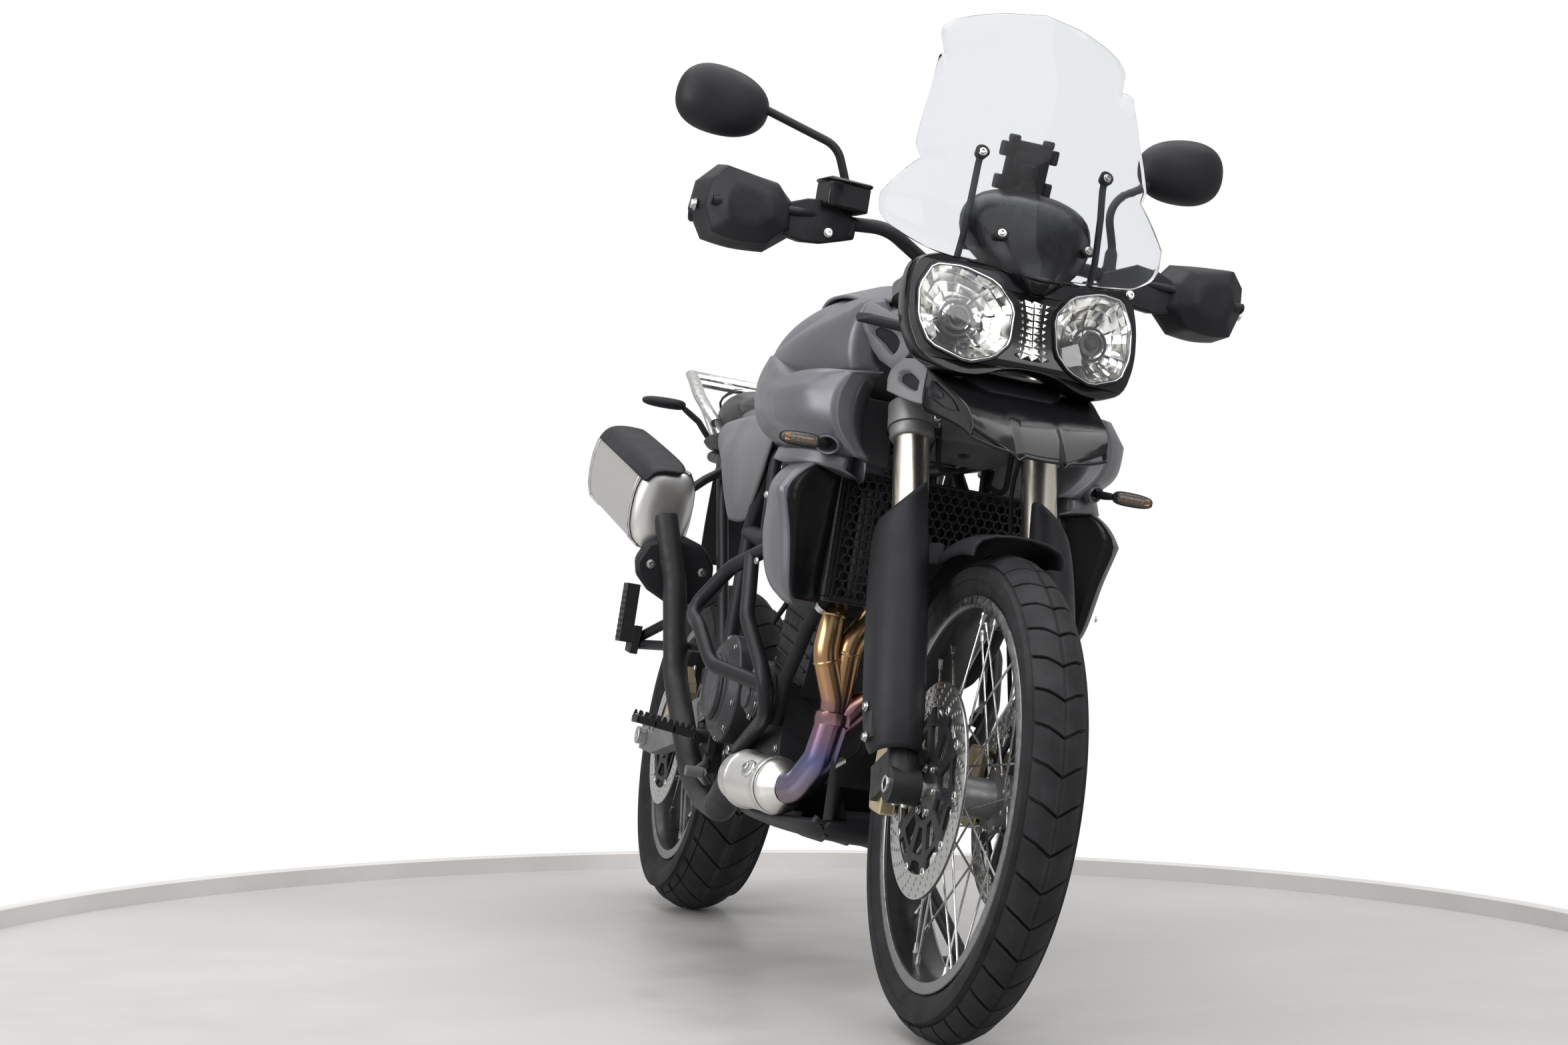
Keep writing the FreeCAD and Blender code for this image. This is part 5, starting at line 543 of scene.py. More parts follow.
def copies(name, template, places, body, finish, replaced=(), sharp=38):
    """Copies of a template shape. Each place is a point and the heading of the template's +Z,
    and can have a turn about that heading and a stretch after them."""
    mesh = bpy.data.meshes.new(name + "_template")
    mesh.from_pydata(template.points, [], template.faces)
    clean(mesh, 0.01)
    mesh.shade_smooth()
    mesh.set_sharp_from_angle(angle=math.radians(sharp))
    source = bpy.data.objects.new(name + "_template", mesh)
    bpy.context.collection.objects.link(source)
    spots = bpy.data.meshes.new(name + "_spots")
    spots.from_pydata([p[0] for p in places], [], [])
    turns = spots.attributes.new("turn", "FLOAT_VECTOR", "POINT")
    stretches = spots.attributes.new("stretch", "FLOAT_VECTOR", "POINT")
    for i, place in enumerate(places):
        _, heading, spin, stretch = place if len(place) == 4 else (*place, 0, ONE)
        if isinstance(heading, Euler):
            turn = heading
        else:
            turn = (heading.to_track_quat("Z", "Y").to_matrix() @ Matrix.Rotation(spin, 3, "Z")).to_euler()
        turns.data[i].vector = turn
        stretches.data[i].vector = stretch
    carrier = bpy.data.objects.new(name + "_carrier", spots)
    bpy.context.collection.objects.link(carrier)
    mod = carrier.modifiers.new("copies", "NODES")
    mod.node_group = COPIES
    mod[TEMPLATE_SOCKET] = source
    mod[FINISH_SOCKET] = finish.mat
    made = bpy.data.meshes.new_from_object(carrier.evaluated_get(bpy.context.evaluated_depsgraph_get()))
    made.name = name
    made.transform(LEANING @ Matrix.Scale(MM, 4))
    for old in (carrier, source):
        bpy.data.objects.remove(old)
    obj = bpy.data.objects.new(name, made)
    bpy.context.collection.objects.link(obj)
    return keep(obj, body, replaced)


def plate_shape(shape, loops, thick, centre, bevel=0.0, across=REARWARD):
    """Adds a flat plate with holes: filled outlines of (across, up), half its thickness each way."""
    curve = bpy.data.curves.new("plate", "CURVE")
    curve.dimensions = "2D"
    curve.fill_mode = "BOTH"
    curve.extrude = thick / 2 - bevel
    curve.bevel_depth = bevel
    curve.bevel_resolution = 1
    curve.offset = -bevel
    for loop in loops:
        spline = curve.splines.new("POLY")
        spline.points.add(len(loop) - 1)
        for point, (a, b) in zip(spline.points, loop):
            point.co = (a, b, 0, 1)
        spline.use_cyclic_u = True
    obj = bpy.data.objects.new("plate", curve)
    bpy.context.collection.objects.link(obj)
    mesh = bpy.data.meshes.new_from_object(obj.evaluated_get(bpy.context.evaluated_depsgraph_get()))
    bpy.data.objects.remove(obj)
    normal = across.cross(UPWARD)
    shape.add([centre + across * v.co.x + UPWARD * v.co.y + normal * v.co.z for v in mesh.vertices],
              [tuple(p.vertices) for p in mesh.polygons])
    bpy.data.meshes.remove(mesh)
    return shape


def circle(a, b, radius, steps):
    return [(a + radius * math.cos(turn), b + radius * math.sin(turn)) for turn in around(steps)]


def bolt_shape(radius, height):
    """Socket screw: washer, chamfered head and a round recess."""
    socket = radius * 0.5
    rim = radius * 1.35
    return Shape().turned(V(0, 0, 0), [
        (0, 0.01), (0, rim), (1.0, rim), (1.2, radius * 1.28), (1.2, radius), (height * 0.85, radius),
        (height, radius * 0.85), (height, socket), (height * 0.45, socket), (height * 0.45, 0.01)], 18, UPWARD)


def bolts(name, body, places, radius=6.0, height=6.0):
    copies(name, bolt_shape(radius, height), places, body, steel)


# Wheels
def tread_arm(shape, radius, crown, start, end, half):
    """One tread block along a line over the crown, from (across, along) to (across, along)."""
    deep = 7.0
    rows = []
    for t in (0, 1 / 3, 2 / 3, 1):
        across = start[0] + (end[0] - start[0]) * t
        along = start[1] + (end[1] - start[1]) * t
        tilt = across / crown
        row = []
        for shift, down in ((-half - 1.2, deep), (-half, 0.8), (-half + 0.8, 0.0), (half - 0.8, 0.0),
                            (half, 0.8), (half + 1.2, deep)):
            reach = crown - down
            r = radius - crown + reach * math.cos(tilt)
            turn = (along + shift) / radius
            row.append(V(reach * math.sin(tilt), r * math.sin(turn), r * math.cos(turn)))
        rows.append(row)
    shape.grid(rows, caps=True)


def make_tyre(name, axle, radius, width, crown, rim, arms, pitch_count, body):
    rim_radius, rim_width = rim
    edge = math.radians(50)
    groove = crown - 6.5
    height = radius - rim_radius
    half = []
    for k in range(9):
        a = edge * k / 8
        half.append((groove * math.sin(a), radius - crown + groove * math.cos(a)))
    bead = rim_width / 2 - 5.5
    side = width / 2
    half += [(side - 1.5, rim_radius + 0.62 * height), (side, rim_radius + 0.46 * height),
             (side - 0.8, rim_radius + 0.36 * height), (side - 2.4, rim_radius + 0.35 * height),
             (side - 4.0, rim_radius + 0.27 * height), (bead + 7, rim_radius + 0.17 * height),
             (bead + 6.4, rim_radius + 0.12 * height), (bead + 1, rim_radius + 2.5), (bead, rim_radius + 0.6)]
    profile = [(-a, r) for a, r in reversed(half[1:])] + half
    profile.append(profile[0])
    shape = Shape().turned(axle, profile, 128)
    piece(name + "_carcass", shape, body, tyre_rubber, [name], sharp=50)
    template = Shape()
    for start, end, half_length in arms:
        tread_arm(template, radius, crown, start, end, half_length)
    template.both()
    places = [(axle, Euler((turn, 0, 0))) for turn in around(pitch_count)]
    copies(name + "_tread", template, places, body, tyre_rubber, sharp=30)


make_tyre("front_tyre", FRONT_AXLE, 347, 90, 46, FRONT_RIM,
          (((0, 0), (20, 13), 23.5), ((20, 13), (42, 22), 23.5)), 42, "front_wheel")
make_tyre("rear_tyre", REAR_AXLE, 321, 150, 80, REAR_RIM,
          (((0, 0), (34, 26), 30), ((34, 26), (60, 40), 30), ((62, 41), (82, 50), 27)), 31, "rear_wheel")


RIM_DEPTH = 13
SPOKE_CIRCLE = 43  # radius of the spoke heads on the hub


def make_rim(end, axle, rim, body):
    rim_radius, rim_width = rim
    edge = rim_width / 2
    bed = rim_radius - RIM_DEPTH
    half = [(0, bed - 9.5), (edge * 0.3, bed - 9.5), (edge * 0.62, bed - 6), (edge * 0.88, bed - 3.5),
            (edge, bed + 2), (edge, rim_radius), (edge - 4.4, rim_radius), (edge - 4.6, bed + 3),
            (edge * 0.6, bed), (0, bed - 1)]
    profile = [(-a, r) for a, r in reversed(half)] + half[1:]
    piece(end + "_rim", Shape().turned(axle, profile + [profile[0]], 144), body, rim_black,
          [end + "_wire_wheel"], sharp=32)
    lip = Shape()
    outer = [(edge - 2.4, rim_radius + 1.6), (edge - 0.4, rim_radius + 0.8), (edge + 0.5, rim_radius - 1.4),
             (edge + 0.6, bed + 3), (edge + 0.2, bed - 1.5), (edge - 1.2, bed - 3.0), (edge - 3.6, bed - 1.5),
             (edge - 4.6, rim_radius - 1.0), (edge - 4.0, rim_radius + 1.0), (edge - 2.4, rim_radius + 1.6)]
    for side in (-1, 1):
        lip.turned(axle, [(side * a, r) for a, r in outer], 144)
    piece(end + "_rim_lips", lip, body, rim_silver, sharp=40)


def make_spokes(end, axle, rim, flange, pair_count, body):
    """Crossed pairs of spokes from both flanges of the hub, with their heads and nipples."""
    rim_radius, rim_width = rim
    nipple_circle = rim_radius - RIM_DEPTH - 7
    spoke_places = []
    nipple_places = []
    head_places = []
    for side in (-1, 1):
        for pair in range(pair_count):
            base = 2 * math.pi * (pair + 0.25 * side) / pair_count
            for lead in (-1, 1):
                foot = base + lead * math.pi / pair_count / 2
                tip = foot + lead * math.radians(46)
                x0 = side * (flange + lead * 3.0)
                x1 = side * rim_width * (0.16 + 0.04 * lead)
                a = axle + V(x0, SPOKE_CIRCLE * math.cos(foot), SPOKE_CIRCLE * math.sin(foot))
                b = axle + V(x1, nipple_circle * math.cos(tip), nipple_circle * math.sin(tip))
                way = b - a
                spoke_places.append((a, way, 0, V(1, 1, way.length)))
                nipple_places.append((b, -way))
                head_places.append((a, V(side * lead, 0, 0)))
    copies(end + "_spokes", Shape().tube([V(0, 0, 0), UPWARD], 1.65, 8), spoke_places, body, spoke_steel)
    nipple = Shape().turned(V(0, 0, 0), [(0, 0.01), (0, 4.2), (4, 4.2), (6, 3.2), (17, 2.9), (17, 0.01)], 8,
                            UPWARD)
    copies(end + "_nipples", nipple, nipple_places, body, steel, sharp=25)
    head = Shape().turned(V(0, 0, 0), [(-1, 0.01), (-1, 2.6), (1.6, 3.6), (3.0, 2.6), (3.4, 0.01)], 10,
                          UPWARD)
    copies(end + "_spoke_heads", head, head_places, body, steel)


def make_hub(end, axle, flange, left, right, bore, body):
    side = [(flange - 9, 30), (flange - 5, 36), (flange - 4, 48), (flange + 4, 48), (flange + 6, 40),
            (flange + 9, 38)]
    outline = [(-right, bore), (-right, 36), (-right + 3, 39)] + [(-a, r) for a, r in reversed(side)]
    outline += [(0, 28.5)] + side + [(left - 3, 39), (left, 36), (left, bore), (-right, bore)]
    piece(end + "_hub_shell", Shape().turned(axle, outline, 64), body, hub_grey, sharp=30)


for end, axle, rim, flange, left, right, bore, pair_count in (
        ("front", FRONT_AXLE, FRONT_RIM, 38, 60.3, 60.3, 12.8, 9),
        ("rear", REAR_AXLE, REAR_RIM, 48, 88, 86.5, 10.3, 8)):
    make_rim(end, axle, rim, end + "_wheel")
    make_hub(end, axle, flange, left, right, bore, end + "_wheel")
    make_spokes(end, axle, rim, flange, pair_count, end + "_wheel")


def drilled_ring(outer, inner, rows, count, hole):
    """Outlines of a brake ring: its edges and rows of holes, each row turned on a little from the last."""
    loops = [circle(0, 0, outer, 96), circle(0, 0, inner, 96)]
    for n, share in enumerate(rows):
        reach = inner + (outer - inner) * share
        for k in range(count):
            a = 2 * math.pi * (k + n / len(rows)) / count
            loops.append(circle(reach * math.cos(a), reach * math.sin(a), hole, 10))
    return loops


def carrier_loops(outer, inner, arms, web):
    """Outline of a disc carrier with one arm to each bobbin, its bore and its windows."""
    outline = []
    step = 2 * math.pi / arms
    for a in around(arms):
        for turn, reach in ((-0.5, outer * 0.83), (-0.24, outer * 0.86), (-0.17, outer), (0.17, outer),
                            (0.24, outer * 0.86)):
            outline.append((reach * math.cos(a + turn * step), reach * math.sin(a + turn * step)))
    loops = [outline, circle(0, 0, inner, 48)]
    half = math.pi / arms - web
    near = inner + 12
    far = outer * 0.76
    for k in range(arms):
        a = 2 * math.pi * (k + 0.5) / arms
        window = [(near * math.cos(a - half * 0.7), near * math.sin(a - half * 0.7))]
        window += [(far * math.cos(a + half * t), far * math.sin(a + half * t)) for t in (-1, -0.5, 0, 0.5, 1)]
        window.append((near * math.cos(a + half * 0.7), near * math.sin(a + half * 0.7)))
        loops.append(window)
    return loops


def make_disc(name, axle, offsets, outer, inner, bore, arms, body, replaced, rows, count):
    ring = Shape()
    spider = Shape()
    bobbins = []
    for x in offsets:
        centre = axle + SIDEWAYS * x
        plate_shape(ring, drilled_ring(outer, inner, rows, count, 3.1), 5.0, centre, 0.4)
        plate_shape(spider, carrier_loops(inner + 1, bore, arms, 0.1), 5.4, centre, 0.5)
        for a in around(arms):
            bobbins.append((centre + V(0, math.cos(a), math.sin(a)) * inner, V(math.copysign(1, x), 0, 0)))
    piece(name + "_ring", ring, body, disc_steel, replaced, sharp=30)
    piece(name + "_carrier", spider, body, frame_black, sharp=30)
    bobbin = Shape().turned(V(0, 0, 0), [(-3.4, 0.01), (-3.4, 7), (-2.7, 7.6), (2.9, 7.6), (3.5, 7),
                                        (3.5, 4.2), (2.2, 3.6), (2.2, 0.01)], 18, UPWARD)
    copies(name + "_bobbins", bobbin, bobbins, body, steel, sharp=30)


make_disc("front_disc", FRONT_AXLE, (-62.8, 62.8), 154, 119, 42, 10, "front_wheel", ["front_discs"],
          (0.16, 0.39, 0.62, 0.85), 30)
make_disc("rear_disc", REAR_AXLE, (-89.0,), 127.5, 96, 38, 6, "rear_wheel", ["rear_disc"], (0.2, 0.5, 0.8), 30)
for body, axle, slot, rounds in (("front_wheel", FRONT_AXLE, "disc_steel", ((65.6, 34, 6), (-65.6, 34, 6))),
                                 ("rear_wheel", REAR_AXLE, "steel", ((-91.8, 30, 5), (96.2, 34, 5)))):
    bolts(body + "_bolts", body, [(axle + V(x, reach * math.cos(a), reach * math.sin(a)), V(x, 0, 0), 0, ONE * 0.8)
                                  for x, reach, count in rounds for a in around(count)])


# Chain
def chain_path():
    """Pitch line of the chain round the engine's sprocket and the rear one."""
    small, large = 40.4, 126.3
    near = V(CHAIN_SIDE, 104, 396)
    far = REAR_AXLE + SIDEWAYS * CHAIN_SIDE
    span = far - near
    heading = math.atan2(span.z, span.y)
    ahead = math.pi / 2 + math.asin((large - small) / span.length)
    points = []
    for centre, radius, start, stop, steps in (
            (near, small, heading + ahead, heading + 2 * math.pi - ahead, 24),
            (far, large, heading - ahead, heading + ahead, 60)):
        for k in range(steps + 1):
            a = start + (stop - start) * k / steps
            points.append(centre + V(0, math.cos(a), math.sin(a)) * radius)
    return points + [points[0]]


def evenly(points, count):
    """Places spread evenly along a route."""
    lengths = [0.0]
    for a, b in zip(points, points[1:]):
        lengths.append(lengths[-1] + (b - a).length)
    found = []
    part = 0
    for k in range(count):
        want = lengths[-1] * k / count
        while lengths[part + 1] < want:
            part += 1
        t = (want - lengths[part]) / (lengths[part + 1] - lengths[part])
        found.append(points[part].lerp(points[part + 1], t))
    return found


def link_outline():
    """Side plate of a link: two round ends and a waist, as (along, up) from its first pin."""
    half_turn = [math.pi * k / 6 for k in range(7)]
    outline = [(6.6 * math.cos(math.pi / 2 + a), 6.6 * math.sin(math.pi / 2 + a)) for a in half_turn]
    outline.append((7.9, -4.4))
    outline += [(CHAIN_PITCH + 6.6 * math.cos(a - math.pi / 2), 6.6 * math.sin(a - math.pi / 2)) for a in half_turn]
    outline.append((7.9, 4.4))
    return outline


def make_chain():
    spots = evenly(chain_path(), 110)
    for n, (name, plates, pin_half, pin_radius, pin_sides) in enumerate((
            ("outer", 8.4, 9.9, 2.6, 8), ("inner", 6.2, 5.2, 5.0, 10))):
        link = Shape()
        for side in (-1, 1):
            link.prism([V(side * plates - 0.9, up, along) for along, up in link_outline()], V(1.8, 0, 0))
        for z in (0, CHAIN_PITCH):
            link.rod(V(-pin_half, 0, z), V(pin_half, 0, z), pin_radius, pin_sides)
        places = []
        for k in range(n, len(spots), 2):
            way = spots[(k + 1) % len(spots)] - spots[k]
            turn = Euler((math.atan2(-way.y, way.z), 0, 0))
            places.append((spots[k], turn, 0, V(1, 1, way.length / CHAIN_PITCH)))
        copies(f"chain_{name}_links", link, places, "frame", chain_steel, () if n else ["chain"],
               sharp=30)


make_chain()


# CAD nodes kept in shape, with their edges rounded by so many millimetres
def refined(node, body, finish, edge):
    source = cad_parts[node]
    mesh = source.data.copy()
    mesh.name = node + "_finished"
    work = bmesh.new()
    work.from_mesh(mesh)
    bmesh.ops.remove_doubles(work, verts=work.verts, dist=0.00003)
    bmesh.ops.dissolve_limit(work, angle_limit=math.radians(1.2), verts=work.verts, edges=work.edges)
    work.to_mesh(mesh)
    work.free()
    for layer in list(mesh.attributes):
        if layer.name in ("custom_normal", "sharp_face", "sharp_edge"):
            mesh.attributes.remove(layer)
    mesh.materials.clear()
    mesh.materials.append(finish.mat)
    mesh.shade_smooth()
    mesh.set_sharp_from_angle(angle=math.radians(28))
    obj = bpy.data.objects.new(mesh.name, mesh)
    bpy.context.collection.objects.link(obj)
    if edge:
        mod = obj.modifiers.new("edges", "BEVEL")
        mod.width = edge * MM
        mod.segments = 2
        mod.limit_method = "ANGLE"
        mod.angle_limit = math.radians(30)
        mod.use_clamp_overlap = True
    return keep(obj, body, [node])


REFINED = (
    ("fork_yokes", "fork", cast_grey, "cast_grey", 2.0),
    ("fork_sliders", "fork", cast_black, "cast_black", 2.0),
    ("front_axle", "fork", steel, "steel", 0.8),
    ("front_calipers", "fork", caliper_gold, "caliper_gold", 3.0),
    ("main_frame", "frame", frame_black, "frame_black", 0.0),
    ("rear_subframe", "frame", frame_black, "frame_black", 0.0),
    ("engine", "frame", engine_black, "engine_black", 5.0),
    ("engine_covers", "frame", engine_grey, "engine_grey", 2.5),
    ("swingarm", "frame", cast_grey, "cast_grey", 4.0),
    ("rear_axle", "frame", steel, "steel", 1.0),
    ("rear_caliper", "frame", caliper_gold, "caliper_gold", 2.0),
    ("foot_controls", "frame", cast_grey, "cast_grey", 0.8),
    ("side_stand", "side_stand", frame_black, "frame_black", 1.0),
    ("stand_bracket", "frame", frame_black, "frame_black", 1.0),
    ("pillion_pegs", "frame", cast_black, "cast_black", 2.0),
    ("fairing_stay", "frame", frame_black, "frame_black", 0.8),
    ("fork_tubes", "fork", fork_metal, "fork_gold", 1.5),
    ("rear_sprocket", "rear_wheel", steel, "steel", 0.5),
)
for node, body, finish, slot, edge in REFINED:
    refined(node, body, finish, edge)


# Fork guards and mudguard
def make_guard():
    section = ((-24, 16, 2.2), (-22, 34, 2.4), (-10, 46, 2.0), (8, 51, 1.3), (26, 47, 0.6), (42, 36, 0.0),
               (53, 18, -0.3), (57, -4, -0.5), (55, -26, -0.7))
    rows = []
    for up, wide, front, rise in ((44, 0.8, 0.7, 0), (70, 0.95, 0.9, 0), (120, 1.0, 1.0, 0), (240, 1.0, 1.02, 0),
                                  (330, 0.98, 1.0, 4), (392, 0.92, 0.9, 12), (418, 0.84, 0.8, 22)):
        rows.append([fork_spot(FORK_SIDE + x * wide, f * front, up + rise * lift) for x, f, lift in section])
    piece("fork_guard_blades", Shape().grid(rows).both(), "fork", plastic_black, ["fork_guards"],
          wall=4, smooth=2)
    bolts("fork_guard_bolts", "fork", [(fork_spot(158 * side, -2, up), V(side, 0, 0))
                                       for side in (-1, 1) for up in (66, 112)], 5.5, 5)


make_guard()


def make_mudguard():
    rear = math.radians(98)
    rows = []
    for k in range(15):
        a = math.radians(98 - 62 * k / 14)
        taper = 1 - 0.18 * max(0, (k - 9) / 5) ** 2
        rows.append([FRONT_AXLE + V(x * taper, r * math.cos(a), r * math.sin(a)) for x, r in (
            (-68, 336), (-67, 350), (-60, 362), (-40, 370), (-14, 373.5), (14, 373.5), (40, 370), (60, 362),
            (67, 350), (68, 336))])
    piece("front_mudguard_blade", Shape().grid(rows), "fork", plastic_black, ["front_mudguard"],
          wall=3.5, smooth=1)
    rings = [[fork_spot(x, -30 * grow, 330), fork_spot(x, 34 * grow, 336), fork_spot(x, 34 * grow, 372),
              fork_spot(x, -30 * grow, 364)] for x, grow in ((58, 1.0), (72, 0.9), (84, 0.8))]
    arms = Shape().grid(rings, ring=True, caps=True).both()
    piece("mudguard_arms", arms, "fork", plastic_black, bevel=3)
    lip = Shape().tube([FRONT_AXLE + V(x, r * math.cos(rear), r * math.sin(rear)) for x, r in (
        (-67, 337), (-66, 350), (-59, 361), (-40, 369), (-14, 372.5), (14, 372.5), (40, 369), (59, 361), (66, 350),
        (67, 337))], 2.6, 8)
    piece("mudguard_lip", lip, "fork", plastic_black)


make_mudguard()


# Yoke, axle and caliper bolts, and the collars round the fork tubes
def make_fork_fixings():
    places = []
    collars = Shape()
    for side in (-1, 1):
        outward = V(side, 0, 0)
        for up in (576, 594):
            places.append((fork_spot(side * 74, 30, up), FORK_FORWARD))
        places.append((fork_spot(side * FORK_SIDE, 0, 823), FORK_UP, 0, ONE * 2.6))
        for shift in (-22, 22):
            places.append((FRONT_AXLE + V(side * FORK_SIDE, shift, -24), -UPWARD, 0, ONE * 0.8))
            places.append((fork_spot(side * 88, -88 + shift, 62 + shift), outward, 0, ONE * 1.1))
        for forward in (-5, -31):
            places.append((fork_spot(side * 35, forward, 874), FORK_UP))
        collars.turned(fork_spot(side * FORK_SIDE, 0, 296),
                       [(-12, 22.6), (-12, 26), (-4, 29.5), (14, 29.5), (17, 27.2), (17, 22.6)], 40, FORK_UP)
        collars.turned(fork_spot(side * FORK_SIDE, 0, 547), [(0, 27.1), (0, 31), (5, 34), (18, 34), (18, 27.1)],
                       40, FORK_UP)
    bolts("fork_bolts", "fork", places)
    piece("fork_collars", collars, "fork", cast_grey)


make_fork_fixings()


def make_brake_hoses():
    """Two free hoses, each with a fitting at both ends."""
    route = [fork_spot(70, 20, 566), fork_spot(72, -36, 520), fork_spot(72, -44, 300), fork_spot(88, -72, 170),
             fork_spot(90, -96, 128)]
    fittings = Shape()
    for at, way in ((route[0], FORK_UP), (route[-1], (route[-2] - route[-1]).normalized())):
        fittings.tube([at - way * 2, at + way * 14, at + way * 16], [5.2, 5.2, 3.8], 12)
    piece("brake_hose_fittings", fittings.both(), "fork", steel)
    for side, label in ((1, "left"), (-1, "right")):
        line = eased(sided(side, route), 60)
        hose = piece("brake_hose_" + label, Shape().tube(line, 3.6, 12), "fork", rubber,
                     ["brake_hoses"] if side > 0 else ())
        line = [LEANING @ (p * MM) for p in line]


make_brake_hoses()

# Handlebar: points of its left half, from the middle to the end, and the run of its grip
BAR = [fork_spot(0, -18, 862) + V(x, y, z) * 430 for x, y, z in (
    (0, 0, 0), (0.16, 0, 0), (0.36, -0.02, 0.11), (0.56, 0.03, 0.1), (1.0, 0.15, 0.06))]
BEND, BAR_END = BAR[3], BAR[4]
ALONG_BAR = (BAR_END - BEND).normalized()
PERCH = BEND + ALONG_BAR * 20


def make_handlebar():
    route = eased(sided(-1, reversed(BAR[1:])) + BAR, 70)
    piece("handlebar_tube", Shape().tube(route, 11, 24), "fork", frame_black, ["handlebar"])
    ridges = []
    for k in range(25):
        s = 66 + 116 * k / 24
        ridges += [(s, 16.2), (s + 2.6, 16.2), (s + 2.9, 15.2), (s + 4.3, 15.2)]
    grips = Shape().turned(BEND, [(60, 11), (60, 20), (64, 20), (65, 16.5)] + ridges + [
        (183, 17.5), (186, 17.5), (186, 11)], 28, ALONG_BAR)
    piece("grips", grips.both(), "fork", rubber, ["bar_controls"])
    controls = Shape()
    for start, end, radius in ((8, 34, 17.5), (34, 58, 22)):
        controls.turned(BEND, [(start, 11), (start, radius - 2), (start + 2, radius), (end - 2, radius),
                               (end, radius - 2), (end, 11)], 24, ALONG_BAR)
    controls.rod(PERCH, PERCH + V(0, -34, 2), 11, 16, 2)
    blade = eased([PERCH + V(4, -33, 1), PERCH + V(40, -48, 0), PERCH + V(100, -52, -4), PERCH + V(176, -44, -8)],
                  60)
    controls.tube(blade, [7] + [6.5] * 7 + [6] * 9 + [7.5], 12)
    controls.rod(PERCH + V(176, -44, -8), PERCH + V(180, -43.5, -8.2), 8.5, 14, 1.5)
    piece("levers_and_switches", controls.both(), "fork", frame_black, bevel=0.8)


def make_reservoir():
    at = BEND + V(-6, -30, 34)
    at.x = -at.x
    axes = (V(0.98, 0.2, 0), V(-0.2, 0.98, 0), UPWARD)
    shape = Shape()
    soft_box(shape, at, (35, 25, 20), axes)
    soft_box(shape, at + V(0, 0, 22), (37, 27, 3.5), axes)
    shape.rod(at + V(0, 10, -14), V(-PERCH.x - 2, PERCH.y - 14, PERCH.z + 8), 8, 14)
    piece("brake_reservoir", shape, "fork", gloss_black, bevel=4)
    boxes = Shape()
    soft_box(boxes, V(-232, -430, 1166), (26, 12, 14))
    soft_box(boxes, V(232, -430, 1166), (22, 12, 13))
    piece("switch_boxes", boxes, "fork", plastic_black, bevel=4)


make_handlebar()
make_reservoir()


# Handguards: folded shields with a short arm to the lever perch
def make_handguard():
    back = sided(1, ((420, -372, 1236), (380, -384, 1231), (329, -398, 1222), (300, -412, 1190), (296, -416, 1144),
                     (337, -404, 1110), (387, -388, 1107), (430, -374, 1116), (455, -368, 1160), (450, -368, 1204)))
    front = sided(1, ((418, -452, 1222), (381, -462, 1214), (340, -468, 1204), (323, -470, 1180),
                      (321, -470, 1144), (346, -464, 1116), (396, -456, 1110), (428, -448, 1119),
                      (444, -440, 1160), (439, -444, 1200)))
    centre = V(384, -466, 1164)
    rows = [back, [a.lerp(b, 0.7) + V(0, -6, 0) for a, b in zip(back, front)], front,
            [p.lerp(centre, 0.12) + V(0, -5, 0) for p in front],
            [V(p.x, -478 + abs(p.z - 1164) * 0.12 + (p.x - 384) * 0.17, p.z).lerp(centre + V(0, -12, 0), 0.45)
             for p in front]]
    shape = Shape().grid(rows, ring=True).close(len(front))
    piece("handguard_shells", shape.both(), "fork", plastic_black, ["handguards"], wall=4,
          smooth=2, crease=24)
    rings = []
    for x, near, far, low, high in ((326, -452, -420, 1136, 1184), (290, -455, -424, 1130, 1198),
                                    (256, -450, -420, 1134, 1203), (226, -444, -418, 1144, 1190),
                                    (204, -436, -416, 1152, 1180)):
        rings.append([V(x, near, low), V(x, near - 3, (low + high) / 2), V(x, near, high), V(x, far, high - 3),
                      V(x, far, low + 3)])
    arms = Shape().grid(rings, ring=True, caps=True)
    piece("handguard_arms", arms.both(), "fork", plastic_black, bevel=3)
    ends = Shape().rod(BAR_END + ALONG_BAR * 0.4, BAR_END + ALONG_BAR * 22, 15, 24, 3)
    piece("bar_ends", ends.both(), "fork", frame_black)
    places = []
    for side in (-1, 1):
        places.append((V(side * 250, -452, 1152), -REARWARD, 0, ONE * 0.9))
        places.append((V(side * 452, -405, 1162), V(side, 0, 0), 0, ONE * 1.2))
    bolts("handguard_bolts", "fork", places)


make_handguard()


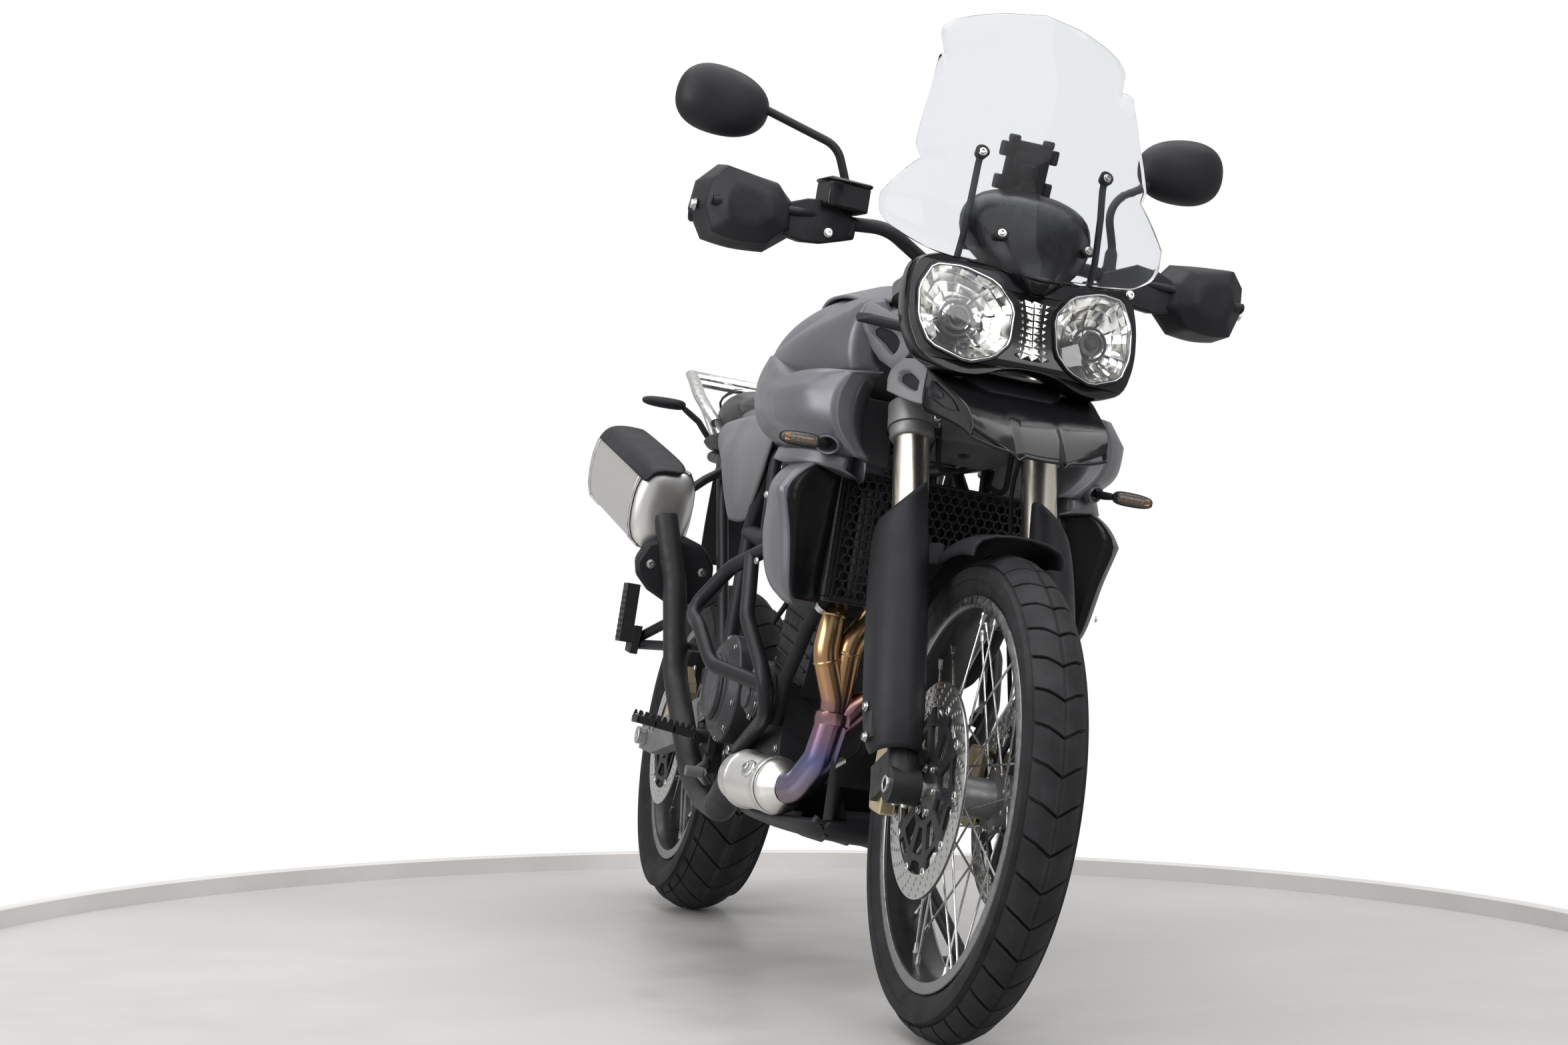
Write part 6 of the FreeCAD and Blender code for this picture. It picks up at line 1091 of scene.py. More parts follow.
# Mirrors
def make_mirrors():
    corners = 24
    heads = Shape()
    stalks = Shape()
    glass = Shape()
    for side, elbow, joint, centre in ((-1, (-250, -425, 1291), (-378, -412, 1329), (-436, -405, 1326)),
                                       (1, (200, -425, 1291), (285, -405, 1352), (322, -395, 1372))):
        elbow, joint, centre = V(*elbow), V(*joint), V(*centre)
        tilt = Matrix.Rotation(math.radians(-6 * side), 3, "Y") @ Matrix.Rotation(math.radians(10), 3, "X")
        rings = []
        for back, size in ((6, 0.86), (4, 0.97), (-2, 1.0), (-16, 0.95), (-30, 0.8), (-40, 0.55), (-45, 0.28)):
            ring = []
            for a in around(corners):
                x = 75 * size * boxy(math.cos(a), 0.86)
                z = 53 * size * boxy(math.sin(a), 0.86) * (1 + 0.1 * side * math.cos(a))
                ring.append(centre + tilt @ V(x, back, z))
            rings.append(ring)
        heads.grid(rings, ring=True).close(corners)
        flat = [tilt.inverted() @ (p - centre) for p in rings[0]]
        glass.add([centre + tilt @ V(p.x, 3.2, p.z) for p in flat], [tuple(range(corners))])
        root = V(side * (BAR[2].x + 66), BEND.y - 2, BEND.z + 10)
        stalks.tube(eased([root, root + V(0, 0, 40), elbow, joint], 44), 6.6, 16)
        neck_end = centre + tilt @ V(-side * 52, -20, 0)
        stalks.tube([joint + (elbow - joint).normalized() * 4, joint, joint.lerp(neck_end, 0.5), neck_end],
                    [9, 12, 12, 8], 16)
        stalks.tube([root + UPWARD * up for up in (-16, 2, 10, 30, 38)], [13, 13, 10.5, 10, 7], 6)
    piece("mirror_heads", heads, "fork", plastic_black, ["mirrors"], smooth=1)
    piece("mirror_stalks", stalks, "fork", frame_black)
    piece("mirror_glass", glass, "fork", mirror_silver)


make_mirrors()


# Nose: lamps
def nose_spot(across, along, up):
    return V(across * 180, -760 + (along + 0.34 * up + 0.28 * across ** 2) * 160, 940 + up * 180)


# Outlines over the nose, across and up, for nose_spot
LAMP = ((0.19, 0.3), (0.32, 0.16), (0.53, 0.09), (0.83, 0.2), (0.925, 0.41), (0.935, 0.68), (0.83, 0.89),
        (0.6, 0.9), (0.32, 0.81), (0.16, 0.61))
LAMP_MIDDLE = (0.56, 0.49)
SURROUND = ((0, 0.72), (0.2, 0.86), (0.45, 0.96), (0.74, 0.985), (0.93, 0.92), (0.99, 0.68), (0.98, 0.38),
            (0.87, 0.1), (0.62, 0.0), (0.42, 0.01), (0.22, 0.1), (0, 0.12))


def softened(outline, rounds=1, cut=0.22):
    """Closed outline with its corners cut back, round after round."""
    for _ in range(rounds):
        outline = [tuple(p * (1 - t) + q * t for p, q in zip(a, b))
                   for a, b in zip(outline, outline[1:] + outline[:1]) for t in (cut, 1 - cut)]
    return outline


LAMP_EDGE = softened(LAMP, cut=0.15)


def lamp_ring(size, along):
    """The lamp's outline at a size and a depth, with a point half way along each of its sides."""
    corners = [(LAMP_MIDDLE[0] + (x - LAMP_MIDDLE[0]) * size, LAMP_MIDDLE[1] + (z - LAMP_MIDDLE[1]) * size)
               for x, z in LAMP_EDGE]
    ring = []
    for (x0, z0), (x1, z1) in zip(corners, corners[1:] + corners[:1]):
        ring.append(nose_spot(x0, along, z0))
        ring.append(nose_spot(x0 + (x1 - x0) * 0.5, along, z0 + (z1 - z0) * 0.5))
    return ring


def lamp_rings(*sizes):
    return [lamp_ring(size, along) for size, along in sizes]


def make_lamp_lenses():
    lens = Shape().grid(lamp_rings((0.985, 0.02), (0.98, -0.045), (0.95, -0.075), (0.7, -0.12), (0.35, -0.14)),
                        ring=True).close(2 * len(LAMP_EDGE))
    piece("lamp_lenses", lens.both(), "frame", clear_glass, ["headlamps"], wall=2.0, sharp=40)
    bezel = Shape().grid(lamp_rings((1.05, 0.03), (1.04, -0.05), (1.02, -0.085), (0.99, -0.085), (0.975, -0.06),
                                    (0.975, 0.04)), ring=True, loop=True)
    piece("lamp_bezels", bezel.both(), "frame", gloss_black, sharp=40)
    line = Shape().tube(lamp_ring(0.97, -0.07) + lamp_ring(0.97, -0.07)[:1], 1.3, 8)
    piece("lamp_rim_lines", line.both(), "frame", chrome)


def make_reflectors():
    """Bowls of flat facets in rings, each tipped its own way, with a plain bowl behind them."""
    count = 2 * len(LAMP_EDGE)
    bowl = Shape()
    draw = random.Random(7)
    rings = ((0.965, -0.04), (0.95, 0.0), (0.84, 0.07), (0.68, 0.15), (0.5, 0.22), (0.32, 0.27), (0.16, 0.29))
    for (size, along), (inner, deep) in zip(rings, rings[1:]):
        outer_ring = lamp_ring(size, along)
        inner_ring = lamp_ring(inner, deep)
        for k in range(0, count, 2):
            j = (k + 2) % count
            tip = [V(0, draw.uniform(-5, 5), 0) if size < 0.96 else V(0, 0, 0) for _ in range(2)]
            half = (tip[0] + tip[1]) / 2
            bowl.add([outer_ring[k] + tip[0], outer_ring[k + 1] + half, outer_ring[j] + tip[1],
                      inner_ring[j] + tip[0], inner_ring[k + 1] + half, inner_ring[k] + tip[1]],
                     [(0, 1, 4, 5), (1, 2, 3, 4)])
    bowl.grid(lamp_rings((0.965, 0.03), (0.86, 0.14), (0.5, 0.32), (0.1, 0.36)), ring=True)
    # The bowls' finish paints reflections: dark and light cells in its colour.
    piece("lamp_reflectors", bowl.both(), "frame", facet_chrome, sharp=8)


def make_bulbs():
    way = V(0, -1, 0.06).normalized()
    shields = Shape()
    cores = Shape()
    for x in (-0.58, 0.58):
        at = nose_spot(x, 0.1, 0.47)
        shields.turned(at, [(-40, 12), (-4, 17), (3, 18.5), (6, 17.5), (6, 14.5), (0, 13.5), (-2, 0.01)], 32, way)
        shields.turned(at + way * -8, [(0, 24), (3, 27), (6, 24), (3, 22), (0, 24)], 32, way)
        cores.turned(at, [(-1, 9.5), (4, 9.5), (6.5, 6), (7, 0.01)], 24, way)
    piece("bulb_shields", shields, "frame", engine_grey, sharp=30)
    piece("bulb_caps", cores, "frame", cast_black, sharp=30)


def make_pilot_lamp():
    """A column of small pyramids between the two lamps."""
    pilot = Shape()
    levels = 9
    for k in range(levels):
        for i in range(4):
            corners = []
            for s, u in ((i, k), (i + 1, k), (i + 1, k + 1), (i, k + 1)):
                up = 0.2 + 0.5 * u / levels
                half = 0.13 + 0.05 * (abs(up - 0.45) / 0.25) ** 1.5
                corners.append(nose_spot(half * (s / 2 - 1), -0.035 + 0.03 * (s / 2 - 1) ** 2, up))
            middle = (corners[0] + corners[1] + corners[2] + corners[3]) / 4 + V(0, -7, 1.5)
            pilot.add(corners + [middle], [(0, 1, 4), (1, 2, 4), (2, 3, 4), (3, 0, 4)])
    # The pyramids' finish paints reflections: dark and light cells in its colour.
    piece("pilot_lens", pilot, "frame", facet_chrome, wall=2, sharp=4)


def make_surround():
    outline = softened(list(SURROUND) + [(-x, z) for x, z in reversed(SURROUND[1:-1])], 2)
    hole = softened(LAMP_EDGE)
    face = Shape()
    plate_shape(face, [outline, hole, [(-x, z) for x, z in hole]], 0.04, V(0, 0, 0), across=SIDEWAYS)
    face.points = [nose_spot(p.x, -0.03 - p.y, p.z) for p in face.points]
    rings = [[nose_spot(x * size, along, 0.5 + (z - 0.5) * size) for x, z in outline]
             for size, along in ((0.985, -0.05), (1.0, -0.045), (1.015, -0.02), (1.02, 0.05), (1.02, 0.2),
                                 (0.98, 0.36), (0.9, 0.48))]
    piece("lamp_surround_face", face, "frame", gloss_black, ["lamp_surround"], sharp=30)
    skirt = Shape().grid(rings, ring=True).close(len(outline))
    piece("lamp_surround_shell", skirt, "frame", gloss_black, wall=2.5, sharp=50)
    bushes = Shape()
    places = []
    for side in (-1, 1):
        at = V(side * 125, -684, 957)
        way = V(side * 0.6, -0.8, 0)
        places.append((at, way, 0, ONE * 0.9))
        bushes.turned(at, [(-22, 6), (-22, 9), (-2, 11), (0, 10), (0, 5)], 24, way.normalized())
    bolts("lamp_screws", "frame", places)
    piece("lamp_screw_bushes", bushes, "frame", rubber)


make_lamp_lenses()
make_reflectors()
make_bulbs()
make_pilot_lamp()
make_surround()


# Nose: beak and flanks
def make_beak():
    middle = ((-668, 946), (-700, 937), (-740, 922), (-785, 901), (-822, 877), (-850, 851), (-868, 826))
    sides = ((126, -668, 950, 886), (124, -700, 939, 882), (118, -740, 922, 874), (112, -785, 904, 864),
             (106, -820, 889, 854), (103, -838, 872, 847), (101, -845, 856, 841))
    rows = []
    for k, ((y, z), (half, side_y, high, low)) in enumerate(zip(middle, sides)):
        row = []
        for u, dip in ((0, 0), (0.15, 0), (0.28, 0), (0.36, 1), (0.46, 0.5), (0.62, 0), (0.82, 0), (0.96, 0),
                       (1.0, 0)):
            bend = u ** 2.2
            deep = 5 * dip * max(0, (k - 2) / 4)
            row.append(V(half * u, y + (side_y - y) * u ** 2 + deep * 0.5, z + (high - z) * bend - deep))
        row.append(V(half + 1.5, side_y + 1, (high + low) / 2))
        row.append(V(half + 0.5, side_y + 2, low))
        rows.append(row)
    piece("beak_blade", Shape().grid(whole_rows(rows)), "frame", gloss_black, ["beak"], wall=4,
          smooth=2, crease=20)
    rings = []
    for size, deep in ((1.0, 0), (0.94, -2), (0.86, 3.5), (0.2, 4.5)):
        ring = []
        for y, z, x in ((-690, 908, 127.5), (-702, 929, 126), (-732, 916, 121.5), (-776, 898, 115.5),
                        (-800, 880, 112), (-752, 884, 119)):
            ring.append(V(x - deep + (1 - size) * (y + 742) * 0.12, -742 + (y + 742) * size,
                          903 + (z - 903) * size))
        rings.append(ring)
    pocket = Shape().grid(rings, ring=True).close(6)
    piece("beak_side_pockets", pocket.both(), "frame", plastic_black, smooth=1, crease=30)
    edge = []
    for u in (-1 + 2 * k / 24 for k in range(25)):
        notch = 7 if 0.3 < abs(u) < 0.4 else 0
        edge.append(V(101.5 * u, -868 + 24 * abs(u) ** 2, 826 + 17 * abs(u) ** 2.2 - notch))
    piece("beak_lip", Shape().tube(edge, 2.6, 10), "frame", gloss_black)
    rings = []
    for y, z0, z1, half in ((-735, 905, 926, 60), (-700, 905, 952, 84), (-640, 915, 966, 92)):
        rings.append([V(-half, y, z0), V(half, y, z0), V(half * 0.8, y, z1), V(-half * 0.8, y, z1)])
    root = Shape().grid(rings, ring=True, caps=True)
    piece("beak_bridge", root, "frame", plastic_black, bevel=4)


make_beak()


def recessed(shape, outline, hole, out, raise_by, sink, thick):
    """Moulded plate with a raised shoulder and one sunk pocket, which has as many corners as the plate."""
    outer = [V(*p) for p in outline]
    inner = [V(*p) for p in hole]
    rings = [[p - out * thick for p in outer], [p - out * 1.0 for p in outer],
             [p.lerp(q, 0.08) + out * 0.5 for p, q in zip(outer, inner)],
             [p.lerp(q, 0.5) + out * raise_by for p, q in zip(outer, inner)],
             [p.lerp(q, 0.88) + out * raise_by for p, q in zip(outer, inner)],
             inner]
    middle = sum(inner, V(0, 0, 0)) / len(inner)
    rings.append([p.lerp(middle, 0.12) - out * sink for p in inner])
    rings.append([p.lerp(middle, 0.6) - out * (sink + 1) for p in inner])
    count = len(outer)
    shape.grid(rings, ring=True).close(count)
    base = len(shape.points) - count * len(rings)
    shape.faces.append(tuple(base + i for i in reversed(range(count))))


def make_flanks():
    out = V(0.92, -0.36, 0.12)
    upper = ((192, -452, 1044), (176, -486, 1057), (153, -540, 1036), (141, -575, 1021), (135, -600, 995),
             (136, -592, 974), (139, -562, 960), (142, -535, 955), (154, -504, 969), (163, -489, 984),
             (172, -476, 1004), (184, -458, 1024))
    upper_pocket = ((172, -492, 1017), (167, -503, 1023), (154, -530, 1014), (145, -555, 1002), (141, -566, 991),
                    (141, -562, 982), (142, -553, 976), (144, -543, 974), (151, -528, 984), (156, -518, 993),
                    (163, -506, 1001), (170, -494, 1009))
    lower = ((138, -578, 969), (129, -618, 967), (123, -645, 953), (118, -668, 939), (122, -676, 908),
             (128, -670, 896), (134, -640, 900), (141, -600, 908), (151, -560, 918), (148, -544, 938),
             (143, -538, 954), (140, -555, 962))
    lower_pocket = ((134, -580, 949), (131, -594, 949), (127, -612, 942), (123, -630, 932), (125, -634, 918),
                    (128, -626, 917), (132, -610, 921), (136, -592, 927), (139, -576, 933), (140, -570, 940),
                    (138, -568, 945), (136, -573, 948))
    shape = Shape()
    recessed(shape, upper, upper_pocket, out, 5, 7, 14)
    recessed(shape, lower, lower_pocket, out, 2, 6, 14)
    piece("nose_flank_panels", shape.both(), "frame", nose_grey, ["nose_flanks"], bevel=1.6,
          sharp=32)
    floors = Shape()
    for hole in (upper_pocket, lower_pocket):
        inner = [V(*p) for p in hole]
        middle = sum(inner, V(0, 0, 0)) / len(inner)
        rings = [[p.lerp(middle, share) - out * deep for p in inner] for share, deep in ((0.16, 5.2), (0.35, 5.6))]
        floors.grid(rings, ring=True).close(len(inner))
    piece("flank_pocket_floors", floors.both(), "frame", plastic_black, wall=1.0)


make_flanks()


# Dash, screen and their fixings
def make_dash():
    rings = []
    for z, half, front, back in ((1076, 16, -738, -700), (1086, 30, -742, -690), (1104, 54, -743, -655),
                                 (1128, 78, -737, -615), (1152, 92, -729, -585), (1180, 98, -715, -570),
                                 (1206, 94, -698, -567), (1224, 80, -674, -568), (1236, 58, -648, -575),
                                 (1241, 34, -630, -590)):
        middle = (front + back) / 2
        deep = (back - front) / 2
        ring = []
        for k, a in enumerate(around(32)):
            x = half * boxy(math.cos(a), 0.8)
            y = deep * boxy(math.sin(a), 0.9 if math.sin(a) < 0 else 0.45)
            ridge = 5 if k in (21, 27) else 0
            ring.append(V(x, middle + y - ridge * min(1, max(0, (1230 - z) / 60)), z))
        rings.append(ring)
    shape = Shape().grid(rings, ring=True, caps=True)
    piece("dash_cowl", shape, "frame", cowl_black, ["instruments"], smooth=1, crease=30)
    facing = V(0, 1, 0.1).normalized()
    face = Shape()
    soft_box(face, V(0, -570, 1184), (74, 3, 36), (SIDEWAYS, facing, UPWARD))
    piece("dash_display", face, "frame", screen_dark, bevel=4)
    dials = Shape()
    for x, radius in ((-34, 24), (36, 20)):
        dials.turned(V(x, -567, 1186), [(0, radius + 3), (4, radius + 3), (5, radius), (3, radius - 1), (3, 0.01)],
                     32, facing)
    piece("dash_dials", dials, "frame", steel)


make_dash()


# Phone holder: back plate with clamping jaws, on a ball joint
def make_phone_holder():
    low, high = (Vector(c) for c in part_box("phone_holder"))
    middle = LEANING.inverted() @ ((low + high) / 2) / MM
    back_way = V(0, 0.97, 0.22).normalized()
    up_way = SIDEWAYS.cross(back_way)
    axes = (SIDEWAYS, back_way, up_way)
    at = V(middle.x, middle.y, middle.z + 12)
    shape = Shape()
    soft_box(shape, at, (34, 6, 40), axes)
    soft_box(shape, at + back_way * -8, (22, 5, 24), axes)
    for side in (-1, 1):
        for lift in (-26, 24):
            soft_box(shape, at + SIDEWAYS * side * 38 + up_way * lift, (6, 12, 11), axes)
        soft_box(shape, at + SIDEWAYS * side * 20 + up_way * -41, (9, 11, 5), axes)
        soft_box(shape, at + SIDEWAYS * side * 27 + up_way * 41, (7, 11, 6), axes)
    piece("phone_holder_cradle", shape, "frame", holder_black, ["phone_holder"], bevel=3)
    neck = Shape()
    foot = V(middle.x, middle.y + 8, low.z / MM + 4)
    start = at + back_way * -12 + up_way * -6
    neck.turned(start, [(-12, 0.01), (-10, 10), (0, 14), (10, 14), (13, 9), (14, 0.01)], 24, up_way)
    neck.tube([start + up_way * -8, (start + foot) / 2, foot], [9, 7, 8], 20)
    neck.turned(foot, [(-4, 0.01), (-4, 16), (6, 16), (8, 13), (8, 0.01)], 24, UPWARD)
    neck.turned((start + foot) / 2, [(-14, 0.01), (-14, 8), (14, 8), (14, 0.01)], 6, SIDEWAYS)
    piece("phone_holder_stem", neck, "frame", holder_black, bevel=1)


make_phone_holder()


SCREEN = (
    ((0, -768, 1088), (12, -767, 1088), (20, -765, 1090), (55, -752, 1095), (90, -738, 1100), (130, -712, 1108),
     (160, -692, 1116)),
    ((0, -757, 1120), (18, -754, 1120), (32, -751, 1121), (72, -735, 1125), (112, -712, 1129), (160, -680, 1134),
     (198, -655, 1139)),
    ((0, -746, 1153), (25, -743, 1153), (43, -739, 1153), (86, -722, 1155), (130, -700, 1156), (182, -662, 1159),
     (223, -620, 1161)),
    ((0, -728, 1200), (34, -725, 1200), (60, -719, 1200), (100, -704, 1200), (140, -685, 1200), (186, -655, 1199),
     (223, -617, 1197)),
    ((0, -713, 1236), (42, -710, 1236), (74, -703, 1236), (105, -689, 1235), (135, -672, 1234), (172, -646, 1233),
     (200, -623, 1231)),
    ((0, -704, 1262), (48, -700, 1262), (83, -690, 1262), (108, -677, 1260), (130, -664, 1258), (153, -647, 1257),
     (175, -631, 1256)),
    ((0, -698, 1277), (50, -694, 1277), (88, -684, 1277), (114, -669, 1277), (138, -655, 1277), (161, -638, 1277),
     (183, -622, 1277)),
    ((0, -680, 1315), (56, -674, 1315), (101, -657, 1315), (122, -645, 1315), (141, -633, 1315), (160, -620, 1315),
     (178, -610, 1315)),
    ((0, -665, 1350), (62, -656, 1350), (114, -632, 1350), (128, -622, 1351), (141, -612, 1351), (156, -604, 1351),
     (170, -599, 1352)),
    ((0, -642, 1395), (70, -630, 1395), (131, -594, 1396), (140, -590, 1396), (147, -588, 1395), (155, -589, 1394),
     (163, -589, 1393)),
    ((0, -622, 1430), (76, -606, 1432), (144, -562, 1433), (148, -566, 1432), (152, -570, 1431), (155, -575, 1429),
     (158, -581, 1427)),
)
SCREEN_TOP = (SCREEN[-1][:3], ((0, -602, 1470), (78, -588, 1468), (150, -548, 1462)),
              ((0, -588, 1500), (76, -576, 1494), (147, -535, 1484)),
              ((0, -578, 1520), (60, -568, 1512), (112, -545, 1502)))


def make_screen():
    shape = Shape().grid(whole_rows(SCREEN)).grid(whole_rows(SCREEN_TOP))
    piece("windscreen_panel", shape, "frame", screen_glass, ["windscreen"], wall=3.4, wall_side=1,
          smooth=2, crease=13, merge=0.5)
    out = V(0, -0.92, 0.39)
    rods = Shape()
    screws = []
    washers = []
    for side in (-1, 1):
        rods.tube(eased(sided(side, ((105, -655, 1112), (104, -668, 1150), (101, -671, 1215), (98, -668, 1262),
                                     (98, -676, 1275))), 50), 5.2, 14)
        rods.rod(V(side * 105, -655, 1104), V(side * 105, -655, 1122), 11, 6, 1.5)
        rods.turned(V(side * 98, -676, 1275), [(-8, 0.01), (-8, 9), (4, 11), (5, 0.01)], 20, out)
        rods.rod(V(side * 67, -706, 1150), V(side * 67, -728, 1153), 7, 16, 1)
        way = V(side * 0.25, out.y, out.z)
        for x, y, z in ((98, -681, 1275), (67, -735, 1153)):
            screws.append((V(side * x, y, z), way, 0, ONE * 0.9))
            washers.append((V(side * x, y + 0.6, z), way))
    piece("screen_bracket_rods", rods, "frame", frame_black, ["screen_brackets"])
    bolts("screen_bolts", "frame", screws, 5.5, 5)
    washer = Shape().turned(V(0, 0, 0), [(-1.5, 0.01), (-1.5, 10), (0, 10.5), (1.6, 9), (1.6, 0.01)], 24, UPWARD)
    copies("screen_washers", washer, washers, "frame", rubber)


make_screen()


# Fuel tank with its cover, cap and side panels
TANK = (
    (-372, ((0, 1062), (60, 1060), (112, 1040), (124, 1000), (112, 950), (60, 925), (0, 922))),
    (-345, ((0, 1096), (72, 1092), (142, 1062), (170, 1015), (164, 950), (110, 908), (0, 905))),
    (-280, ((0, 1120), (80, 1115), (160, 1082), (205, 1022), (206, 945), (150, 895), (0, 892))),
    (-200, ((0, 1126), (84, 1121), (172, 1086), (236, 1020), (240, 940), (170, 890), (0, 890))),
    (-120, ((0, 1120), (82, 1115), (166, 1078), (232, 1008), (236, 930), (165, 888), (0, 890))),
    (-50, ((0, 1092), (76, 1087), (146, 1052), (196, 990), (200, 925), (140, 886), (0, 890))),
    (10, ((0, 1052), (66, 1047), (118, 1018), (152, 968), (156, 918), (112, 886), (0, 888))),
    (60, ((0, 1008), (54, 1003), (92, 980), (116, 945), (120, 910), (92, 888), (0, 888))),
    (92, ((0, 972), (44, 968), (70, 952), (86, 930), (90, 908), (72, 892), (0, 892))),
)


def make_tank():
    rings = [mirrored_ring(y, outline) for y, outline in TANK]
    piece("tank_body", Shape().grid(rings, ring=True, caps=True), "frame", body_grey, ["fuel_tank"],
          smooth=3)
    cover = []
    for y, (middle, shoulder, edge) in ((y, outline[:3]) for y, outline in TANK[1:7]):
        row = []
        for k in range(9):
            share = k / 4
            a, b, f = (middle, shoulder, share) if k < 4 else (shoulder, edge, (share - 1) * 0.9)
            row.append(V((a[0] + (b[0] - a[0]) * f) * 0.98, y, a[1] + (b[1] - a[1]) * f + 3.0))
        cover.append(row)
    piece("tank_top_cover", Shape().grid(whole_rows(cover)), "frame", plastic_grey, wall=5,
          wall_side=1, smooth=2)
    at = V(0, -167, 1124)
    cap = Shape().turned(at, [(-6, 0.01), (-6, 50), (9, 50), (13, 47), (14, 40), (15.5, 37), (15.5, 12), (19, 9),
                              (19, 0.01)], 56, UPWARD)
    piece("tank_cap", cap, "frame", gloss_black)
    angles = [math.radians(20 + 360 * k / 7) for k in range(7)]
    bolts("tank_cap_bolts", "frame", [(at + V(43 * math.cos(a), 43 * math.sin(a), 13), UPWARD) for a in angles],
          3, 2.5)


make_tank()


def make_tank_panels():
    table = (
        (-486, ((138, 1046), (148, 1040), (155, 1022), (157, 1000), (155, 978), (149, 964), (138, 958))),
        (-480, ((150, 1066), (180, 1058), (190, 1032), (194, 1000), (192, 970), (184, 950), (150, 944))),
        (-440, ((150, 1072), (194, 1049), (206, 1026), (212, 1000), (211, 968), (203, 946), (160, 938))),
        (-390, ((150, 1078), (212, 1033), (224, 1014), (230, 990), (229, 964), (221, 943), (170, 934))),
        (-330, ((160, 1078), (229, 1018), (240, 1002), (246, 982), (246, 960), (238, 941), (180, 932))),
        (-270, ((170, 1070), (238, 1006), (247, 992), (252, 974), (251, 957), (244, 942), (190, 932))),
        (-215, ((190, 1040), (238, 996), (246, 984), (250, 968), (249, 955), (243, 946), (200, 940))),
    )
    shape = Shape().grid(level_rows(table)).both()
    piece("tank_side_panels", shape, "frame", body_grey, wall=4, smooth=2, crease=32)


make_tank_panels()


# Shrouds beside the tank, the lower pieces that carry the indicators, and the pockets behind those
def make_shrouds():
    table = (
        # y, then (x, z) from the top edge down to the lower edge
        (-416, ((84, 917), (86, 910), (88, 890), (88, 860), (86, 835), (84, 812))),
        (-420, ((104, 917), (108, 910), (112, 890), (112, 860), (108, 835), (104, 812))),
        (-430, ((138, 917), (143, 910), (147, 890), (147, 860), (143, 835), (138, 812))),
        (-468, ((146, 927), (151, 920), (155, 895), (156, 862), (152, 836), (146, 811))),
        (-508, ((151, 938), (160, 930), (166, 902), (166, 864), (158, 838), (151, 811))),
        (-536, ((155, 942), (178, 935), (190, 906), (190, 866), (178, 840), (152, 812))),
        (-542, ((154, 946), (205, 938), (222, 908), (222, 870), (208, 842), (172, 813))),
        (-517, ((166, 949), (227, 941), (250, 910), (250, 872), (236, 845), (194, 814))),
        (-478, ((178, 949), (244, 941), (271, 908), (271, 868), (256, 846), (212, 814))),
        (-430, ((188, 946), (256, 938), (280, 905), (279, 864), (266, 846), (224, 815))),
        (-380, ((194, 946), (262, 935), (282, 908), (279, 868), (264, 850), (224, 818))),
        (-320, ((198, 962), (262, 951), (281, 915), (277, 873), (258, 853), (216, 823))),
        (-260, ((202, 986), (257, 973), (279, 928), (271, 881), (248, 860), (206, 832))),
        (-200, ((204, 998), (248, 983), (265, 940), (259, 895), (236, 866), (198, 841))),
        (-140, ((204, 990), (236, 975), (251, 936), (247, 896), (226, 866), (194, 847))),
        (-90, ((200, 962), (222, 950), (236, 922), (232, 890), (216, 864), (188, 852))),
        (-40, ((186, 930), (198, 922), (206, 906), (204, 886), (194, 872), (178, 866))),
    )
    shape = Shape().grid(level_rows(table)).both()
    piece("shroud_panels", shape, "frame", body_grey, ["tank_shrouds"], wall=4, smooth=2, crease=34)


def make_shroud_sills():
    table = (
        (-418, ((84, 818), (90, 813), (92, 793), (84, 781))),
        (-432, ((136, 820), (144, 814), (146, 792), (136, 780))),
        (-488, ((146, 822), (158, 816), (161, 792), (146, 780))),
        (-518, ((151, 822), (180, 816), (184, 794), (151, 780))),
        (-515, ((160, 822), (207, 817), (213, 796), (150, 782))),
        (-486, ((164, 822), (236, 818), (243, 798), (164, 784))),
        (-446, ((176, 824), (251, 819), (258, 800), (176, 786))),
        (-390, ((186, 826), (254, 821), (260, 802), (186, 788))),
        (-330, ((192, 830), (244, 827), (250, 808), (192, 794))),
        (-270, ((192, 838), (222, 835), (226, 820), (192, 810))),
    )
    shape = Shape().grid(level_rows(table), ring=True, caps=True).both()
    piece("shroud_sills", shape, "frame", body_grey, smooth=2, crease=50)


def make_indicator_pockets():
    out = V(0.66, -0.68, -0.32).normalized()
    along = V(0.74, 0.67, 0).normalized()
    upward = out.cross(along).normalized()
    at = V(217, -521, 826)
    corners = 28
    rim = Shape()
    floor = Shape()
    for shape, rings in ((rim, ((21, 15, -8), (21, 15, 0.5), (19.5, 13.5, 2.4), (17.5, 11.5, 1.6), (17, 11, -1))),
                         (floor, ((17.2, 11.2, 0.4), (14, 8.5, -0.4), (4, 3, -0.6)))):
        shape.grid([[at + along * (wide * math.cos(a)) + upward * (tall * math.sin(a)) + out * lift
                     for a in around(corners)] for wide, tall, lift in rings], ring=True)
    floor.close(corners)
    piece("indicator_pocket_rims", rim.both(), "frame", body_grey)
    piece("indicator_pockets", floor.both(), "frame", cowl_black)


make_shrouds()
make_shroud_sills()
make_indicator_pockets()


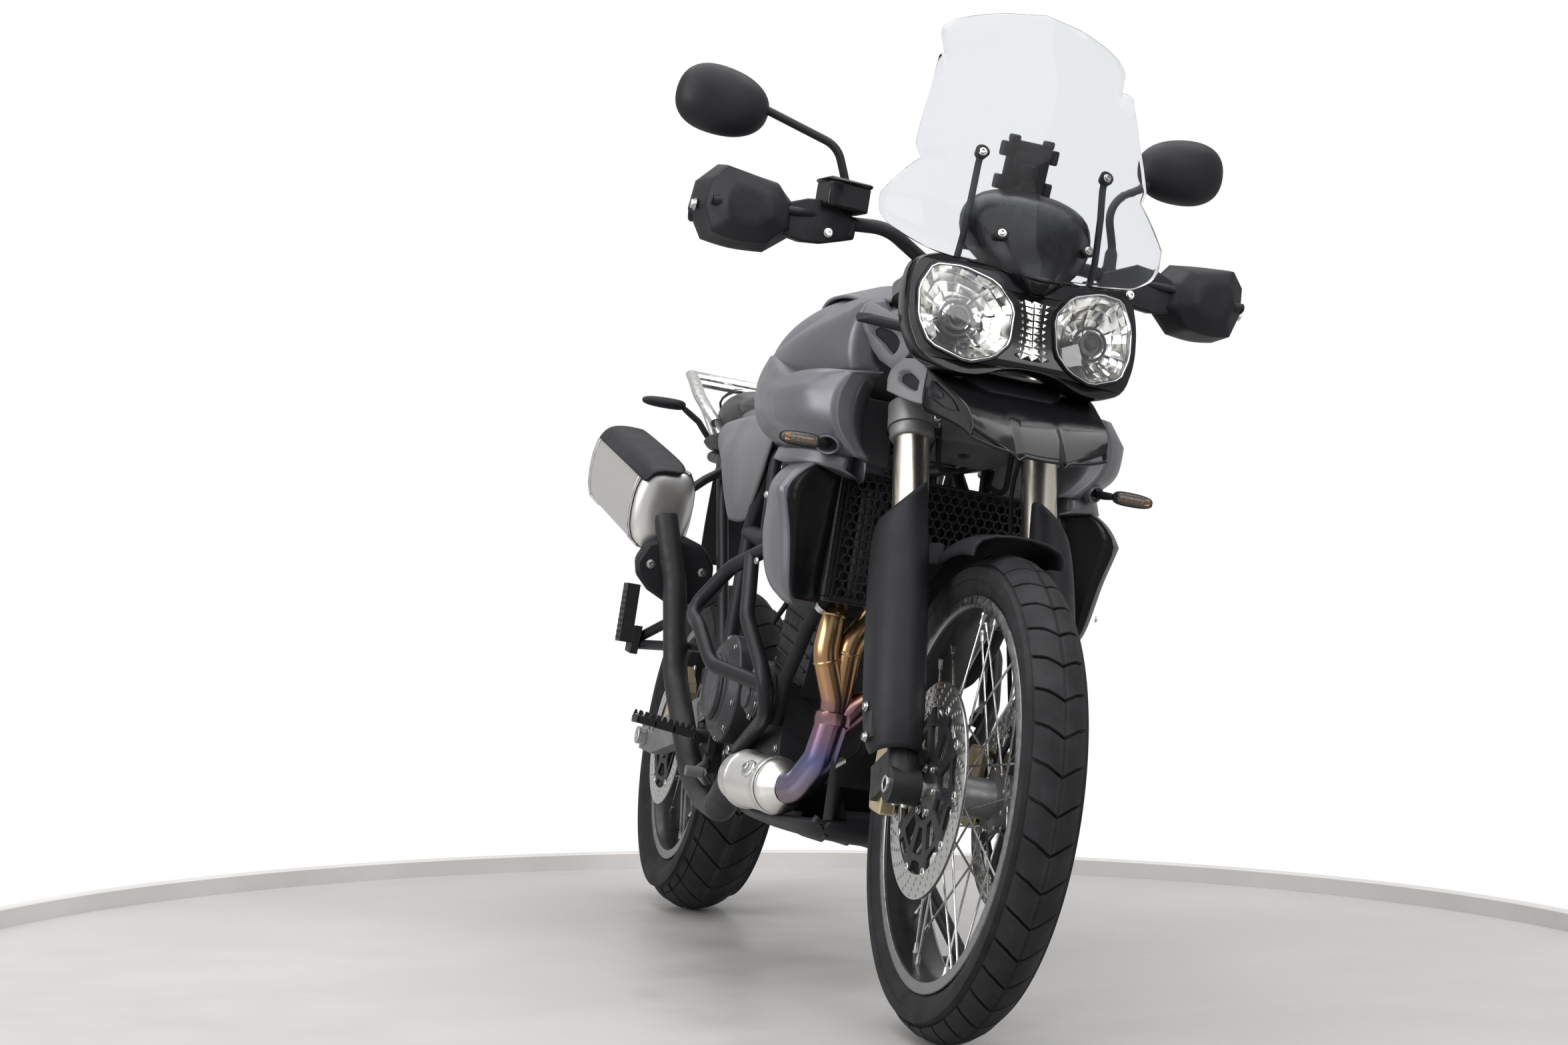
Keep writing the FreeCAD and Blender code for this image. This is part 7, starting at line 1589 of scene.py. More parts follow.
# Cowls beside the radiator
def make_cowls():
    table = (
        (818, ((160, -455), (166, -470), (196, -488), (204, -485), (214, -440), (208, -398), (180, -380))),
        (797, ((170, -455), (178, -476), (228, -502), (236, -498), (248, -440), (240, -398), (205, -380))),
        (776, ((170, -455), (180, -479), (254, -508), (262, -502), (268, -440), (258, -392), (208, -370))),
        (752, ((170, -455), (182, -480), (269, -510), (276, -503), (277, -440), (264, -392), (208, -368))),
        (722, ((170, -455), (184, -480), (261, -509), (268, -502), (272, -440), (262, -394), (208, -368))),
        (690, ((170, -455), (187, -480), (251, -508), (258, -502), (270, -445), (264, -396), (210, -370))),
        (640, ((170, -455), (192, -480), (243, -506), (250, -500), (262, -448), (256, -402), (208, -376))),
        (612, ((172, -455), (196, -478), (238, -502), (244, -497), (252, -450), (246, -410), (204, -384))),
        (592, ((176, -456), (199, -474), (230, -494), (236, -490), (238, -455), (230, -420), (200, -396))),
        (582, ((180, -460), (202, -468), (218, -481), (223, -477), (222, -455), (216, -430), (198, -410))),
    )
    rows = [[V(x, y, z) for x, y in outline] for z, outline in table]
    shape = Shape().grid(rows, ring=True, caps=True).both()
    piece("radiator_cowl_shells", shape, "frame", body_grey, ["radiator_cowls"], smooth=2, crease=34)
    # Dark sheets laid just in front of the cowls' front faces: painted shade, where those faces lie in shadow.
    shade_sheet_rows = []
    for z, outline in table[1:-1]:
        inner, edge = V(*outline[1], z), V(*outline[2], z)
        shade_sheet_rows.append([V(172, -448, z), inner + V(-4, -1.5, 0), inner.lerp(edge, 0.5) + V(0, -2.4, 0),
                       edge + V(-2.5, -1.6, 0)])
    piece("radiator_cowl_linings", Shape().grid(shade_sheet_rows).both(), "frame", cowl_black, wall=2.4,
          smooth=1)
    bolts("cowl_screws", "frame", [(V(side * 277, y, z), V(side, -0.3, 0)) for side in (-1, 1)
                                   for y, z in ((-440, 742), (-446, 640))], 4, 3)


make_cowls()


# Radiator: end tanks, fins and mesh guard in its frame
def make_radiator():
    tanks = Shape()
    for side in (-1, 1):
        soft_box(tanks, V(side * 150, -437, 700), (15, 17, 100))
    for z in (796, 604):
        soft_box(tanks, V(0, -437, z), (165, 17, 6))
    piece("radiator_tanks", tanks, "frame", radiator_black, ["radiator"], bevel=4)
    fins = Shape()
    for k in range(27):
        soft_box(fins, V(-132 + 264 * k / 26, -437, 700), (1.0, 14, 94))
    piece("radiator_fins", fins, "frame", radiator_black)


def make_radiator_guard():
    """Mesh of three-armed stars in staggered rows. The arms of neighbours meet in hexagons."""
    pitch = 15.0
    thick = 1.5
    depth = V(0, 3, 0)
    mesh = Shape()
    for row in range(15):
        for col in range(21):
            base = V(-150 + pitch * col + (pitch / 2 if row % 2 else 0), -462, 608 + 13 * row)
            if abs(base.x) > 152:
                continue
            for a in (math.radians(90 + 120 * k) for k in range(3)):
                tip = base + V(pitch * 0.56 * math.cos(a), 0, pitch * 0.56 * math.sin(a))
                side = V(-math.sin(a), 0, math.cos(a)) * thick
                flat = [base - side, base + side, tip + side, tip - side]
                mesh.add(flat + [p + depth for p in flat],
                         [(0, 3, 2, 1), (4, 5, 6, 7), (0, 1, 5, 4), (1, 2, 6, 5), (2, 3, 7, 6), (3, 0, 4, 7)])
    piece("radiator_mesh", mesh, "frame", radiator_black)
    bar = Shape().tube([V(x, -460, z) for x, z in ((-157, 602), (157, 602), (157, 800), (-157, 800), (-157, 602))],
                       4, 10)
    piece("radiator_guard_frame", bar, "frame", plastic_black)


make_radiator()
make_radiator_guard()


# Seats: sewn pads with welts, stitches and side bands
def make_seat_pad(name, node, table):
    rings = []
    for y, half, low, high in table:
        tall = high - low
        rings.append(mirrored_ring(y, [(half * x, z) for x, z in (
            (0, low), (0.6, low), (0.86, low + tall * 0.03), (0.97, low + tall * 0.28), (1.0, low + tall * 0.55),
            (0.9, low + tall * 0.84), (0.66, high - tall * 0.03), (0.34, high), (0, high - tall * 0.01))]))
    shape = Shape().grid(rings, ring=True, caps=True)
    obj = piece(name, shape, "frame", seat_grey, [node], smooth=3, crease=70)


def make_seat_trim():
    welts = Shape()
    stitches = []
    bands = Shape()
    for side in (-1, 1):
        for route in (((93, 120, 916), (108, 160, 912), (137, 230, 908), (148, 300, 910), (149, 360, 925),
                       (147, 400, 945), (141, 424, 958)),
                      ((137, 438, 984), (137, 500, 988), (131, 570, 989), (123, 640, 989), (111, 710, 986),
                       (98, 756, 980))):
            welts.tube(eased(sided(side, route), 30), 2.4, 8)
        for route in (((93, 124, 920), (107, 160, 918), (134, 230, 914), (145, 300, 917), (146, 360, 932),
                       (143, 410, 955)),
                      ((134, 446, 990), (134, 500, 994), (128, 570, 995), (120, 640, 995), (108, 705, 992))):
            spots = evenly(sided(side, route), 48)
            stitches += [(a, (b - a).normalized()) for a, b in zip(spots, spots[1:])]
        rows = []
        for y, half, low, high in ((150, 100, 868, 888), (230, 133, 862, 892), (300, 149, 860, 896),
                                   (370, 152.5, 860, 902), (426, 148, 864, 916)):
            rows.append(sided(side, ((half - 4, y, high + 4), (half + 1.5, y, high), (half + 1.5, y, low + 6),
                                     (half - 8, y, low - 2))))
        bands.grid(rows)
    piece("seat_welts", welts, "frame", seat_band)
    stitch = Shape().rod(V(0, 0, -2.4), V(0, 0, 2.4), 0.9, 6)
    copies("seat_stitches", stitch, stitches, "frame", seat_band)
    piece("seat_side_bands", bands, "frame", seat_band, wall=2.4, smooth=1)


make_seat_pad("rider_seat_pad", "rider_seat", (
    (108, 74, 892, 916), (118, 80, 886, 922), (160, 104, 874, 922), (230, 132, 866, 918), (300, 147, 862, 922),
    (360, 150, 862, 936), (400, 148, 863, 955), (420, 144, 866, 966), (428, 136, 874, 968)))
make_seat_pad("pillion_seat_pad", "pillion_seat", (
    (432, 134, 938, 982), (446, 140, 932, 994), (500, 140, 930, 1003), (570, 134, 930, 1004), (640, 126, 930, 1003),
    (710, 114, 930, 1000), (752, 102, 931, 994), (768, 90, 938, 984)))
make_seat_trim()


# Side panels, tail, splash flap and tail light
def make_side_panels():
    table = (
        ((150, 62, 915), (158, 58, 880), (160, 72, 840), (158, 104, 800), (154, 150, 760), (148, 190, 735)),
        ((160, 120, 920), (172, 118, 880), (176, 126, 836), (172, 150, 796), (164, 190, 758), (156, 224, 732)),
        ((164, 200, 922), (182, 198, 880), (186, 200, 836), (182, 214, 796), (172, 240, 758), (162, 262, 736)),
        ((164, 290, 922), (180, 288, 882), (184, 286, 840), (180, 286, 800), (170, 288, 764), (160, 290, 742)),
        ((156, 370, 924), (170, 368, 890), (174, 358, 852), (170, 344, 818), (162, 328, 784), (154, 312, 756)),
        ((146, 440, 928), (158, 440, 902), (161, 428, 872), (158, 404, 842), (152, 374, 810), (147, 340, 780)),
        ((140, 520, 928), (148, 520, 912), (150, 508, 890), (148, 480, 866), (145, 440, 838), (142, 392, 810)),
    )
    shape = Shape().grid([sided(1, row) for row in table]).both()
    piece("side_panel_shells", shape, "frame", plastic_grey, ["side_panels"], wall=5, smooth=2)


make_side_panels()


def make_tail():
    rings = []
    for y, half, low, high in ((430, 118, 868, 922), (520, 124, 872, 929), (640, 124, 880, 930),
                               (760, 118, 890, 932), (860, 100, 900, 932), (930, 76, 908, 930),
                               (958, 62, 912, 927)):
        tall = high - low
        rings.append(mirrored_ring(y, (
            (0, high), (half * 0.8, high), (half * 0.96, high - tall * 0.16), (half, high - tall * 0.45),
            (half * 0.9, low + tall * 0.16), (half * 0.7, low), (0, low))))
    shape = Shape().grid(rings, ring=True, caps=True)
    piece("tail_shell", shape, "frame", plastic_black, ["tail_unit"], smooth=2, crease=55)
    rows = []
    for y, z, half in ((880, 905, 58), (915, 868, 56), (948, 820, 50), (975, 765, 45), (992, 715, 41),
                       (998, 684, 38)):
        rows.append([V(half * x, y - 10 * x ** 2, z) for x in (-1, -0.9, -0.4, 0, 0.4, 0.9, 1)])
    piece("splash_flap", Shape().grid(rows), "frame", plastic_black, wall=4, smooth=1)
    rings = []
    for y, half, low, high in ((938, 52, 904, 934), (958, 56, 902, 933), (974, 54, 903, 930), (982, 44, 908, 926)):
        rings.append(mirrored_ring(y, ((0, high), (half * 0.8, high), (half, (low + high) / 2), (half * 0.8, low),
                                       (0, low))))
    light = Shape().grid(rings, ring=True).close(len(rings[0]))
    piece("tail_lamp_lens", light, "frame", red_lens, ["tail_light"], smooth=1, crease=40)


make_tail()


# Indicators with their rows of diodes
def make_indicators():
    bodies = Shape()
    lenses = Shape()
    diodes = []
    for side in (-1, 1):
        for front, start, end, stalk in (
                (-1, (238, -548, 825), (301, -552, 824), ((214, -516, 826), (242, -544, 825))),
                (1, (140, 905, 986), (228, 905, 984), ((70, 912, 922), (104, 908, 960), (146, 905, 985)))):
            start, end = sided(side, (start, end))
            face = V(0, front, 0)
            rings = []
            for t, size in ((-0.04, 0.3), (0.0, 0.7), (0.1, 0.94), (0.35, 1.0), (0.7, 0.95), (0.9, 0.72),
                            (0.99, 0.35)):
                centre = start.lerp(end, t)
                rings.append([centre + UPWARD * (11.5 * size * math.sin(a))
                              - face * (13 * size * max(-0.15, math.cos(a))) for a in around(16)])
            bodies.grid(rings, ring=True, caps=True)
            rings = []
            for t, size in ((0.03, 0.6), (0.08, 0.82), (0.35, 0.88), (0.7, 0.83), (0.88, 0.62), (0.95, 0.3)):
                centre = start.lerp(end, t)
                rings.append([centre + UPWARD * (10.8 * size * math.sin(a))
                              + face * (1.6 + 7 * size * max(-0.3, math.cos(a))) for a in around(16)])
            lenses.grid(rings, ring=True, caps=True)
            diodes += [(start.lerp(end, 0.14 + 0.66 * k / 5) + face * 4.6, face) for k in range(6)]
            bodies.tube(eased(sided(side, stalk), 12), 6.5, 14)
    piece("indicator_bodies", bodies, "frame", plastic_black, ["indicators"], smooth=1)
    piece("indicator_lenses", lenses, "frame", amber_lens, smooth=1)
    chip = Shape()
    soft_box(chip, V(0, 0, 0), (3.6, 4.8, 1.4))
    copies("indicator_diodes", chip, diodes, "frame", diode_amber)


make_indicators()


# Rack and grab rail
def make_rack():
    shape = Shape()
    for side in (-1, 1):
        line = eased(sided(side, ((124, 655, 940), (136, 700, 966), (138, 790, 1002), (128, 900, 1040),
                                  (114, 1000, 1062), (92, 1068, 1069), (40, 1086, 1070), (0, 1088, 1070))), 46)
        rings = []
        for i, p in enumerate(line):
            ahead = line[min(i + 1, len(line) - 1)] - line[max(i - 1, 0)]
            ahead.normalize()
            out = ahead.cross(UPWARD).normalized()
            up = out.cross(ahead).normalized()
            rings.append([p + out * (13 * math.cos(a)) + up * (9.5 * math.sin(a)) for a in around(14)])
        shape.grid(rings, ring=True, caps=True)
    for y, z, half in ((905, 1037, 122), (1000, 1059, 108)):
        shape.tube([V(-half, y, z), V(half, y, z)], 7.5, 14)
    for side in (-1, 1):
        for start, end, radius in (((96, 790, 930), (132, 800, 1000), 8), ((104, 662, 930), (126, 660, 946), 9),
                                   ((40, 905, 1037), (40, 1084, 1069), 6.5)):
            shape.tube(sided(side, (start, end)), radius, 12)
    piece("grab_rails", shape, "frame", alloy_silver, ["rear_rack"])


make_rack()


# Exhaust: headers with flanges and welds, link pipe, collector with its bands and bolt, probe
COLLECTOR_START, COLLECTOR_END = V(-136, -316, 303), V(-178, -141, 303)


def make_headers():
    pipes = Shape()
    beads = Shape()
    flanges = Shape()
    for points in (((-122, -318, 640), (-126, -388, 602), (-134, -397, 519), (-106, -389, 452), (-100, -382, 402)),
                   ((-20, -318, 640), (-50, -388, 610), (-96, -395, 538), (-97, -388, 462), (-100, -382, 402)),
                   ((100, -318, 640), (84, -388, 602), (10, -397, 512), (-70, -389, 440), (-100, -382, 402))):
        route = eased(sided(1, points), 60, 9)
        pipes.tube(route, 20.5, 28)
        for share in (0.3, 0.62):
            i = int(len(route) * share)
            way = (route[i + 1] - route[i - 1]).normalized()
            beads.turned(route[i], [(-3, 20.4), (-1.6, 21.5), (0, 21.9), (1.6, 21.5), (3, 20.4)], 28, way)
        port = V(*points[0])
        way = (V(*points[1]) - port).normalized()
        flanges.turned(port + way * 6, [(0, 20.6), (0, 31), (8, 31), (9, 29), (9, 20.6)], 24, way)
    down = eased([V(-100, -386, 430), V(-108, -372, 356), V(-124, -340, 309), COLLECTOR_START], 40, 9)
    pipes.tube(down, 27, 32)
    beads.turned(V(-100, -383, 418), [(-14, 22), (-12, 29), (-4, 30.5), (6, 30), (8, 27)], 28, V(0.08, 0.25, -1))
    link = eased([COLLECTOR_END, V(-170, -30, 241), V(-167, 100, 250), V(-167, 210, 280), V(-196, 333, 443),
                  V(-218, 370, 618), V(-246, 408, 730)], 90, 8)
    tail = Shape().tube(link, [27] * 5 + [22] * (len(link) - 5), 28)
    piece("header_pipes", pipes, "frame", header_steel, ["exhaust_headers"])
    piece("header_welds", beads, "frame", header_steel)
    piece("header_flanges", flanges, "frame", steel)
    piece("link_pipe", tail, "frame", cast_black)


def make_collector():
    at = COLLECTOR_START
    way = (COLLECTOR_END - at).normalized()
    can = Shape().turned(at, [
        (-2, 25), (0, 27), (14, 38), (22, 43.5), (30, 44.5), (34, 43), (38, 44.5), (120, 44.5), (126, 46),
        (138, 46), (144, 44.5), (166, 40), (184, 27), (188, 25)], 48, way)
    piece("collector_shell", can, "frame", brushed_steel, ["exhaust_collector"])
    bands = Shape()
    bands.turned(at, [(34, 44.4), (36, 46.6), (46, 46.6), (48, 44.4)], 48, way)
    bands.turned(at, [(128, 46), (130, 48.2), (136, 48.2), (138, 46)], 48, way)
    out = V(-0.86, -0.28, 0.42).normalized()
    boss = at.lerp(COLLECTOR_END, 0.36) + out * 40
    bands.turned(boss, [(0, 15), (8, 15), (10, 13), (10, 0.01)], 24, out)
    piece("collector_bands", bands, "frame", alloy_silver)
    bolts("collector_bolts", "frame", [(boss + out * 10, out)], 7, 6)


def make_probe():
    at = V(-90, -350, 340)
    way = V(0.75, 0.5, 0.42).normalized()
    probe = Shape()
    probe.rod(at - way * 6, at + way * 16, 9, 6, 1)
    probe.rod(at + way * 16, at + way * 44, 6.5, 18, 1.5)
    piece("exhaust_probe", probe, "frame", steel)
    lead = Shape().tube(eased([at + way * 42, at + way * 78, V(0, -250, 430), V(60, -200, 440)], 30), 3, 10)
    piece("exhaust_probe_lead", lead, "frame", rubber)


make_headers()
make_collector()
make_probe()


# Silencer: rounded can, end caps, straps, outlet, covers and hanger
CAN_START, CAN_END = V(-252, 400, 738), V(-268, 830, 836)
CAN_LINE = (CAN_END - CAN_START).normalized()
CAN_UP = V(0.0083, -0.2219, 0.975)
CAN_SIDE = V(0.9993, 0.0374, 0.0)
CAN_LENGTH = (CAN_END - CAN_START).length
CAN_HALF_WIDTH, CAN_HALF_HEIGHT = 58, 80
CAN_SECTION = (
    (1.0, 0.05), (0.99, 0.35), (0.93, 0.66), (0.74, 0.9), (0.42, 0.99), (0.0, 1.0), (-0.42, 0.97), (-0.72, 0.86),
    (-0.92, 0.6), (-1.0, 0.25), (-1.0, -0.12), (-0.95, -0.48), (-0.8, -0.78), (-0.5, -0.95), (-0.1, -1.0),
    (0.35, -0.98), (0.7, -0.9), (0.92, -0.68), (1.0, -0.3))


def can_ring(along, size, lift=0.0):
    centre = CAN_START + CAN_LINE * (CAN_LENGTH * along)
    return [centre + CAN_SIDE * (CAN_HALF_WIDTH * (size * a)) + CAN_UP * (CAN_HALF_HEIGHT * size * b + lift)
            for a, b in CAN_SECTION]


def can_rings(*sizes):
    return [can_ring(along, size) for along, size in sizes]


def make_silencer():
    shell = Shape().grid(can_rings((0.045, 0.99), (0.05, 1.0), (0.5, 1.0), (0.955, 1.0), (0.96, 0.99)), ring=True)
    piece("silencer_shell", shell, "frame", brushed_steel, ["silencer"], smooth=1)
    caps = Shape().grid(can_rings((-0.004, 0.4), (0.0, 0.62), (0.012, 0.84), (0.03, 0.95), (0.048, 0.985)),
                        ring=True, caps=True)
    caps.grid(can_rings((0.956, 0.985), (0.975, 0.965), (0.99, 0.88), (1.0, 0.76), (0.985, 0.6), (0.97, 0.45)),
              ring=True).close(len(CAN_SECTION))
    piece("silencer_caps", caps, "frame", brushed_steel, smooth=1)
    straps = Shape()
    for along in (0.07, 0.93):
        straps.grid(can_rings((along, 1.0), (along + 0.004, 1.022), (along + 0.034, 1.022), (along + 0.038, 1.0)),
                    ring=True)
    piece("silencer_straps", straps, "frame", brushed_steel, sharp=40)
    outlet = Shape().turned(CAN_END - CAN_LINE * 40, [(0, 17), (0, 20), (52, 20), (54, 19), (54, 17), (0, 17)], 32,
                            CAN_LINE)
    piece("silencer_outlet", outlet, "frame", steel)


def make_silencer_covers():
    """Heat cover over the can, and the cover round the end of the link pipe."""
    rows = [can_ring(along, size, 4)[4:9] for along, size in (
        (-0.012, 0.9), (0.02, 1.06), (0.3, 1.075), (0.62, 1.075), (0.9, 1.06), (0.95, 1.03))]
    piece("silencer_heat_cover", Shape().grid(rows), "frame", plastic_black, ["silencer_shield"],
          wall=3.4, smooth=2)
    lower = Shape().prism([V(x, 392, z) for x, z in (
        (-290, 640), (-272, 678), (-240, 692), (-204, 694), (-166, 682), (-145, 656), (-143, 616), (-160, 588),
        (-190, 574), (-228, 576), (-262, 592), (-284, 614))], V(4, 44, 10))
    piece("silencer_lower_cover", lower, "frame", plastic_black, bevel=7)
    bolts("silencer_cover_screws", "frame", [(V(x, 392.5, z), -REARWARD) for x, z in (
        (-262, 640), (-218, 676), (-165, 640))], 6, 3)


def make_silencer_hanger():
    hanger = Shape()
    root = CAN_START + CAN_LINE * (CAN_LENGTH * 0.25) + CAN_SIDE * 56 + CAN_UP * 20
    tip = V(-120, 520, 846)
    hanger.tube([root, root.lerp(tip, 0.5) + V(0, 0, 4), tip], 8.5, 16)
    hanger.prism([root + CAN_LINE * a + CAN_UP * b for a, b in ((-26, -20), (30, -16), (24, 18), (-12, 26))],
                 CAN_SIDE * 5)
    piece("silencer_hanger", hanger, "frame", frame_black, bevel=1)
    bolts("silencer_bolts", "frame", [(root + CAN_SIDE * 6 + CAN_LINE * a, CAN_SIDE) for a in (-8, 14)], 7, 6)


make_silencer()
make_silencer_covers()
make_silencer_hanger()


# Crash bars
def make_crash_bars():
    upper_end, lower_end = (-221, 714), (-12, 340)
    bars = Shape()
    for side in (-1, 1):
        for route in (((146, *upper_end), (214, -30, 642), (258, 30, 560), (255, -40, 538), (240, -110, 476),
                       (178, -250, 455)),
                      ((196, -87, 661), (214, -190, 560), (181, -320, 423), (150, *lower_end))):
            bars.tube(eased(sided(side, route), 62, 9), 12.6, 24)
        bars.rod(V(side * 128, *lower_end), V(side * 160, *lower_end), 13, 24, 2)
        bars.rod(V(side * 126, *upper_end), V(side * 152, *upper_end), 16, 24, 2)
    piece("crash_bar_tubes", bars, "frame", frame_black, ["crash_bars"])
    bolts("crash_bar_bolts", "frame", [(V(side * x, *end), V(side, 0, 0)) for side in (-1, 1)
                                       for x, end in ((160, lower_end), (152, upper_end))], 8, 7)


make_crash_bars()


# Engine details: cylinder ribs and cam cover, bolts, cover faces, oil filter, hoses and wiring
def make_cylinder_details():
    ribs = Shape()
    for k in range(7):
        t = k / 6
        z = 462 + 136 * t
        for side in (-1, 1):
            a = V(side * 121, -252 - 51 * t, z)
            b = V(side * 121, -56 - 32 * t, 498 + 132 * t)
            ribs.prism([a + V(0, 6, 0), b - V(0, 8, 0), b - V(0, 8, -4), a + V(0, 6, 4)], V(side * 5, 0, 0))
        left, right = V(-112, -256 - 51 * t, z), V(112, -256 - 51 * t, z)
        ribs.prism([left, right, right + V(0, 0, 4), left + V(0, 0, 4)], V(0, 8, 0))
    piece("cylinder_ribs", ribs, "frame", engine_black, bevel=0.8)
    rows = []
    for t, rise in ((0, 0), (0.15, 7), (0.85, 7), (1, 0)):
        at = V(0, -318, 776).lerp(V(0, -92, 764), t)
        rows.append([V(x, at.y, at.z + up) for x, up in ((-134, -14), (-126, rise * 0.6), (-60, rise), (60, rise),
                                                         (126, rise * 0.6), (134, -14))])
    piece("cam_cover", Shape().grid(rows), "frame", engine_grey, wall=4, smooth=1, crease=40)


def make_engine_bolts():
    places = []
    for x, y, z, reach, count in ((-180, 30, 440, 82.8, 10), (-170.4, -138, 439, 36, 6),
                                  (171.6, -56, 442, 59.4, 6)):
        side = math.copysign(1, x)
        for k in range(count):
            a = 2 * math.pi * (k + 0.4) / count
            places.append((V(x, y + reach * math.cos(a), z + reach * math.sin(a)), V(side, 0, 0), a, ONE * 0.9))
    for side in (-1, 1):
        for x, y, z in ((142, -200, 290), (142, -120, 286), (142, -40, 286), (142, 40, 292), (142, 98, 330),
                        (142, -230, 360), (139, -290, 640), (139, -110, 650)):
            places.append((V(side * x, y, z), V(side, 0, 0), 0, ONE * 0.85))
    bolts("engine_bolts", "frame", places, 6, 5)


def make_cover_faces():
    faces = Shape()
    faces.turned(V(-201, 30, 440), [(0, 56), (3, 55), (4, 50), (1.5, 46), (1.5, 0.01)], 56, -SIDEWAYS)
    faces.turned(V(187, -56, 442), [(0, 40), (3, 39), (4, 35), (1.5, 32), (1.5, 0.01)], 48)
    for a in around(12):
        c, s = math.cos(a), math.sin(a)
        base = V(-176, 30 + 74 * c, 440 + 74 * s)
        faces.prism([base + V(0, reach * c - wide * s, reach * s + wide * c)
                     for reach, wide in ((8, 2.5), (8, -2.5), (-12, -2.5), (-12, 2.5))], V(-9, 0, 0))
    piece("cover_faces", faces, "frame", engine_grey, bevel=0.6)
    filter_can = Shape().turned(V(40, -262, 360), [(0, 36), (0, 38), (60, 38), (66, 34), (68, 20), (68, 0.01)], 36,
                                V(0, -1, 0.1))
    for a in around(12):
        out = V(37 * math.cos(a), 0, 37 * math.sin(a))
        filter_can.rod(V(40, -296, 363) + out, V(40, -326, 366) + out, 3.4, 8)
    piece("oil_filter", filter_can, "frame", gloss_black)


def make_hoses():
    hoses = Shape()
    for route, radius in (
            (((-130, -420, 780), (-140, -380, 800), (-128, -330, 790), (-100, -300, 775)), 15),
            (((140, -420, 628), (150, -370, 610), (152, -320, 560), (146, -260, 520), (136, -200, 500)), 15),
            (((-145, -425, 625), (-156, -360, 560), (-158, -280, 470), (-150, -230, 400)), 11),
            (((100, -270, 770), (110, -200, 800), (70, -120, 790)), 9)):
        hoses.tube(eased(sided(1, route), 50), radius, 18)
    piece("coolant_hoses", hoses, "frame", rubber)
    clamps = Shape()
    for at, way, radius in (((-134, -404, 790), (-0.4, 0.8, 0.4), 16.5), ((146, -396, 620), (0.3, 0.9, -0.2), 16.5),
                            ((-150, -392, 592), (-0.3, 0.7, -0.6), 12.5)):
        clamps.turned(V(*at), [(-5, radius - 1), (-5, radius + 0.8), (5, radius + 0.8), (5, radius - 1)], 24,
                      V(*way))
    piece("hose_clamps", clamps, "frame", steel)
    wiring = Shape()
    for route in (((120, -300, 700), (140, -240, 660), (144, -160, 600), (146, -80, 560), (142, 20, 540)),
                  ((-118, -310, 690), (-146, -250, 640), (-148, -160, 585), (-146, -100, 560)),
                  ((-60, -560, 880), (-40, -520, 820), (20, -440, 830), (60, -360, 850)),
                  ((60, -560, 870), (80, -500, 800), (70, -440, 815))):
        wiring.tube(eased(sided(1, route), 40), 4.5, 10)
    piece("wiring_runs", wiring, "frame", rubber)


make_cylinder_details()
make_engine_bolts()
make_cover_faces()
make_hoses()


# Shock, chain guard, swingarm and pivot fittings, and the rear brake's master cylinder
def make_shock():
    low, high = V(0, 280, 418), V(0, 176, 720)
    line = (high - low).normalized()
    length = (high - low).length
    other = line.cross(SIDEWAYS).normalized()
    steps = 140
    spring = []
    for k in range(steps + 1):
        a = 2 * math.pi * k / 20
        spring.append(low + line * (52 + 190 * k / steps) + (SIDEWAYS * math.cos(a) + other * math.sin(a)) * 34)
    piece("shock_spring", Shape().tube(spring, 5.4, 12), "frame", alloy_silver)
    body = Shape().turned(low, [
        (-14, 0.01), (-14, 17), (16, 17), (22, 24), (40, 24), (46, 40), (50, 40), (52, 30), (60, 24), (200, 24),
        (236, 26), (246, 41), (252, 41), (256, 30), (290, 28), (length + 6, 18), (length + 6, 0.01)], 40, line)
    body.tube([V(-138, high.y, high.z), V(138, high.y, high.z)], 11, 20)
    body.rod(V(46, 160, 700), V(46, 120, 590), 22, 28, 4)
    piece("shock_body", body, "frame", engine_black, ["rear_shock"], bevel=0.6)


def make_swingarm_fittings():
    rows = []
    for y, z in ((262, 478), (330, 487), (430, 478), (540, 464), (640, 452), (700, 450)):
        rows.append([V(x, y, z + lift) for x, lift in ((74, -8), (76, 3), (84, 8), (100, 8), (109, 3), (111, -8))])
    piece("chain_guard", Shape().grid(rows), "frame", plastic_black, wall=2.6, smooth=1)
    places = []
    caps = Shape()
    for side in (-1, 1):
        outward = V(side, 0, 0)
        for y in (722, 758):
            places.append((V(side * 136, y, 340), outward, 0, ONE * 0.8))
        for y, z in ((230, 470), (170, 340)):
            places.append((V(side * PLATE_SIDE, y, z), outward))
        caps.turned(V(side * (PLATE_SIDE + 0.4), 206, 429), [(0, 17), (1.6, 17), (1.6, 20), (0, 20)], 28, outward)
        caps.turned(V(side * 153, 196, 400), [(0, 20), (5, 20), (6, 18), (6, 9), (3, 8), (3, 0.01)], 32, outward)
    bolts("swingarm_bolts", "frame", places, 6, 5)
    piece("pivot_caps", caps, "frame", steel)
    master = Shape().rod(V(-152, 232, 360), V(-152, 250, 440), 13, 24, 3)
    master.rod(V(-152, 250, 440), V(-152, 254, 470), 16, 24, 3)
    pipe = sided(1, ((-152, 236, 366), (-160, 250, 330), (-150, 330, 345), (-140, 480, 345), (-118, 640, 372),
                     (-104, 690, 400)))
    master.tube(eased(pipe, 40), 3.6, 10)
    piece("rear_master_cylinder", master, "frame", engine_black, bevel=0.6)


make_shock()
make_swingarm_fittings()


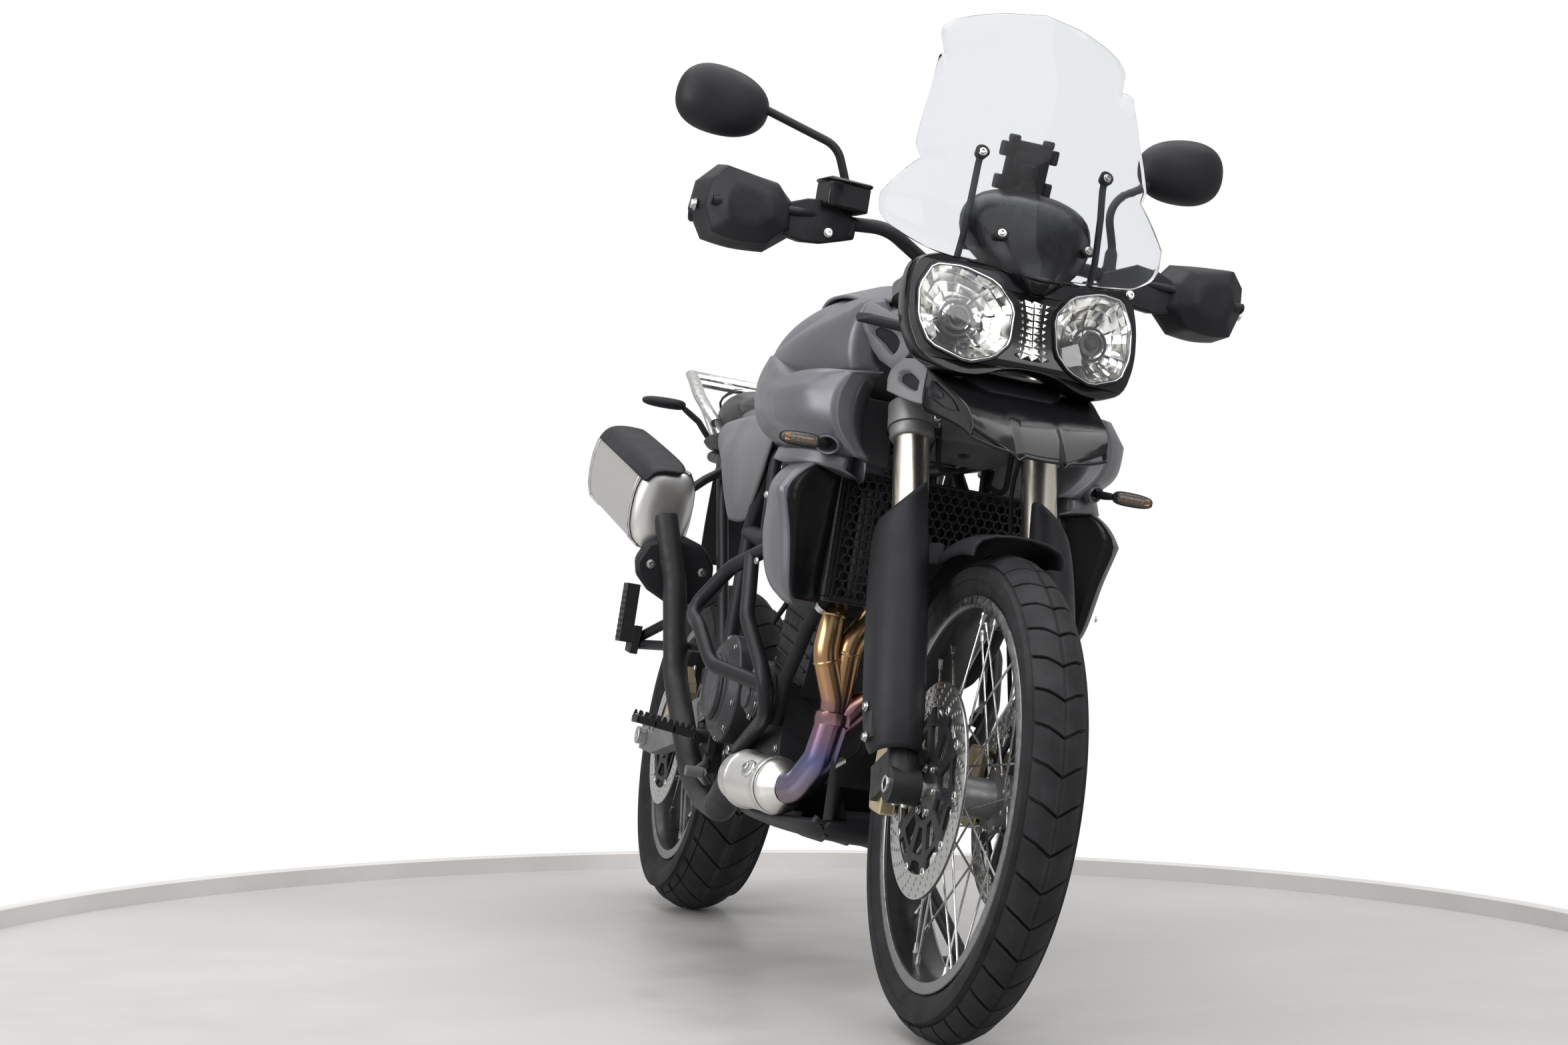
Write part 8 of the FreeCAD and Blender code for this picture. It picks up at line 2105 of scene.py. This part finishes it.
# Rider pegs with their teeth, heel guards and the ribs of the pillion pegs' rubbers
def make_pegs():
    pegs = Shape()
    teeth = []
    heels = Shape()
    ribs = []
    for side in (-1, 1):
        outward = V(side, 0, 0)
        for y in (150, 188):
            pegs.prism(sided(side, ((186, y, 346), (292, y, 358), (292, y + 6, 358), (186, y + 6, 346))),
                       V(0, 0, 14))
        for x in (186, 222, 256, 288):
            z = 346 + 12 * (x - 186) / 106
            pegs.prism(sided(side, ((x, 150, z), (x + 5, 150, z), (x + 5, 194, z), (x, 194, z))), V(0, 0, 12))
        pegs.rod(V(side * PLATE_SIDE, 172, 352), V(side * 190, 172, 352), 12, 24, 2)
        pegs.prism([V(side * PLATE_SIDE, y, z) for y, z in ((145, 326), (199, 326), (193, 380), (151, 380))],
                   outward * 14)
        for t in (k / 9 for k in range(10)):
            teeth += [(V(side * (190 + 98 * t), y, 360 + 12 * t), UPWARD) for y in (153, 191)]
        heels.prism([V(side * 162, y, z) for y, z in ((158, 390), (236, 372), (262, 400), (256, 440), (206, 474),
                                                      (170, 468))], outward * 3.4)
        heels.rod(V(side * PLATE_SIDE, 214, 424), V(side * 163, 214, 424), 8, 20)
        ribs += [(V(side * 268, 545, 502 + 10.6 * k), outward, math.pi / 2, ONE) for k in range(9)]
    piece("rider_peg_frames", pegs, "frame", cast_black, ["rider_pegs"], bevel=1.2)
    tooth = Shape().prism([V(-3.6, -3, 0), V(3.6, -3, 0), V(0.9, -3, 8), V(-0.9, -3, 8)], V(0, 6, 0))
    copies("rider_peg_teeth", tooth, teeth, "frame", cast_black)
    piece("heel_guards", heels, "frame", alloy_silver, bevel=1.4)
    bar = Shape()
    soft_box(bar, V(0, 0, 0), (2.2, 17, 3.0))
    copies("pillion_peg_ribs", bar, ribs, "frame", rubber)


make_pegs()


# Bash plate with its bolts and ribs
def make_bash_plate():
    bolts("bash_plate_bolts", "frame", [(V(side * 75, y, z), V(0, -0.1, -1)) for side in (-1, 1)
                                        for y, z in ((-310, 235), (-110, 238))], 7, 5)
    ribs = Shape()
    for x in (-84, -42, 0, 42, 84):
        ribs.tube([V(x, -392, 244), V(x, -366, 234.5), V(x, -260, 233.5), V(x, -80, 239)], 4.5, 10)
    piece("bash_plate_ribs", ribs, "frame", frame_black)
    rows = []
    for y, half, low, right, left in (
            (-396, 84, 286, 262, 288), (-406, 92, 262, 263, 290), (-402, 100, 250, 264, 291),
            (-390, 108, 241, 264, 292), (-366, 118, 236, 262, 292), (-300, 132, 235, 258, 290),
            (-200, 148, 235.5, 256, 282), (-120, 152, 237, 266, 272), (-66, 148, 241, 262, 262)):
        top = max(low, right)
        lift = min(right, low + 16)
        rows.append([V(x, y, z) for x, z in (
            (-half + 5, top), (-half - 2, top - 5), (-half, lift), (-half + 18, low), (0, low - 1),
            (half - 18, low), (half, lift), (half + 2, left - 5), (half - 5, left))])
    piece("bash_plate_shell", Shape().grid(rows), "frame", frame_black, ["bash_plate"], wall=3.5,
          smooth=1)


def make_stand_spring():
    a, b = V(176, 40, 292), V(206, 14, 190)
    way = (b - a).normalized()
    side = way.cross(UPWARD).normalized()
    up = side.cross(way)
    steps = 220
    coil = []
    for k in range(steps + 1):
        turn = k * 0.62
        out = side * math.cos(turn) + up * math.sin(turn)
        coil.append(a + way * (14 + ((b - a).length - 28) * k / steps) + out * 6.4)
    piece("stand_spring", Shape().tube([a] + coil + [b], 1.5, 6), "side_stand", steel)


make_bash_plate()
make_stand_spring()


# Round floor with its kerb, and the lights
FLOOR_CENTRE = (-174, 13)
FLOOR_RADIUS = 1510
KERB_HEIGHT = 36
KERB_WIDTH = 26
FLOOR_STEPS = 160


def make_stage(name, rows, finish):
    """Turned surface of the set, from rows of (radius, height)."""
    points = [V(FLOOR_CENTRE[0] + radius * math.cos(a), FLOOR_CENTRE[1] + radius * math.sin(a), height) * MM
              for radius, height in rows for a in around(FLOOR_STEPS)]
    faces = []
    for i in range(0, len(points) - FLOOR_STEPS, FLOOR_STEPS):
        for k in range(FLOOR_STEPS):
            j = (k + 1) % FLOOR_STEPS
            faces.append((i + k, i + FLOOR_STEPS + k, i + FLOOR_STEPS + j, i + j))
    if name == "floor":
        faces.append(tuple(range(FLOOR_STEPS)))
    mesh = bpy.data.meshes.new(name)
    mesh.from_pydata(points, [], faces)
    mesh.shade_smooth()
    mesh.set_sharp_from_angle(angle=math.radians(40))
    obj = bpy.data.objects.new(name, mesh)
    bpy.context.collection.objects.link(obj)
    mesh.materials.append(finish.mat)


floor_grey = Finish("floor_grey", (0.42, 0.41, 0.4), 0.4)
floor_grey.shade(floor_grey.noise(1.1, 6), 0.9, 1.06)
floor_grey.rough(floor_grey.noise(5, 5), 0.26, 0.5)
floor_grey.bump(floor_grey.noise(60, 5), 0.08, 0.0008)
kerb_grey = Finish("kerb_grey", (0.54, 0.525, 0.515), 0.55)
kerb_grey.shade(kerb_grey.noise(6), 0.94, 1.04)
make_stage("floor", ((0.5, 0), (400, 0), (900, 0), (1300, 0), (FLOOR_RADIUS, 0)), floor_grey)
make_stage("kerb", ((FLOOR_RADIUS, 0), (FLOOR_RADIUS, KERB_HEIGHT - 3), (FLOOR_RADIUS + 3, KERB_HEIGHT),
                    (FLOOR_RADIUS + KERB_WIDTH, KERB_HEIGHT), (FLOOR_RADIUS + KERB_WIDTH, 0)), kerb_grey)


def make_light(name, place, target, size, energy):
    data = bpy.data.lights.new(name, "AREA")
    data.shape = "RECTANGLE"
    data.size, data.size_y = size
    data.energy = energy
    lamp = bpy.data.objects.new(name, data)
    lamp.location = place
    lamp.rotation_euler = (Vector(target) - Vector(place)).to_track_quat("-Z", "Y").to_euler()
    bpy.context.collection.objects.link(lamp)


make_light("overhead", (-0.3, -0.4, 4.2), (0, 0, 0.5), (5.5, 6.5), 300)
make_light("left_side", (-4.6, -1.6, 2.3), (0, 0, 0.7), (3.2, 2.6), 150)
make_light("front", (1.6, -5.2, 2.6), (0, -0.4, 0.7), (2.6, 2.2), 90)

# Air: white to the camera and through glass, dimmer as a light
world = bpy.data.worlds.new("studio")
bpy.context.scene.world = world
world.use_nodes = True
tree = world.node_tree
air = tree.nodes["Background"]
air.inputs["Color"].default_value = (1, 1, 1, 1)
ray = tree.nodes.new("ShaderNodeLightPath")
seen = tree.nodes.new("ShaderNodeMath")
seen.operation = "MAXIMUM"
tree.links.new(ray.outputs["Is Camera Ray"], seen.inputs[0])
tree.links.new(ray.outputs["Is Transmission Ray"], seen.inputs[1])
power = tree.nodes.new("ShaderNodeMapRange")
power.inputs["To Min"].default_value = 0.55
power.inputs["To Max"].default_value = 1.0
tree.links.new(seen.outputs[0], power.inputs["Value"])
tree.links.new(power.outputs["Result"], air.inputs["Strength"])
